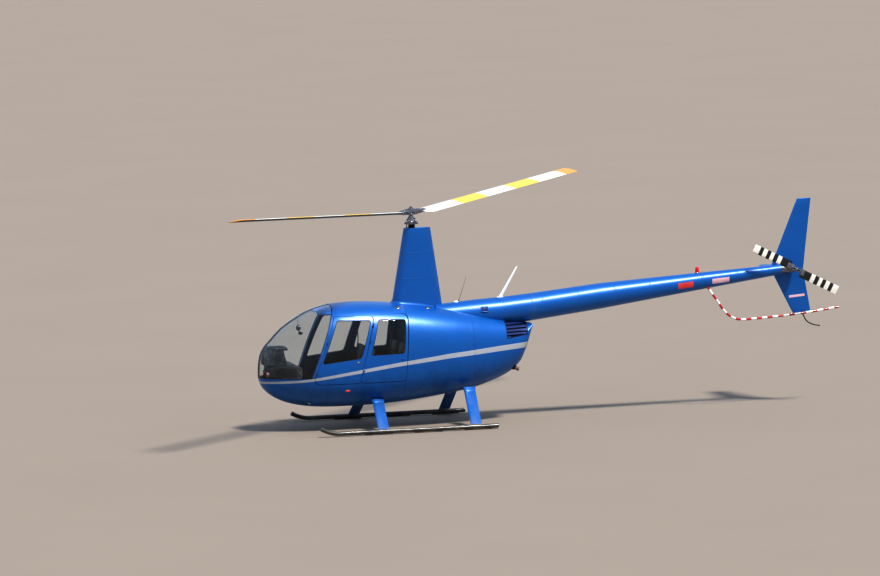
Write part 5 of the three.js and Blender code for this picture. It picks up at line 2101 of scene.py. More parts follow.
@dataclass
class Boom:
    """The fairing from the mast to the boom, and the boom with its lap joints and rivets."""

    fairing: tuple[Round, ...] = (
        Round(-0.330, 1.600, 0.190), Round(-0.870, 1.622, 0.209), Round(-1.340, 1.645, 0.209),
        Round(-1.800, 1.683, 0.206),
    )
    cone: tuple[Round, ...] = (
        Round(-1.8003, 1.683, 0.206), Round(-2.900, 1.800, 0.193), Round(-4.460, 1.951, 0.129),
        Round(-5.730, 2.070, 0.075),
    )
    sides: int = 64
    laps: tuple[float, ...] = (-1.96, -2.52, -3.08, -3.64, -4.47, -5.02, -5.42)

    def at(self, x: float) -> Round:
        """The boom's section at a station."""
        for a, b in zip(self.cone, self.cone[1:]):
            if x >= b.x:
                share = (x - a.x) / (b.x - a.x)
                return Round(*(mixed(p, q, share) for p, q in zip(a, b)))
        return self.cone[-1]

    def hoop(self, row: Round, growth: float = 0.0) -> list[Vector]:
        """The points round a section."""
        turns = [2 * math.pi * k / self.sides for k in range(self.sides)]
        reach = row.r + growth
        return [Vector((row.x, reach * math.cos(a), row.z + reach * math.sin(a))) for a in turns]

    def build(self) -> None:
        """Makes the fairing, the boom, its joints, its rivets and its labels."""
        piece(
            "boom_fairing", loft([self.hoop(r) for r in along(self.fairing, 8)]), PLAIN_PAINT,
            replaces=["tailcone_fairing"],
        )
        rows = along(self.cone, 14)
        rings = [self.hoop(r) for r in rows]
        last = self.cone[-1]
        rings.append(self.hoop(last, -0.006))
        piece("boom_cone", loft(rings), PLAIN_PAINT, replaces=["tailcone"])
        bands, rivets = empty_mesh(), empty_mesh()
        for x in (-1.792, *self.laps):
            band = []
            for shift, growth in ((0.014, 0.0001), (0.013, 0.0004), (-0.013, 0.0004), (-0.014, 0.0001)):
                row = self.at(min(x + shift, self.cone[0].x))
                band.append(self.hoop(row._replace(x=x + shift), growth))
            merge(bands, loft(band, caps=False))
            self.rivet_ring(rivets, x - 0.007)
            self.rivet_ring(rivets, x + 0.007)
        piece("boom_lap_bands", bands, PLAIN_PAINT)
        piece("boom_rivets", rivets, PLAIN_PAINT)
        self.labels()

    def rivet_ring(self, rivets: bmesh.types.BMesh, x: float, count: int = 40) -> None:
        """Adds a ring of rivets.

        Args:
            rivets: Where they are added.
            x: Their station.
            count: How many.
        """
        row = self.at(x)
        for k in range(count):
            turn = 2 * math.pi * (k + 0.5) / count
            out = Vector((0, math.cos(turn), math.sin(turn)))
            foot = Vector((x, 0, row.z)) + out * (row.r + 0.0004)
            place = Matrix.Translation(foot) @ out.to_track_quat("Z", "X").to_matrix().to_4x4()
            bmesh.ops.create_cone(
                rivets, cap_ends=True, segments=6, radius1=0.0028, radius2=0.0018, depth=0.0016, matrix=place
            )

    def labels(self) -> None:
        """Two blank coloured plates on the port side."""
        for name, front, rear, low, high, finish in (
            ("boom_plate_red", -4.080, -4.320, 1.852, 1.944, LABEL_RED),
            ("boom_plate_pale", -4.620, -4.893, 1.906, 1.985, LABEL_PINK),
        ):
            rows = [self.at(mixed(front, rear, k / 6)) for k in range(7)]
            sheet = loft(
                [self.hoop(row._replace(x=mixed(front, rear, k / 6)), 0.0006) for k, row in enumerate(rows)],
                caps=False,
            )
            slice_y(sheet, 0.0, FAR)
            clip(sheet, [(front, low), (front, high), (rear, high + 0.02), (rear, low + 0.02)], Keep.INSIDE)
            piece(
                name, sheet, finish, slot="lamp_red" if finish is LABEL_RED else "antenna_white", wall=0.0005
            )


class Slice(NamedTuple):
    """A section of a fin: its place along the fin, its leading and trailing edges and its thickness."""

    at: float
    lead: float
    trail: float
    thick: float


@dataclass
class TailSurfaces:
    """The two fins, the stabilizer and the skid and guard below them."""

    fin_y: float = -0.097
    upper: tuple[Slice, ...] = (
        Slice(2.052, -5.590, -6.112, 0.034), Slice(2.149, -5.622, -6.126, 0.034),
        Slice(2.376, -5.719, -6.153, 0.032), Slice(3.134, -6.038, -6.254, 0.022),
    )
    lower: tuple[Slice, ...] = (
        Slice(2.0517, -5.610, -6.112, 0.034), Slice(1.946, -5.662, -6.128, 0.032),
        Slice(1.388, -5.935, -6.220, 0.022),
    )
    stabilizer: tuple[Slice, ...] = (
        Slice(0.1143, -5.640, -5.980, 0.034), Slice(0.990, -5.660, -5.960, 0.026)
    )
    stabilizer_z: float = 2.052
    guard: tuple[Point3, ...] = (
        (-4.540, 0.060, 1.900), (-4.600, 0.090, 1.790), (-4.700, 0.105, 1.640), (-4.825, 0.095, 1.465),
        (-5.010, 0.060, 1.352), (-5.300, 0.000, 1.338), (-5.720, -0.0656, 1.354), (-6.150, -0.0656, 1.388),
        (-6.655, -0.0656, 1.450),
    )
    guard_radius: float = 0.018
    skid: tuple[Point2, ...] = (
        (-6.080, 1.395), (-6.150, 1.260), (-6.250, 1.198), (-6.352, 1.175)
    )

    def build(self) -> None:
        """Makes the tail's surfaces and rods."""
        for name, rows, node in (
            ("fin_upper", self.upper, "upper_fin"), ("fin_lower", self.lower, "lower_fin")
        ):
            piece(name, self.fin(rows), PLAIN_PAINT, replaces=[node])
        self.plane()
        self.rods()
        self.trim()

    def rings(
        self, rows: Sequence[Slice], place: Callable[[float, float, float], Vector]
    ) -> list[list[Vector]]:
        """Aerofoil rings through a table, with a rounded tip.

        Args:
            rows: The sections.
            place: Turns (place along, chordwise, thickness) into a point.

        Returns:
            The rings.
        """
        found = []
        tip = rows[-1]
        inward = math.copysign(1, rows[-2].at - tip.at)
        fine = [row for row in along(rows, 8) if abs(row.at - tip.at) > 0.012]
        for row in fine:
            chord = row.lead - row.trail
            found.append([place(row.at, row.lead + u, t) for u, t in aerofoil(chord, row.thick / chord, 18)])
        for drop, shrink, thin in (
            (0.010, 0.0, 1.0), (0.004, 0.002, 0.86), (0.001, 0.006, 0.6), (0.0, 0.012, 0.25)
        ):
            chord = tip.lead - tip.trail - 2 * shrink
            share = tip.thick * thin / chord
            found.append([
                place(tip.at + inward * drop, tip.lead - shrink + u, t) for u, t in aerofoil(chord, share, 18)
            ])
        return found

    def fin(self, rows: Sequence[Slice]) -> bmesh.types.BMesh:
        """A fin on the starboard side of the boom."""
        return loft(self.rings(rows, lambda at, x, t: Vector((x, self.fin_y + t, at))))

    def plane(self) -> None:
        """The stabilizer."""
        made = loft(self.rings(self.stabilizer, lambda at, x, t: Vector((x, -at, self.stabilizer_z + t))))
        piece("stabilizer_plane", made, PLAIN_PAINT, replaces=["horizontal_stabilizer"])

    def rods(self) -> None:
        """The ringed guard, its clamps and the tail skid."""
        path = smooth_path(self.guard, 10)
        piece(
            "guard_rod", tube(path, self.guard_radius, 14), GUARD_PAINT, replaces=["tail_guard"],
            slot="guard_stripes",
        )
        clamps = empty_mesh()
        merge(clamps, rod((-6.130, -0.090, 1.386), (-6.170, -0.0656, 1.390), 0.006, 10))
        for index in (62, 66):
            here, onward = path[index], path[index + 1]
            merge(clamps, rod(here, here + (onward - here).normalized() * 0.022, 0.0165, 14, soft=0.001))
        merge(clamps, rod(path[0], path[0] + Vector((0.0, 0.010, -0.030)), 0.0170, 14, soft=0.001))
        piece("guard_clamps", clamps, BRIGHT_METAL, slot="rotor_metal")
        points = smooth_path([(x, self.fin_y, z) for x, z in self.skid], 8)
        made = tube(points, 0.009, 14)
        merge(made, ball(points[-1], 0.0115))
        piece("tail_skid_rod", made, SKID_PAINT, replaces=["tail_skid"], slot="skid_black")

    def trim(self) -> None:
        """The fins' clips on the boom and the blank plate on the lower fin."""
        plate = self.fin(self.lower)
        clip(plate, [(-5.878, 1.622), (-6.128, 1.640), (-6.128, 1.676), (-5.878, 1.660)], Keep.INSIDE)
        slice_y(plate, self.fin_y, FAR)
        bmesh.ops.translate(plate, vec=(0, 0.0007, 0), verts=plate.verts)
        piece("fin_plate_pale", plate, LABEL_PINK, slot="antenna_white", wall=0.0005)
        clips = empty_mesh()
        for x in (-5.700, -5.655):
            merge(clips, block((x - 0.014, self.fin_y + 0.004, 2.028), (x + 0.014, -0.066, 2.040), 0.002))
        piece("fin_clips", clips, BRIGHT_METAL, slot="rotor_metal")


@dataclass
class TailRotor:
    """The tail gearbox and the two-bladed tail rotor on its port side."""

    x: float = -5.890
    y: float = 0.280
    z: float = 2.088
    boom_end: float = -5.7303
    boom_axis_z: float = 2.078
    fin_face: float = -0.079
    case: float = 0.062
    drum: float = 0.060
    drum_port: float = 0.094
    bolt_count: int = 8
    bolt_radius: float = 0.0045
    drum_bolts: float = 0.053
    input_bolts: float = 0.058
    rib_count: int = 5
    rib_radius: float = 0.0635
    rib_first: float = -0.050
    rib_step: float = 0.030
    breather: Point2 = (2.135, 2.158)
    sight_z: float = 2.066
    port: float = 0.215
    rest: float = 26.76
    link: tuple[Point3, ...] = ((0.034, -0.052, -0.036), (0.085, -0.010, -0.052))
    tip: tuple[Point3, ...] = (
        (0.003, 0.126, 0.10), (0.0006, 0.120, 0.06), (0.0, 0.112, 0.025)
    )
    cuff_y: float = 0.0095
    cuff_end: float = 0.150
    cuff_bolts: tuple[Point2, ...] = ((0.112, -0.020), (0.136, 0.000), (0.112, 0.026))
    hub: float = 0.095
    radius: float = 0.737
    chord: float = 0.130
    bands: tuple[tuple[float, Colour], ...] = (
        (0.0, BLACK_BAND), (0.36, WHITE_BAND), (0.45, BLACK_BAND), (0.54, WHITE_BAND), (0.62, BLACK_BAND),
        (0.70, WHITE_BAND), (0.79, BLACK_BAND), (0.87, WHITE_BAND),
    )

    def build(self) -> None:
        """Makes the gearbox, the hub and the blades."""
        self.gearbox()
        turn = Matrix.Translation((self.x, self.y, self.z))
        turn = turn @ Matrix.Rotation(-math.radians(self.rest), 4, "Y")
        self.head(turn)
        length = self.radius - self.hub
        stops = tuple((max(0.0, share * self.radius - self.hub), colour) for share, colour in self.bands)
        paint = BandedPaint(
            "tail_blade_bands", WHITE_BAND, srgb(120, 120, 116), 0.3, coat=0.5, grain=0.0003, grain_scale=300,
            bands=stops, length=length,
        )
        for number, half_turn in ((1, 0.0), (2, math.pi)):
            arm = turn @ Matrix.Rotation(half_turn, 4, "Y")
            blade = self.blade()
            put_at(blade, arm)
            piece(
                f"tail_blade_{number}", blade, paint, body="tail_rotor",
                replaces=[f"tail_rotor_blade_{number}"], slot="blade_paint",
            )
            cuff = self.cuff()
            put_at(cuff, arm)
            piece(f"tail_blade_cuff_{number}", cuff, ROTOR_METAL, body="tail_rotor", slot="rotor_metal")

    def gearbox(self) -> None:
        """The gearbox: an input cone, a round case with ribs and bolts, and the output housing."""
        axis = self.boom_axis_z
        case = rod(
            (self.boom_end - 0.0003, 0, axis), (self.x - 0.012, 0, axis), self.case, 32, far=0.066, soft=0.003
        )
        port = self.drum_port
        for start, end, radius, sides, far, soft in (
            (self.fin_face, port, self.drum, 32, None, 0.004),
            (port - 0.006, port + 0.006, 0.052, 28, None, 0.002),
            (port + 0.004, self.port, 0.030, 24, 0.026, 0.002),
        ):
            merge(case, rod((self.x, start, self.z), (self.x, end, self.z), radius, sides, far, soft))
        for k in range(self.bolt_count):
            turn = 2 * math.pi * k / self.bolt_count
            out = Vector((math.cos(turn), 0, math.sin(turn)))
            here = Vector((self.x, port, self.z)) + out * self.drum_bolts
            merge(case, rod(here, here + Vector((0, 0.008, 0)), self.bolt_radius, 6))
            around = Vector((0, math.cos(turn), math.sin(turn)))
            spot = Vector((self.boom_end - 0.004, 0, axis)) + around * self.input_bolts
            merge(case, rod(spot, spot + Vector((-0.010, 0, 0)), self.bolt_radius, 6))
        for k in range(self.rib_count):
            y = self.rib_first + k * self.rib_step
            start, end = (self.x, y - 0.002, self.z), (self.x, y + 0.002, self.z)
            merge(case, rod(start, end, self.rib_radius, 32, soft=0.0008))
        x = self.x - 0.01
        low, high = self.breather
        merge(case, rod((x, 0.0, low), (x, 0.0, high), 0.012, 12, soft=0.001))
        piece("tail_gearbox_case", case, ROTOR_METAL, replaces=["tail_gearbox"], slot="rotor_metal")
        start, end = (self.x - 0.062, 0.03, self.sight_z), (self.x - 0.070, 0.03, self.sight_z)
        glass = rod(start, end, 0.010, 16, soft=0.001)
        piece("gearbox_sight_plug", glass, LAMP_RED, slot="lamp_red")

    def head(self, turn: Matrix) -> None:
        """The hub, its plates, the slider and the links that set the blades.

        Args:
            turn: The rotor's place at rest.
        """
        reach = self.port + 0.0006 - self.y
        made = rod((0, reach, 0), (0, 0.034, 0), 0.015, 20, soft=0.001)
        merge(made, block((-self.hub, -0.016, -0.010), (self.hub, 0.016, 0.010), 0.003))
        merge(made, rod((0, 0, -0.024), (0, 0, 0.024), 0.017, 20, soft=0.001))
        for sign in (1, -1):
            y, half = sign * 0.013, self.hub * 0.98
            merge(made, block((-half, y - 0.003, -0.021), (half, y + 0.003, 0.021), 0.002))
            merge(made, rod((sign * 0.072, -0.024, 0), (sign * 0.072, 0.024, 0), 0.008, 12, soft=0.001))
        merge(made, rod((0, 0.034, 0), (0, 0.046, 0), 0.010, 6, soft=0.001))
        put_at(made, turn)
        piece(
            "tail_hub", made, ROTOR_METAL, body="tail_rotor", replaces=["tail_rotor_hub"], slot="rotor_metal"
        )
        links = rod((0, -0.058, 0), (0, -0.046, 0), 0.030, 24, soft=0.002)
        for sign in (1, -1):
            near, far = ((sign * x, y, sign * z) for x, y, z in self.link)
            merge(links, rod((0, near[1], 0), near, 0.005, 10))
            merge(links, rod(near, far, 0.004, 10))
            x = far[0]
            merge(links, block((x - 0.010, -0.014, -0.056), (x + 0.010, -0.006, 0.056), 0.002))
            merge(links, ball(near, 0.007))
            merge(links, ball(far, 0.007))
        put_at(links, turn)
        piece("tail_pitch_links", links, ROTOR_METAL, body="tail_rotor", slot="rotor_metal")

    def section(self, x: float, chord: float, thick: float) -> list[Vector]:
        """A blade section at a distance from the hub."""
        return [
            Vector((x, t, -u - self.chord / 3 - (self.chord - chord) * 0.1))
            for u, t in aerofoil(chord, thick, 12)
        ]

    def blade(self) -> bmesh.types.BMesh:
        """A blade, from its root to its rounded tip."""
        rings = []
        start = self.hub + 0.0003
        for k in range(25):
            rings.append(self.section(mixed(start, self.radius - 0.010, k / 24), self.chord, 0.12))
        for back, chord, thick in self.tip:
            rings.append(self.section(self.radius - back, chord, thick))
        return loft(rings)

    def cuff(self) -> bmesh.types.BMesh:
        """The plates and bolts at a blade's root."""
        made = empty_mesh()
        for sign in (1, -1):
            y = sign * self.cuff_y
            end = (self.cuff_end, y + 0.0025, 0.050)
            merge(made, block((self.hub - 0.004, y - 0.0025, -0.034), end, 0.002))
        for x, z in self.cuff_bolts:
            merge(made, rod((x, -0.017, z), (x, 0.017, z), 0.006, 8, soft=0.001))
        return made


# The main rotor


@dataclass
class MainRotor:
    """The swashplate on the mast fairing, the turning mast, the hub and the two blades."""

    radius: float = 5.030
    chord: float = 0.255
    thick: float = 0.030
    root: float = 0.2713
    root_chord: float = 0.150
    hub_z: float = 3.200
    rest: float = 48.0
    coning: float = 3.25
    teeter: float = 0.36
    pitch: float = 9.0
    plate_z: float = 3.035
    plate_radius: float = 0.105
    mast_radius: float = 0.030
    mast_foot: float = 2.9603
    boot: tuple[Point2, ...] = (
        (0.034, 2.9605), (0.050, 2.9605), (0.050, 2.968), (0.043, 2.973), (0.048, 2.979), (0.042, 2.985),
        (0.047, 2.991), (0.041, 2.997), (0.045, 3.003), (0.039, 3.009), (0.034, 3.012),
    )
    turning_ring: tuple[Point2, ...] = (
        (0.036, 0.0), (0.092, 0.0), (0.094, 0.003), (0.094, 0.014), (0.088, 0.017), (0.046, 0.017),
        (0.042, 0.024), (0.036, 0.024),
    )
    root_sleeve: tuple[Point2, ...] = (
        (0.060, 0.030), (0.130, 0.030), (0.135, 0.034), (0.150, 0.034), (0.155, 0.030), (0.170, 0.030),
        (0.175, 0.035), (0.232, 0.035), (0.236, 0.030), (0.262, 0.030),
    )
    post_circle: float = 0.070
    post_radius: float = 0.008
    post_count: int = 3
    post_nut: float = 0.013
    post_nut_top: float = 2.972
    cheek_half: float = 0.262
    cheek_y: float = 0.046
    cheek_flat: float = 0.085
    cheek_depth: float = 0.042
    coning_x: float = 0.185
    coning_bolt: tuple[tuple[float, float, float, int, float], ...] = (
        (0.030, 0.066, 0.017, 24, 0.002), (0.064, 0.074, 0.012, 6, 0.001)
    )
    teeter_bolt: tuple[tuple[float, float, int, float], ...] = (
        (0.072, 0.020, 28, 0.002), (0.082, 0.014, 6, 0.001)
    )
    knee: Point2 = (0.098, -0.108)
    tip: tuple[Point3, ...] = (
        (0.010, 0.250, 0.11), (0.003, 0.238, 0.085), (0.0005, 0.222, 0.05), (0.0, 0.200, 0.02)
    )
    link: tuple[Point3, ...] = ((0.030, 0.098, 0.012), (0.205, 0.118, -0.012))
    grip_bolts: tuple[Point2, ...] = (
        (0.030, 0.0), (0.030, -0.036), (0.070, 0.002), (0.070, -0.036), (0.105, -0.016)
    )
    bands: tuple[tuple[float, Colour], ...] = (
        (0.0, WHITE_BAND), (1.28, YELLOW_BAND), (2.09, WHITE_BAND), (2.97, YELLOW_BAND),
        (3.76, WHITE_BAND), (4.65, TIP_BAND),
    )

    def build(self) -> None:
        """Makes every piece of the rotor."""
        self.swashplate()
        upright = Matrix.Translation((0, 0, self.hub_z)) @ Matrix.Rotation(math.radians(self.rest), 4, "Z")
        head = upright @ Matrix.Rotation(-math.radians(self.teeter), 4, "Y")
        self.mast(upright)
        self.hub(head)
        stops = tuple((max(0.0, r - self.root), colour) for r, colour in self.bands)
        top = BandedPaint(
            "blade_top_bands", WHITE_BAND, srgb(150, 148, 140), 0.32, coat=0.4, grain=0.0003, grain_scale=200,
            bands=stops, length=self.radius - self.root,
        )
        for number, half_turn in ((1, 0.0), (2, math.pi)):
            arm = head @ Matrix.Rotation(half_turn, 4, "Z") @ Matrix.Translation((self.root, 0, 0))
            arm = arm @ Matrix.Rotation(-math.radians(self.coning), 4, "Y")
            blade = self.blade()
            put_at(blade, arm)
            piece(
                f"main_blade_{number}", blade, top, BLADE_UNDER, body="main_rotor",
                replaces=[f"rotor_blade_{number}"], slot="blade_paint",
            )
            grip = self.grip()
            put_at(grip, arm)
            piece(f"blade_grip_{number}", grip, ROTOR_METAL, body="main_rotor", slot="rotor_metal")

    def swashplate(self) -> None:
        """The fixed ring on its posts, and the boot round the mast's foot."""
        ring_low = empty_mesh()
        edge = self.plate_radius
        profile = (
            (0.040, -0.018), (edge - 0.003, -0.018), (edge, -0.014), (edge, -0.003), (edge - 0.003, 0.0),
            (0.040, 0.0),
        )
        merge(ring_low, revolve([(r, self.plate_z + z) for r, z in profile], 48))
        for k in range(self.post_count):
            angle = 2 * math.pi * k / self.post_count
            x, y = self.post_circle * math.cos(angle), self.post_circle * math.sin(angle)
            foot, top = (x, y, self.mast_foot), (x, y, self.plate_z - 0.010)
            merge(ring_low, rod(foot, top, self.post_radius, 14, soft=0.001))
            merge(ring_low, rod(foot, (x, y, self.post_nut_top), self.post_nut, 6, soft=0.001))
            merge(ring_low, ball((x, y, self.plate_z - 0.016), 0.012))
        piece("swashplate_fixed", ring_low, ROTOR_METAL, replaces=["swashplate"], slot="rotor_metal")
        piece("mast_boot", revolve(self.boot, 32), SEAL_RUBBER, slot="cabin_trim")

    def mast(self, upright: Matrix) -> None:
        """The turning mast, the turning ring, and its scissors.

        Args:
            upright: The mast's place and turn at the hub's height.
        """
        top = -0.048
        made = rod((0, 0, self.mast_foot - self.hub_z), (0, 0, top), self.mast_radius, 32, soft=0.001)
        merge(made, rod((0, 0, -0.090), (0, 0, -0.062), 0.037, 28, soft=0.002))
        put_at(made, upright)
        piece(
            "mast_tube", made, BRIGHT_METAL, body="main_rotor", replaces=["rotor_shaft"], slot="rotor_metal"
        )
        low = self.plate_z + 0.001 - self.hub_z
        plate = revolve([(r, low + rise) for r, rise in self.turning_ring], 48)
        for sign in (1, -1):
            foot = Vector((sign * 0.030, sign * 0.088, low + 0.009))
            lug = Vector((0.012, 0.016, 0.0065))
            middle = Vector((foot.x, foot.y, low + 0.0085))
            merge(plate, block(middle - lug, middle + lug, 0.003))
            knee = Vector((sign * self.knee[0], 0.0, self.knee[1]))
            merge(plate, rod((sign * 0.090, 0.0, low + 0.010), knee, 0.007, 12))
            merge(plate, rod(knee, (sign * 0.036, 0.0, -0.076), 0.007, 12))
            half_pin = Vector((0, 0.018, 0))
            merge(plate, rod(knee - half_pin, knee + half_pin, 0.009, 12, soft=0.001))
        put_at(plate, upright)
        piece("swashplate_turning", plate, ROTOR_METAL, body="main_rotor", slot="rotor_metal")
        links = empty_mesh()
        (x, y, lift), (top_x, top_y, top_z) = self.link
        for sign in (1, -1):
            low_end = Vector((sign * x, sign * y, low + lift))
            top_end = Vector((sign * top_x, sign * top_y, top_z))
            merge(links, rod(low_end, top_end, 0.0065, 14))
            for end, inward in ((low_end, top_end), (top_end, low_end)):
                towards = (inward - end).normalized()
                merge(links, ball(end, 0.011))
                merge(links, rod(end, end + towards * 0.034, 0.0095, 6, soft=0.0008))
        put_at(links, upright)
        piece("pitch_links", links, BRIGHT_METAL, body="main_rotor", slot="rotor_metal")

    def hub(self, head: Matrix) -> None:
        """The teetering hub: two cheeks on a teeter bolt, coning bolts, blade roots and a cap.

        Args:
            head: The hub's place and turn.
        """
        made = empty_mesh()
        for sign in (1, -1):
            y, half = sign * self.cheek_y, self.cheek_half
            cheek = block((-half, y - 0.009, -0.036), (half, y + 0.009, 0.036))
            for vert in cheek.verts:
                vert.co.z *= 0.72
            for x in (-self.cheek_flat, self.cheek_flat):
                everything = [*cheek.verts, *cheek.edges, *cheek.faces]
                bmesh.ops.bisect_plane(cheek, geom=everything, plane_co=(x, 0, 0), plane_no=AHEAD)
            for vert in cheek.verts:
                if abs(vert.co.x) < 0.2:
                    vert.co.z = math.copysign(self.cheek_depth, vert.co.z)
            soften(cheek, 0.004, 3)
            merge(made, cheek)
            for x in (-self.coning_x, self.coning_x):
                for near, far, radius, sides, soft in self.coning_bolt:
                    merge(made, rod((x, sign * near, 0), (x, sign * far, 0), radius, sides, soft=soft))
        for half, radius, sides, soft in self.teeter_bolt:
            merge(made, rod((0, -half, 0), (0, half, 0), radius, sides, soft=soft))
        merge(made, block((-0.050, -0.040, -0.036), (0.050, 0.040, 0.036), 0.006))
        merge(made, rod((0, 0, 0.030), (0, 0, 0.058), 0.036, 28, far=0.034, soft=0.003))
        merge(made, rod((0, 0, 0.056), (0, 0, 0.0815), 0.026, 6, far=0.024, soft=0.003))
        put_at(made, head)
        piece("rotor_head", made, ROTOR_METAL, body="main_rotor", replaces=["rotor_hub"], slot="rotor_metal")
        boots = empty_mesh()
        for sign in (1, -1):
            merge(boots, spindle(Vector(), AHEAD, [(sign * x, r) for x, r in self.root_sleeve]))
        put_at(boots, head)
        piece("blade_spindles", boots, BRIGHT_METAL, body="main_rotor", slot="rotor_metal")

    def section(self, x: float, chord: float, thick: float) -> list[Vector]:
        """A blade section at a distance from the root, turned by the pitch."""
        cos, sin = math.cos(math.radians(self.pitch)), math.sin(math.radians(self.pitch))
        points = []
        for u, t in aerofoil(chord, thick, 16):
            y, z = u + chord / 4, t
            points.append(Vector((x, y * cos - z * sin, y * sin + z * cos)))
        return points

    def blade(self) -> bmesh.types.BMesh:
        """A blade, with its underside given the second finish."""
        length = self.radius - self.root
        share = self.thick / self.chord
        rings = [self.section(0.0, self.root_chord, share), self.section(0.045, 0.190, share)]
        for k in range(61):
            x = mixed(0.090, length - 0.022, k / 60)
            rings.append(self.section(x, self.chord, share))
        for back, chord, thick in self.tip:
            rings.append(self.section(length - back, chord, thick))
        made = loft(rings)
        lean = Vector((0, -math.sin(math.radians(self.pitch)), math.cos(math.radians(self.pitch))))
        for face in made.faces:
            if face.normal.dot(lean) < -0.02:
                face.material_index = 1
        return made

    def grip(self) -> bmesh.types.BMesh:
        """The root fitting: doublers, bolts and the pitch horn."""
        made = empty_mesh()
        turn = Matrix.Rotation(math.radians(self.pitch), 4, "X")
        for sign in (1, -1):
            part = block((0.004, -0.055, sign * 0.0135 - 0.003), (0.125, 0.022, sign * 0.0135 + 0.003), 0.002)
            merge(made, part)
            for x, y in self.grip_bolts:
                merge(made, rod((x, y, sign * 0.014), (x, y, sign * 0.0205), 0.0075, 6, soft=0.001))
        merge(made, block((-0.095, 0.030, -0.012), (-0.050, 0.120, 0.004), 0.004))
        merge(made, block((-0.105, 0.024, -0.016), (0.030, 0.040, 0.010), 0.004))
        put_at(made, turn)
        return made


def revolve(profile: Sequence[Point2], sides: int) -> bmesh.types.BMesh:
    """Turns a closed profile about the mast axis.

    Args:
        profile: Corners as (radius, height), in order.
        sides: Steps round the axis.

    Returns:
        The closed ring.
    """
    bm = empty_mesh()
    verts = [bm.verts.new((r, 0, z)) for r, z in profile]
    edges = [bm.edges.new((a, b)) for a, b in zip(verts, verts[1:] + verts[:1])]
    bmesh.ops.spin(
        bm, geom=[*verts, *edges], cent=(0, 0, 0), axis=(0, 0, 1), dvec=(0, 0, 0), angle=2 * math.pi,
        steps=sides, use_merge=True, use_duplicate=False,
    )
    bmesh.ops.remove_doubles(bm, verts=bm.verts, dist=TINY)
    bmesh.ops.recalc_face_normals(bm, faces=bm.faces)
    return bm


# The landing gear


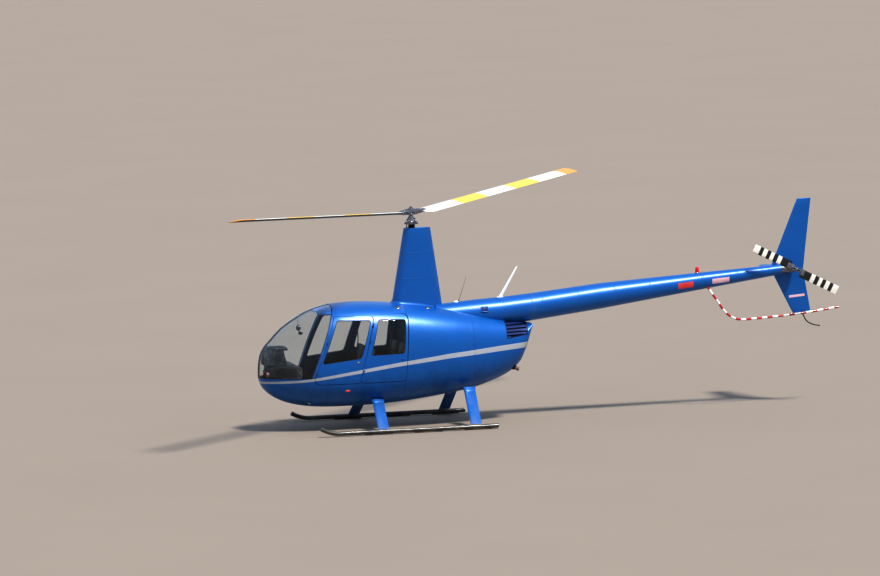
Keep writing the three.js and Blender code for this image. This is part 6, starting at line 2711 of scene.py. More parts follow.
@dataclass
class LandingGear:
    """Two skids on four faired legs."""

    skin: Skin
    skid_y: float = 1.090
    skid_radius: float = 0.032
    skid_z: float = 0.045
    skid_rear: float = -1.010
    bend: float = 1.400
    tip: Point2 = (1.690, 0.130)
    shoe_length: float = 0.420
    shoe_width: float = 0.044
    shoes: tuple[float, ...] = (-0.700, 0.060, 0.820)
    leg_top_y: float = 0.440
    leg_foot_z: float = 0.050
    leg_chord: float = 0.172
    leg_thick: float = 0.052
    leg_start_z: float = 0.070
    saddle_shift: float = 0.048
    legs: tuple[tuple[str, float, float, float], ...] = (
        ("front_leg", 0.685, 0.470, 0.738), ("rear_leg", -0.722, 0.575, -0.672)
    )
    cuff: tuple[Point2, ...] = ((0.885, 0.0012), (0.892, 0.0045), (0.94, 0.008), (0.99, 0.013))
    hoop: tuple[Point2, ...] = ((-0.014, 0.0330), (-0.012, 0.0350), (0.012, 0.0350), (0.014, 0.0330))
    tail_cap: tuple[Point2, ...] = ((0.004, 1.0), (0.0, 1.0), (-0.006, 0.96), (-0.010, 0.86), (-0.012, 0.68))
    nose_cap: tuple[Point2, ...] = (
        (-0.040, 1.0), (-0.030, 1.03), (-0.012, 1.03), (-0.008, 0.98), (-0.002, 0.80), (0.0, 0.5)
    )

    def build(self) -> None:
        """Makes the gear of both sides."""
        for side in Side:
            self.skid(side)
            for name, top_x, top_z, foot_x in self.legs:
                self.leg(name, top_x, top_z, foot_x, side)

    def skid(self, side: Side) -> None:
        """A skid tube with closed ends, its shoes and their bolts.

        Args:
            side: The side of the aircraft.
        """
        path = [
            Vector((mixed(self.skid_rear + 0.012, self.bend, k / 12), self.skid_y, self.skid_z))
            for k in range(13)
        ]
        middle = (self.bend + self.tip[0]) / 2
        for k in range(1, 11):
            u = k / 10
            x = self.bend * (1 - u) ** 2 + middle * 2 * u * (1 - u) + self.tip[0] * u**2
            z = self.skid_z * (1 - u) ** 2 + self.skid_z * 2 * u * (1 - u) + self.tip[1] * u**2
            path.append(Vector((x, self.skid_y, z)))
        made = tube(path, self.skid_radius, 28)
        lean = (path[-1] - path[-2]).normalized()
        for start, way, sizes in ((path[0], AHEAD, self.tail_cap), (path[-1], lean, self.nose_cap)):
            merge(made, spindle(start, way, [(reach, self.skid_radius * share) for reach, share in sizes]))
        side_piece(side, "skid_tube", made, SKID_PAINT, replaces=["skid"], slot="skid_black")
        shoes = empty_mesh()
        for x in self.shoes:
            half, wide = self.shoe_length / 2, self.shoe_width / 2
            merge(
                shoes,
                block((x - half, self.skid_y - wide, 0.0), (x + half, self.skid_y + wide, 0.0165), 0.004),
            )
            for shift in (-0.16, 0.0, 0.16):
                for sign in (1, -1):
                    y = self.skid_y + sign * (wide - 0.001)
                    start, end = (x + shift, y - sign * 0.004, 0.009), (x + shift, y + sign * 0.003, 0.009)
                    merge(shoes, rod(start, end, 0.006, 6))
        side_piece(side, "skid_shoes", shoes, SHOE_METAL, slot="skid_black")

    def section(
        self, top_x: float, top_z: float, foot_x: float, share: float, growth: float = 0.0
    ) -> list[Vector]:
        """A section of a leg's fairing.

        Args:
            top_x: The station of the leg's top.
            top_z: The height of its top.
            foot_x: The station of its foot.
            share: How far up the leg the section is.
            growth: How far it is moved outwards.

        Returns:
            The section's points.
        """
        x = mixed(foot_x, top_x, share)
        y = mixed(self.skid_y, self.leg_top_y, share)
        z = mixed(self.leg_foot_z, top_z, share)
        chord, thick = self.leg_chord + 2 * growth, self.leg_thick + 2 * growth
        return [Vector((x + chord / 2 + c, y + t, z)) for c, t in aerofoil(chord, thick / chord, 18)]

    def leg(self, name: str, top_x: float, top_z: float, foot_x: float, side: Side) -> None:
        """A faired leg and the saddle on the skid.

        Args:
            name: The leg's name.
            top_x: The station of its top.
            top_z: The height of its top.
            foot_x: The station of its foot.
            side: The side of the aircraft.
        """
        sections = [self.section(top_x, top_z, foot_x, k / 16) for k in range(17)]
        made = loft([section for section in sections if section[0].z >= self.leg_start_z])
        side_piece(side, f"{name}_fairing", made, PLAIN_PAINT, replaces=[name])
        saddle = empty_mesh()
        for sign in (1, -1):
            x = foot_x + sign * self.saddle_shift
            merge(saddle, spindle(Vector((x, self.skid_y, self.skid_z)), AHEAD, self.hoop, caps=False))
            for near, far in ((0.033, 0.042), (-0.042, -0.033)):
                y, z = self.skid_y, self.skid_z
                merge(saddle, rod((x, y + near, z), (x, y + far, z), 0.007, 6, soft=0.001))
        side_piece(side, f"{name}_saddle", saddle, SKID_PAINT, slot="skid_black")


# The cabin


def strap(
    points: Sequence[Vector], facing: Vector, width: float = 0.046, thick: float = 0.0018
) -> bmesh.types.BMesh:
    """Flat webbing along points.

    Args:
        points: Its middle line.
        facing: The way that its face looks.
        width: Its width.
        thick: Its thickness.

    Returns:
        The closed strap.
    """
    section = ((1, 1), (0, 1.3), (-1, 1), (-1, -1), (0, -1.3), (1, -1))
    rings = []
    for i, point in enumerate(points):
        onward = (points[min(i + 1, len(points) - 1)] - points[max(i - 1, 0)]).normalized()
        across = onward.cross(facing).normalized() * (width / 2)
        out = across.cross(onward).normalized() * (thick / 2)
        rings.append([point + across * a + out * b for a, b in section])
    return loft(rings)


def welt(points: Sequence[Vector], radius: float, upward: Vector, sides: int = 8) -> bmesh.types.BMesh:
    """A closed cord along a closed line of points.

    Args:
        points: The line, without its first point again.
        radius: The cord's radius.
        upward: A direction square to the line.
        sides: Faces round it.

    Returns:
        The cord.
    """
    rings = []
    count = len(points)
    for i in range(count + 1):
        onward = (points[(i + 1) % count] - points[(i - 1) % count]).normalized()
        across = onward.cross(upward).normalized()
        rise = across.cross(onward)
        turns = [2 * math.pi * k / sides for k in range(sides)]
        rings.append(
            [points[i % count] + (across * math.cos(a) + rise * math.sin(a)) * radius for a in turns]
        )
    return loft(rings, caps=False)


@dataclass(frozen=True)
class Cushion:
    """A crowned cushion: a small blank, blown up as cloth and then sewn with channels and a welt.

    It is laid out flat: X up the back or forward on the seat, Y across, and Z out of its face.
    """

    size: Point3
    fill: float
    swell: float = 0.010
    cap: float = 0.014
    voxel: float = 0.010
    pressure: float = 4.0
    frames: int = 20
    channels: tuple[float, ...] = (-0.110, 0.110)
    cross_channel: float = 0.0
    channel_depth: float = 0.009
    channel_width: float = 0.013
    welt_radius: float = 0.004
    corner: float = 0.045

    def blank(self) -> bpy.types.Object:
        """The blank: a block smaller than the cushion, with rounded edges and an even mesh."""
        half = [v / 2 - self.swell for v in self.size]
        bm = block([-v for v in half], half, 0.016)
        mesh = bpy.data.meshes.new("cushion_blank")
        bm.to_mesh(mesh)
        bm.free()
        carrier = bpy.data.objects.new("cushion_blank", mesh)
        bpy.context.scene.collection.objects.link(carrier)
        voxels = carrier.modifiers.new("Voxels", "REMESH")
        voxels.mode = "VOXEL"
        voxels.voxel_size = self.voxel
        even = self.evaluated(carrier)
        carrier.modifiers.clear()
        carrier.data = even
        return carrier

    def evaluated(self, carrier: bpy.types.Object) -> bpy.types.Mesh:
        """The mesh that an object's modifiers give."""
        graph = bpy.context.evaluated_depsgraph_get()
        graph.update()
        return bpy.data.meshes.new_from_object(carrier.evaluated_get(graph))

    def blow(self, carrier: bpy.types.Object) -> None:
        """Blows the blank up as cloth, and holds every point within the cap.

        Args:
            carrier: The blank's object, whose mesh is changed.
        """
        scene = bpy.context.scene
        cloth = carrier.modifiers.new("Cloth", "CLOTH")
        cloth.settings.use_pressure = True
        cloth.settings.uniform_pressure_force = self.pressure
        cloth.settings.effector_weights.gravity = 0.0
        for number in range(1, self.frames + 1):
            scene.frame_set(number)
        blown = self.evaluated(carrier)
        carrier.modifiers.clear()
        scene.frame_set(1)
        for vert, far in zip(carrier.data.vertices, blown.vertices):
            move = far.co - vert.co
            vert.co += move * min(1.0, self.cap / max(move.length, 1e-9))
        bpy.data.meshes.remove(blown)

    def sewn(self) -> tuple[bmesh.types.BMesh, bmesh.types.BMesh]:
        """Makes the cushion and its welt.

        Returns:
            The cushion and the welt.
        """
        carrier = self.blank()
        self.blow(carrier)
        bpy.context.view_layer.update()
        length, width, thick = (v / 2 for v in self.size)
        r = self.corner
        corners = [(length, width), (-length, width), (-length, -width), (length, -width)]
        line = []
        for x, y in spaced(rounded(corners, [r] * 4), 0.012, closed=True):
            found, near, *_ = carrier.closest_point_on_mesh(Vector((x, y, thick * 0.45)))
            line.append(near if found else Vector((x, y, thick * 0.45)))
        for _ in range(2):
            line = [(line[i - 1] + p * 2 + line[(i + 1) % len(line)]) / 4 for i, p in enumerate(line)]
        cord = welt(line, self.welt_radius, UP)
        bm = empty_mesh()
        bm.from_mesh(carrier.data)
        for vert in bm.verts:
            if vert.co.z < 0.2 * thick:
                continue
            lines = [vert.co.y - at for at in self.channels]
            if self.cross_channel:
                lines.append(vert.co.x - self.cross_channel)
            for gap in lines:
                vert.co.z -= self.channel_depth * math.exp(-((gap / self.channel_width) ** 2))
        bpy.data.objects.remove(carrier)
        return bm, cord


@dataclass
class Seats:
    """Four seats, each a pad and a back with welts, belts and buckles."""

    rows: tuple[tuple[str, float, float], ...] = (("front_seat", 0.960, 0.7005), ("rear_seat", 0.440, 0.7405))
    y: float = 0.275
    depth: float = 0.380
    pad: Cushion = Cushion((0.304, 0.436, 0.088), 0.7)
    back: Cushion = Cushion((0.530, 0.430, 0.078), 0.6, cross_channel=0.080)
    recline: float = 8.0
    over_shoulder: Point3 = (-0.078, 0.410, 0.575)
    down_back: tuple[Point2, ...] = ((0.395, 0.520), (0.330, 0.360), (0.200, 0.180))
    across_lap: tuple[Point3, ...] = ((0.020, 0.482, 0.004), (0.080, 0.440, 0.020), (0.130, 0.275, 0.026))
    buckle: Point3 = (0.045, 0.072, 0.022)
    anchors: tuple[Point3, ...] = ((0.742, 0.596, 1.600), (0.205, 0.540, 1.560))

    def build(self) -> None:
        """Makes the cushions once, and copies them to the four seats."""
        kinds = {}
        for word, cushion in (("pad", self.pad), ("back", self.back)):
            carriers = []
            for bm in cushion.sewn():
                mesh = bpy.data.meshes.new("cushion_pattern")
                bm.to_mesh(mesh)
                bm.free()
                carriers.append(mesh)
            kinds[word] = (cushion, *carriers)
        for (name, x, base), anchor in zip(self.rows, self.anchors):
            for side in Side:
                for word, (cushion, body, cord) in kinds.items():
                    self.cushion(name, word, self.place(word, x, base), side, cushion, body, cord)
                self.belts(name, x, base, anchor, side)

    def place(self, word: str, x: float, base: float) -> Matrix:
        """Where a cushion lies on the port side.

        Args:
            word: Which of the two it is.
            x: The seat's station.
            base: The height that it stands on.

        Returns:
            Its place and turn.
        """
        rear = x - self.depth / 2
        if word == "pad":
            return Matrix.Translation(
                (x + self.depth / 2 - self.pad.size[0] / 2, self.y, base + self.pad.size[2] / 2)
            )
        lean = math.radians(self.recline)
        up = Vector((-math.sin(lean), 0, math.cos(lean)))
        out = Vector((math.cos(lean), 0, math.sin(lean)))
        turn = Matrix((up, Vector((0, -1, 0)), out)).transposed().to_4x4()
        middle = Vector((rear, self.y, base + 0.004)) + up * (self.back.size[0] / 2) + out * (
            self.back.size[2] / 2
        )
        return Matrix.Translation(middle) @ turn

    def cushion(
        self, name: str, word: str, place: Matrix, side: Side, cushion: Cushion, body: bpy.types.Mesh,
        cord: bpy.types.Mesh,
    ) -> None:
        """Lays one cushion and its welt.

        Args:
            name: The seat's name.
            word: Which cushion it is.
            place: Its place and turn on the port side.
            side: The side of the aircraft.
            cushion: Its sizes; not used.
            body: Its mesh, laid flat.
            cord: Its welt, laid flat.
        """
        for mesh, label, finish in ((body, word, LEATHER), (cord, f"{word}_welt", PIPING)):
            bm = empty_mesh()
            bm.from_mesh(mesh)
            put_at(bm, place)
            replaced = [name] if mesh is body else []
            made = side_piece(
                side, f"{name}_{label}", bm, finish, replaces=replaced, slot="seat_cover"
            )
            if mesh is body:
                fine = made.modifiers.new("Fine", "SUBSURF")
                fine.levels = fine.render_levels = 1

    def belts(self, name: str, x: float, base: float, anchor: Point3, side: Side) -> None:
        """The shoulder strap, the two halves of the lap strap, and the buckle between the seats.

        Args:
            name: The seat's name.
            x: The seat's station.
            base: The height that it stands on.
            anchor: Where the shoulder strap is bolted.
            side: The side of the aircraft.
        """
        front = x - self.depth / 2 + self.back.size[2] + 0.004
        lean = math.tan(math.radians(self.recline))
        seat = base + self.pad.size[2]

        def at(place: Point3, level: float) -> Point3:
            """A point of a belt, ahead of the back's front and above a level."""
            return (front + place[0], place[1], level + place[2])

        def on_back(y: float, rise: float) -> Point3:
            """A point just in front of the seat's back."""
            return (front - lean * rise + 0.010, y, base + rise)

        shoulder = [anchor, at(self.over_shoulder, base), *(on_back(y, rise) for y, rise in self.down_back)]
        buckle = at(self.buckle, seat)
        webbing = strap(smooth_path([*shoulder, buckle], 6), Vector((1, 0, 0.25)))
        lap = [*(at(place, seat) for place in self.across_lap), buckle]
        merge(webbing, strap(smooth_path(lap, 6), Vector((0.5, 0, 1))))
        side_piece(side, f"{name}_belts", webbing, WEBBING, slot="seat_cover")
        x0, y0, z0 = buckle
        metal = block((x0 - 0.022, y0 - 0.010, z0 - 0.014), (x0 + 0.030, y0 + 0.010, z0 + 0.016), 0.004)
        merge(metal, rod((x0 - 0.02, y0, z0), (x0 - 0.060, y0 - 0.010, base + 0.030), 0.004, 8))
        x, y, z = anchor
        merge(metal, rod((x, y - 0.004, z), (x, y + 0.012, z), 0.016, 16, soft=0.002))
        side_piece(side, f"{name}_buckle", metal, BRIGHT_METAL, slot="rotor_metal")


@dataclass
class Cabin:
    """The console, the controls and the small things inside the glass."""

    skin: Skin
    console_rear: float = 1.990
    console_front: float = 2.330
    console_half: float = 0.240
    console_low: float = 1.010
    console_top: float = 1.275
    pedestal_rear: float = 1.830
    pedestal_front: float = 1.960
    deck_front: float = 2.270
    deck_low: float = 0.812
    deck_top: float = 0.985
    deck_rise: float = 0.08
    pedestal_half: float = 0.160
    floor_z: float = 0.4205
    glass_gap: float = 0.034
    dial_radius: float = 0.036
    stick_x: float = 1.400
    stick_top: float = 0.900
    bar_half: float = 0.408
    face_setback: float = 0.012
    face_rake: float = 0.22
    dial_rise: float = 0.115
    pod_top: float = 1.235
    hood_low: float = 1.238
    pedestal_top: float = 1.005
    pedestal_lean: float = 0.050
    dial_rows: tuple[float, ...] = (0.052, -0.048)
    dial_columns: int = 4
    dial_pitch: float = 0.090
    switch_count: int = 7
    switch_pitch: float = 0.028
    switch_at: Point2 = (0.047, 0.965)
    gaiter: tuple[Point2, ...] = (
        (0.0145, 0.0), (0.060, 0.0), (0.060, 0.006), (0.046, 0.014), (0.050, 0.022), (0.034, 0.034),
        (0.038, 0.042), (0.024, 0.056), (0.026, 0.064), (0.0145, 0.080),
    )
    stick_grip: tuple[Point2, ...] = (
        (-0.006, 0.0120), (0.0, 0.0145), (0.020, 0.0150), (0.036, 0.0135), (0.050, 0.0150),
        (0.066, 0.0138), (0.080, 0.0150), (0.094, 0.0146), (0.0985, 0.0120),
    )
    lever_ys: tuple[float, ...] = (0.528, -0.022)
    lever_path: tuple[Point2, ...] = ((0.800, 0.730), (0.980, 0.770), (1.160, 0.835), (1.290, 0.890))
    lever_radius: float = 0.009
    button_rise: float = 0.084
    lever_grip: tuple[Point2, ...] = (
        (-0.105, 0.0110), (-0.100, 0.0165), (-0.060, 0.0150), (-0.020, 0.0160), (0.004, 0.0165),
        (0.010, 0.0120),
    )
    pedal_ys: tuple[float, ...] = (0.205, 0.325, -0.205, -0.325)
    pedal_foot_x: float = 1.700
    pedal_arm_x: float = 1.745
    pedal_arm_z: Point2 = (0.480, 0.560)
    pedal_face_z: Point2 = (0.530, 0.600)
    pedal_rib_z: float = 0.541
    pedal_rib_gap: float = 0.012
    pedal_rib_count: int = 5
    compass_x: float = 1.768
    compass_top: float = 1.575
    compass_case: tuple[Point2, ...] = (
        (0.0, 0.012), (-0.006, 0.028), (-0.020, 0.033), (-0.062, 0.033), (-0.070, 0.026), (-0.074, 0.010)
    )
    compass_lens: tuple[Point2, ...] = ((-0.030, 0.020), (-0.034, 0.020), (-0.036, 0.015))
    bowl: tuple[Point2, ...] = (
        (0.0, 0.012), (0.006, 0.022), (0.020, 0.034), (0.044, 0.043), (0.044, 0.040), (0.022, 0.031),
        (0.010, 0.018),
    )
    rim: tuple[Point2, ...] = ((0.0, 0.046), (0.010, 0.046), (0.014, 0.040), (0.016, 0.020))
    lamp_y: float = 0.150
    lamp_z: float = 0.872
    bowl_x: float = 2.240
    rim_x: float = 2.2845

    def build(self) -> None:
        """Dresses the floor, the bulkhead and the engine, and makes what stands inside."""
        for node, finish in (("cabin_floor", CARPET), ("firewall", LINER), ("engine_block", ENGINE_CAST)):
            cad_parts[node].material_slots[0].material = finish.material()
        Seats().build()
        self.console()
        self.dials()
        self.cyclic()
        self.levers()
        self.pedals()
        self.compass()
        self.landing_lamps()

    def fit(self, bm: bmesh.types.BMesh) -> None:
        """Draws a shape in wherever it would reach the glass.

        Args:
            bm: The shape, changed in place.
        """
        for vert in bm.verts:
            x, y, z = vert.co
            for _ in range(30):
                room = self.skin.half_width(x, z) - self.glass_gap
                roof = self.skin.height(x, min(abs(y), room), True) - self.glass_gap
                if abs(y) <= room and z <= roof:
                    break
                y = math.copysign(min(abs(y), max(room, 0.01)), y)
                z = min(z, roof) if z > roof else z
                x -= 0.004
            vert.co = (x, y, z)

    def console(self) -> None:
        """The pedestal, the pod with its overhanging hood, and the switch panel."""
        pod = block(
            (self.console_rear, -self.console_half, self.console_low),
            (self.console_front, self.console_half, self.pod_top),
        )
        for vert in pod.verts:
            if vert.co.x < self.console_rear + 0.01:
                vert.co.x += self.face_setback + self.face_rake * (vert.co.z - self.console_low)
        bmesh.ops.subdivide_edges(pod, edges=pod.edges, cuts=6, use_grid_fill=True)
        self.fit(pod)
        soften(pod, 0.008, 3, 45)
        hood = block(
            (self.console_rear, -self.console_half, self.hood_low),
            (self.console_front, self.console_half, self.console_top),
        )
        bmesh.ops.subdivide_edges(hood, edges=hood.edges, cuts=9, use_grid_fill=True)
        for vert in hood.verts:
            if vert.co.z > self.hood_low + 0.012:
                vert.co.z -= 0.35 * vert.co.y**2
            else:
                vert.co.z += 0.010 - 0.18 * vert.co.y**2
        self.fit(hood)
        soften(hood, 0.006, 3, 45)
        low = block(
            (self.pedestal_rear, -self.pedestal_half, self.floor_z),
            (self.pedestal_front, self.pedestal_half, self.pedestal_top),
        )
        for vert in low.verts:
            if vert.co.z > 0.9 and vert.co.x < 1.9:
                vert.co.x += self.pedestal_lean
        bmesh.ops.subdivide_edges(low, edges=low.edges, cuts=6, use_grid_fill=True)
        self.fit(low)
        soften(low, 0.012, 3, 45)
        piece("console_pod", merge(pod, low), CONSOLE, replaces=["instrument_console"], slot="cabin_trim")
        piece("console_hood", hood, CONSOLE, slot="cabin_trim")

    def dials(self) -> None:
        """Two rows of round dials, a screen, a radio and a row of switches on the face of the console."""
        tilt = math.atan(self.face_rake)
        face = Vector((-math.cos(tilt), 0, math.sin(tilt)))
        across = Vector((0, -1, 0))
        turn = Matrix((across, face.cross(across), face)).transposed().to_4x4()
        x = self.console_rear + self.face_setback + self.face_rake * self.dial_rise
        middle = Vector((x, 0, self.console_low + self.dial_rise)) + face * 0.0004
        place = Matrix.Translation(middle) @ turn
        rims, faces, marks, screens = (empty_mesh() for _ in range(4))
        random.seed(44)
        for row, z in enumerate(self.dial_rows):
            for column in range(self.dial_columns):
                x = (column - (self.dial_columns - 1) / 2) * self.dial_pitch
                if row and column in (1, 2):
                    continue
                self.dial(rims, faces, marks, x, z)
        merge(rims, block((-0.075, -0.096, 0.0), (0.075, -0.004, 0.006), 0.002))
        merge(screens, block((-0.066, -0.086, 0.005), (0.066, -0.016, 0.0068), 0.001))
        for k in range(self.switch_count):
            x = (k - self.switch_count // 2) * self.switch_pitch
            foot = place.inverted() @ Vector((self.pedestal_rear + self.switch_at[0], x, self.switch_at[1]))
            merge(rims, rod(foot, foot + Vector((0, 0, 0.012)), 0.0035, 8, soft=0.0006))
        for name, bm, finish in (
            ("dial_rims", rims, CONSOLE), ("dial_faces", faces, DIAL), ("dial_marks", marks, DIAL_MARK),
            ("console_screen", screens, SCREEN),
        ):
            put_at(bm, place)
            piece(name, bm, finish, slot="cabin_trim")

    def dial(
        self, rims: bmesh.types.BMesh, faces: bmesh.types.BMesh, marks: bmesh.types.BMesh, x: float, y: float
    ) -> None:
        """Adds a round dial with marks and a needle.

        Args:
            rims: Takes its rim.
            faces: Takes its face.
            marks: Takes its marks and needle.
            x: Its place across the console.
            y: Its place up the console.
        """
        r = self.dial_radius
        sizes = ((0.0, r + 0.005), (0.005, r + 0.005), (0.007, r + 0.003), (0.007, r), (0.003, r), (0.0, r))
        merge(rims, spindle(Vector((x, y, 0)), UP, sizes, caps=False))
        merge(faces, rod((x, y, 0.0), (x, y, 0.003), r, 28))
        for k in range(12):
            turn = 2 * math.pi * k / 12
            tick = block((r * 0.78, -0.0009, 0.003), (r * 0.94, 0.0009, 0.0036))
            put_at(tick, Matrix.Translation((x, y, 0)) @ Matrix.Rotation(turn, 4, "Z"))
            merge(marks, tick)
        needle = block((-r * 0.15, -0.0011, 0.0042), (r * 0.72, 0.0011, 0.0050), 0.0003)
        turn = random.uniform(0, 2 * math.pi)
        put_at(needle, Matrix.Translation((x, y, 0)) @ Matrix.Rotation(turn, 4, "Z"))
        merge(marks, needle, rod((x, y, 0.003), (x, y, 0.0056), 0.0035, 12, soft=0.0005))

    def cyclic(self) -> None:
        """The control stick: a boot, a column, a pivot, a cross bar and two grips."""
        x, top = self.stick_x, self.stick_top
        boot = revolve([(r, self.floor_z + rise) for r, rise in self.gaiter], 28)
        bmesh.ops.translate(boot, vec=(x, 0, 0), verts=boot.verts)
        piece("stick_boot", boot, SEAL_RUBBER, slot="cabin_trim")
        made = rod((x, 0, self.floor_z), (x, 0, top - 0.020), 0.014, 20, far=0.012, soft=0.001)
        merge(made, block((x - 0.022, -0.026, top - 0.026), (x + 0.022, 0.026, top + 0.016), 0.005))
        merge(made, rod((x - 0.028, 0, top), (x + 0.028, 0, top), 0.009, 12, soft=0.001))
        bends = ((-self.bar_half, 0.004), (-0.2, 0.001), (0.2, 0.001), (self.bar_half, 0.004))
        bar = smooth_path([(x, y, top + lift) for y, lift in bends], 8)
        merge(made, tube(bar, 0.010, 16))
        piece("stick_column", made, BRIGHT_METAL, replaces=["cyclic_stick"], slot="cabin_trim")
        grips, buttons = empty_mesh(), empty_mesh()
        for side in Side:
            y = side.value * self.bar_half
            merge(grips, spindle(Vector((x, y, top)), UP, self.stick_grip, 20))
            near, far = (x + 0.008, y - 0.005, top + 0.050), (x + 0.0145, y + 0.005, top + 0.074)
            merge(grips, block(near, far, 0.002))
            z = top + self.button_rise
            merge(buttons, rod((x - 0.016, y, z), (x - 0.010, y, z), 0.004, 12, soft=0.0006))
        piece("stick_grips", grips, CONSOLE, slot="cabin_trim")
        piece("stick_buttons", buttons, LAMP_RED, slot="lamp_red")

    def levers(self) -> None:
        """The two collective levers beside the front seats, each with a pivot and a twist grip."""
        metal, grips = empty_mesh(), empty_mesh()
        for y in self.lever_ys:
            path = smooth_path([(x, y, z) for x, z in self.lever_path], 6)
            merge(metal, tube(path, self.lever_radius, 14))
            merge(metal, rod((0.790, y - 0.016, 0.726), (0.790, y + 0.016, 0.726), 0.016, 16, soft=0.002))
            start, end = path[-4], path[-1]
            lean = (end - start).normalized()
            merge(grips, spindle(end, lean, self.lever_grip, 20))
        piece("lever_tubes", metal, BRIGHT_METAL, slot="cabin_trim")
        piece("lever_grips", grips, CONSOLE, slot="cabin_trim")

    def pedals(self) -> None:
        """Four pedals on arms from the floor, with ribbed faces."""
        arms, faces = empty_mesh(), empty_mesh()
        foot, x, z = self.pedal_foot_x, self.pedal_arm_x, self.floor_z + 0.008
        low, high = self.pedal_face_z
        for y in self.pedal_ys:
            bends = [(foot, y, self.floor_z + 0.006), *((x, y, bend) for bend in self.pedal_arm_z)]
            merge(arms, tube(smooth_path(bends, 5), 0.007, 12))
            merge(arms, rod((foot, y - 0.020, z), (foot, y + 0.020, z), 0.010, 14, soft=0.001))
            merge(faces, block((x - 0.009, y - 0.040, low), (x + 0.003, y + 0.040, high), 0.004))
            for k in range(self.pedal_rib_count):
                rib = self.pedal_rib_z + k * self.pedal_rib_gap
                start, end = (x - 0.0115, y - 0.034, rib - 0.0025), (x - 0.0085, y + 0.034, rib + 0.0025)
                merge(faces, block(start, end, 0.001))
        piece("pedal_arms", arms, BRIGHT_METAL, slot="cabin_trim")
        piece("pedal_faces", faces, CONSOLE, slot="cabin_trim")

    def compass(self) -> None:
        """The compass and the air knob that hang from the windshield's bow."""
        x, top = self.compass_x, self.compass_top
        made = rod((x + 0.007, 0, top + 0.111), (x + 0.001, 0, top - 0.005), 0.0035, 10)
        merge(made, spindle(Vector((x, 0, top)), UP, self.compass_case, 24))
        neck = [(x, 0, top - 0.065), (x - 0.010, 0, top - 0.087), (x - 0.026, 0, top - 0.105)]
        merge(made, tube(smooth_path(neck, 4), 0.008, 10))
        merge(made, ball((x - 0.032, 0, top - 0.121), 0.034, (1.1, 1, 0.62)))
        piece("compass_case", made, CONSOLE, slot="cabin_trim")
        lens = spindle(Vector((x, 0, top - 0.041)), AHEAD, self.compass_lens, 20)
        piece("compass_lens", lens, SCREEN, slot="cabin_trim")

    def landing_lamps(self) -> None:
        """The dark deck behind the nose glass, and the two lamps in front of it."""
        bowls, rims = empty_mesh(), empty_mesh()
        for side in Side:
            y = side.value * self.lamp_y
            merge(bowls, spindle(Vector((self.bowl_x, y, self.lamp_z)), AHEAD, self.bowl))
            merge(rims, spindle(Vector((self.rim_x, y, self.lamp_z)), AHEAD, self.rim))
        piece("landing_bowls", bowls, ANTENNA_WHITE, slot="antenna_white")
        piece("landing_rims", rims, LAMP_AMBER, slot="lamp_red")
        deck = block((self.pedestal_rear, -0.5, self.deck_low), (self.deck_front, 0.5, self.deck_top))
        bmesh.ops.subdivide_edges(deck, edges=deck.edges, cuts=8, use_grid_fill=True)
        for vert in deck.verts:
            share = (vert.co.x - self.pedestal_rear) / (self.deck_front - self.pedestal_rear)
            if vert.co.z > 0.9:
                vert.co.z += self.deck_rise * share * (1 - share)
        self.fit(deck)
        soften(deck, 0.010, 3, 45)
        piece("nose_deck", deck, CONSOLE, slot="cabin_trim")


# Small things outside


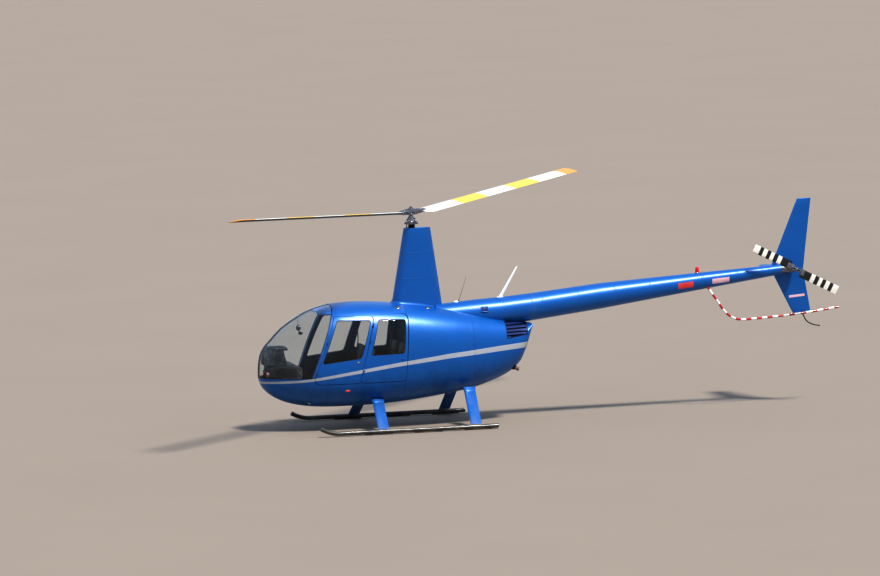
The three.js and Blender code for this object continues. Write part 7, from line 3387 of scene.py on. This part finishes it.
@dataclass
class Trim:
    """Lamps, antennas, caps, vents and the exhaust."""

    skin: Skin
    boom: Boom
    gear: LandingGear
    beacon_x: float = -4.417
    beacon_radius: float = 0.030
    beacon_height: float = 0.095
    whip: tuple[Point2, Point2] = ((-0.690, 1.800), (-0.822, 2.180))
    exhaust: tuple[Point3, ...] = ((-1.300, 0.130, 0.900), (-1.570, 0.130, 0.765))
    exhaust_radius: float = 0.030
    exhaust_bore: float = 0.0265
    caps: tuple[Point2, ...] = ((0.306, 1.802), (-0.166, 1.764))
    latches: tuple[Point2, ...] = ((-0.792, 1.237), (-0.792, 0.930), (-0.792, 0.690), (-0.792, 1.450))
    scoop: Point2 = (-1.050, 1.700)
    drain: Point2 = (0.023, 0.541)
    comm_line: tuple[Point2, Point2] = ((-1.308, 1.800), (-1.614, 2.3095))
    comm_chords: Point2 = (0.060, 0.030)
    comm_rows: tuple[Point3, ...] = (
        (0.0, 1.0, 0.014), (0.1, 1.0, 0.014), (0.3, 1.0, 0.014), (0.5, 1.0, 0.014), (0.7, 1.0, 0.014),
        (0.9, 1.0, 0.014), (0.97, 0.8, 0.010), (1.0, 0.4, 0.004),
    )
    comm_foot: Point2 = (-1.338, 1.853)
    comm_foot_half: Point2 = (0.052, 0.020)
    comm_foot_steps: tuple[Point2, ...] = ((0.004, -0.008), (0.004, 0.002), (0.0, 0.006), (-0.008, 0.008))
    puck: Point3 = (-0.658, 0.0, 1.811)
    puck_steps: tuple[Point2, ...] = (
        (-0.010, 0.042), (0.004, 0.042), (0.014, 0.036), (0.018, 0.024), (0.0195, 0.006)
    )
    side_lamp_at: Point2 = (1.159, 0.617)
    lens_half: Point2 = (0.034, 0.015)
    lens_steps: tuple[Point2, ...] = ((0.0, 1.0), (0.008, 0.96), (0.016, 0.80), (0.021, 0.50), (0.0225, 0.15))
    flange_half: Point2 = (0.042, 0.022)
    flange_steps: tuple[Point2, ...] = ((-0.003, 1.0), (0.001, 1.0), (0.003, 0.9))
    cap_profile: tuple[Point2, ...] = (
        (0.001, -0.004), (0.046, -0.004), (0.046, 0.004), (0.040, 0.009), (0.001, 0.009)
    )
    fairing_axis_z: float = 1.631
    fairing_radius: float = 0.209
    scoop_lips: tuple[tuple[Point3, Point3], ...] = (
        ((-0.055, -0.045, -0.006), (0.055, -0.037, 0.006)), ((-0.055, 0.036, -0.006), (0.055, 0.045, 0.014)),
        ((0.046, -0.045, -0.006), (0.055, 0.045, 0.012)), ((-0.055, -0.045, -0.006), (-0.048, 0.045, 0.004)),
    )
    vent_x: float = -0.500
    vent_ys: tuple[float, ...] = (0.060, -0.060)

    def build(self) -> None:
        """Makes the small things."""
        self.beacon()
        self.antennas()
        self.exhaust_pipe()
        for side, finish in ((Side.LEFT, LAMP_RED), (Side.RIGHT, LAMP_GREEN)):
            self.side_lamp(side, finish)
            self.vents(side)
            self.collars(side)
        self.filler_caps()
        self.belly_fittings()

    def beacon(self) -> None:
        """The red beacon on the boom: a flange and a ribbed dome."""
        at = self.boom.at(self.beacon_x)
        top = at.z + at.r
        r, h = self.beacon_radius, self.beacon_height
        base = revolve(
            [(0.004, -0.010), (r + 0.006, -0.010), (r + 0.006, 0.003), (r + 0.002, 0.008), (0.004, 0.008)], 32
        )
        dome = revolve([
            (0.001, 0.006), (r, 0.006), (r, 0.016), (r * 0.96, 0.030), (r * 0.90, h * 0.7),
            (r * 0.74, h * 0.9), (r * 0.45, h * 0.98), (0.001, h - 0.0005),
        ], 32)
        for bm in (base, dome):
            bmesh.ops.translate(bm, vec=(self.beacon_x, 0, top), verts=bm.verts)
        piece("beacon_base", base, BRIGHT_METAL, slot="rotor_metal")
        piece("beacon_dome", dome, LAMP_RED, replaces=["beacon"], slot="lamp_red")

    def antennas(self) -> None:
        """The bent white blade, the black whip and the white puck on the boom's fairing."""
        sections = []
        (low_x, low_z), (high_x, high_z) = self.comm_line
        for u, share, thin in self.comm_rows:
            x, z = mixed(low_x, high_x, u), mixed(low_z, high_z, u)
            chord = mixed(*self.comm_chords, u) * share
            sections.append([Vector((x + chord / 2 + c, t, z)) for c, t in aerofoil(chord, thin / chord, 12)])
        piece("comm_blade", loft(sections), ANTENNA_WHITE, replaces=["comm_antenna"], slot="antenna_white")
        (x, z), (long, short) = self.comm_foot, self.comm_foot_half
        steps = self.comm_foot_steps
        foot = loft([oval(Vector((x, 0, z + h)), long + g, short + g, 32) for g, h in steps])
        merge(foot, spindle(Vector(self.puck), UP, self.puck_steps, 32))
        piece("antenna_feet", foot, ANTENNA_WHITE, slot="antenna_white")
        (ax, az), (bx, bz) = self.whip
        whip = rod((ax, 0, az), (bx, 0, bz), 0.003, 12, far=0.0018)
        merge(
            whip,
            rod((ax - 0.004, 0, az + 0.010), (ax - 0.016, 0, az + 0.046), 0.012, 16, far=0.004, soft=0.001),
        )
        piece("whip_rod", whip, WHIP_BLACK, replaces=["whip_antenna"], slot="whip_black")

    def exhaust_pipe(self) -> None:
        """The exhaust: an open pipe with a rolled lip, and the collar where it leaves the cowl."""
        start, end = (Vector(p) for p in self.exhaust)
        lean = (end - start).normalized()
        r, bore = self.exhaust_radius, self.exhaust_bore
        length = (end - start).length
        pipe = spindle(start, lean, (
            (0.0, r - 0.001), (length * 0.5, r - 0.001), (length - 0.008, r - 0.001), (length - 0.005, r),
            (length - 0.001, r), (length, r - 0.0015), (length - 0.001, bore), (length - 0.150, bore),
        ), 32)
        piece("exhaust_tube", pipe, EXHAUST_STEEL, replaces=["exhaust_pipe"], slot="exhaust_steel")
        share = 0.5
        for _ in range(30):
            spot = start.lerp(end, share)
            if self.skin.height(spot.x, spot.y, False) > spot.z:
                break
            share += 0.015
        # The collar is painted with the bay's shade, dark round the pipe where it leaves the cowl.
        sizes = ((-0.020, r + 0.012), (0.004, r + 0.012), (0.006, r + 0.008), (0.006, r + 0.0006))
        collar = spindle(spot, lean, sizes, 32, caps=False)
        piece("exhaust_collar", collar, BAY_SHADE, slot="exhaust_steel")

    def side_lamp(self, side: Side, finish: Finish) -> None:
        """A position light low on the cabin's side.

        Args:
            side: The side of the aircraft.
            finish: Its lens.
        """
        seat = self.skin.seat(*self.side_lamp_at)
        for name, (long, short), steps, look, slot in (
            ("side_lamp", self.lens_half, self.lens_steps, finish, "lamp_red"),
            ("side_lamp_foot", self.flange_half, self.flange_steps, BRIGHT_METAL, "rotor_metal"),
        ):
            bm = loft([oval(UP * h, long * s, short * s, 24) for h, s in steps])
            put_at(bm, seat)
            side_piece(side, name, bm, look, slot=slot)

    def vents(self, side: Side) -> None:
        """The latches at the cowl's front edge, and the vent on the boom's fairing.

        Args:
            side: The side of the aircraft.
        """
        latches = empty_mesh()
        for place in self.latches:
            seat = self.skin.seat(*place)
            part = rod((0, 0, -0.001), (0, 0, 0.0026), 0.013, 20, far=0.012, soft=0.0008)
            merge(part, block((-0.010, -0.0016, 0.0022), (0.010, 0.0016, 0.0036)))
            put_at(part, seat)
            merge(latches, part)
        side_piece(side, "cowl_latches", latches, PLAIN_PAINT)
        x, z = self.scoop
        axis_z, radius = self.fairing_axis_z, self.fairing_radius
        rise = math.asin((z - axis_z) / radius)
        out = Vector((0, math.cos(rise), math.sin(rise)))
        place = Matrix.Translation(Vector((x, 0, axis_z)) + out * radius)
        place = place @ Matrix((AHEAD, out.cross(AHEAD), out)).transposed().to_4x4()
        lip = empty_mesh()
        for low, high in self.scoop_lips:
            merge(lip, block(low, high, 0.003))
        # The vent's opening is painted shade: a flat plate in the louvre's dark paint where the scoop's mouth
        # would be.
        hole = block((-0.050, -0.040, -0.006), (0.050, 0.040, 0.0015), 0.001)
        for bm, name, finish in (
            (lip, "fairing_vent_lip", PLAIN_PAINT), (hole, "fairing_vent", LOUVRE_PAINT)
        ):
            put_at(bm, place)
            side_piece(side, name, bm, finish)

    def collars(self, side: Side) -> None:
        """The painted cuffs where the legs leave the hull.

        Args:
            side: The side of the aircraft.
        """
        gear = self.gear
        for name, top_x, top_z, foot_x in gear.legs:
            rings = [gear.section(top_x, top_z, foot_x, share, growth) for share, growth in gear.cuff]
            side_piece(side, f"{name}_cuff", loft(rings, caps=False), PLAIN_PAINT)

    def filler_caps(self) -> None:
        """The fuel caps on both shoulders."""
        for side in Side:
            made = empty_mesh()
            for x, z in self.caps:
                part = revolve(self.cap_profile, 32)
                merge(part, block((-0.030, -0.005, 0.008), (0.030, 0.005, 0.014), 0.002))
                put_at(part, self.skin.seat(x, z))
                merge(made, part)
            side_piece(side, "filler_caps", made, BRIGHT_METAL, slot="rotor_metal")

    def belly_fittings(self) -> None:
        """The drain stub and the vent pipes under the hull."""
        made = empty_mesh()
        part = rod((0, 0, -0.006), (0, 0, 0.018), 0.007, 14, far=0.0055, soft=0.001)
        merge(part, rod((0, 0, -0.002), (0, 0, 0.003), 0.014, 16, soft=0.001))
        put_at(part, self.skin.seat(*self.drain))
        merge(made, part)
        for y in self.vent_ys:
            foot = self.skin.height(self.vent_x, y, False)
            top, low = (self.vent_x, y, foot + 0.010), (self.vent_x - 0.012, y, foot - 0.028)
            merge(made, rod(top, low, 0.007, 14, far=0.0065, soft=0.0006))
        piece("belly_drains", made, ROTOR_METAL, slot="rotor_metal")


def main() -> None:
    """Builds the aircraft, the light and the view."""
    logging.basicConfig(level=logging.INFO, format="%(message)s")
    Viewpoint().build()
    skin, seams = Skin(), Seams()
    Cabin(skin).build()
    Studio().build()
    Fuselage(skin, seams).build()
    CabinDoors(skin, seams, Hinges(skin)).build()
    MastFairing(skin).build()
    boom = Boom()
    boom.build()
    TailSurfaces().build()
    TailRotor().build()
    MainRotor().build()
    gear = LandingGear(skin)
    gear.build()
    Trim(skin, boom, gear).build()


if __name__ == "__main__":
    main()
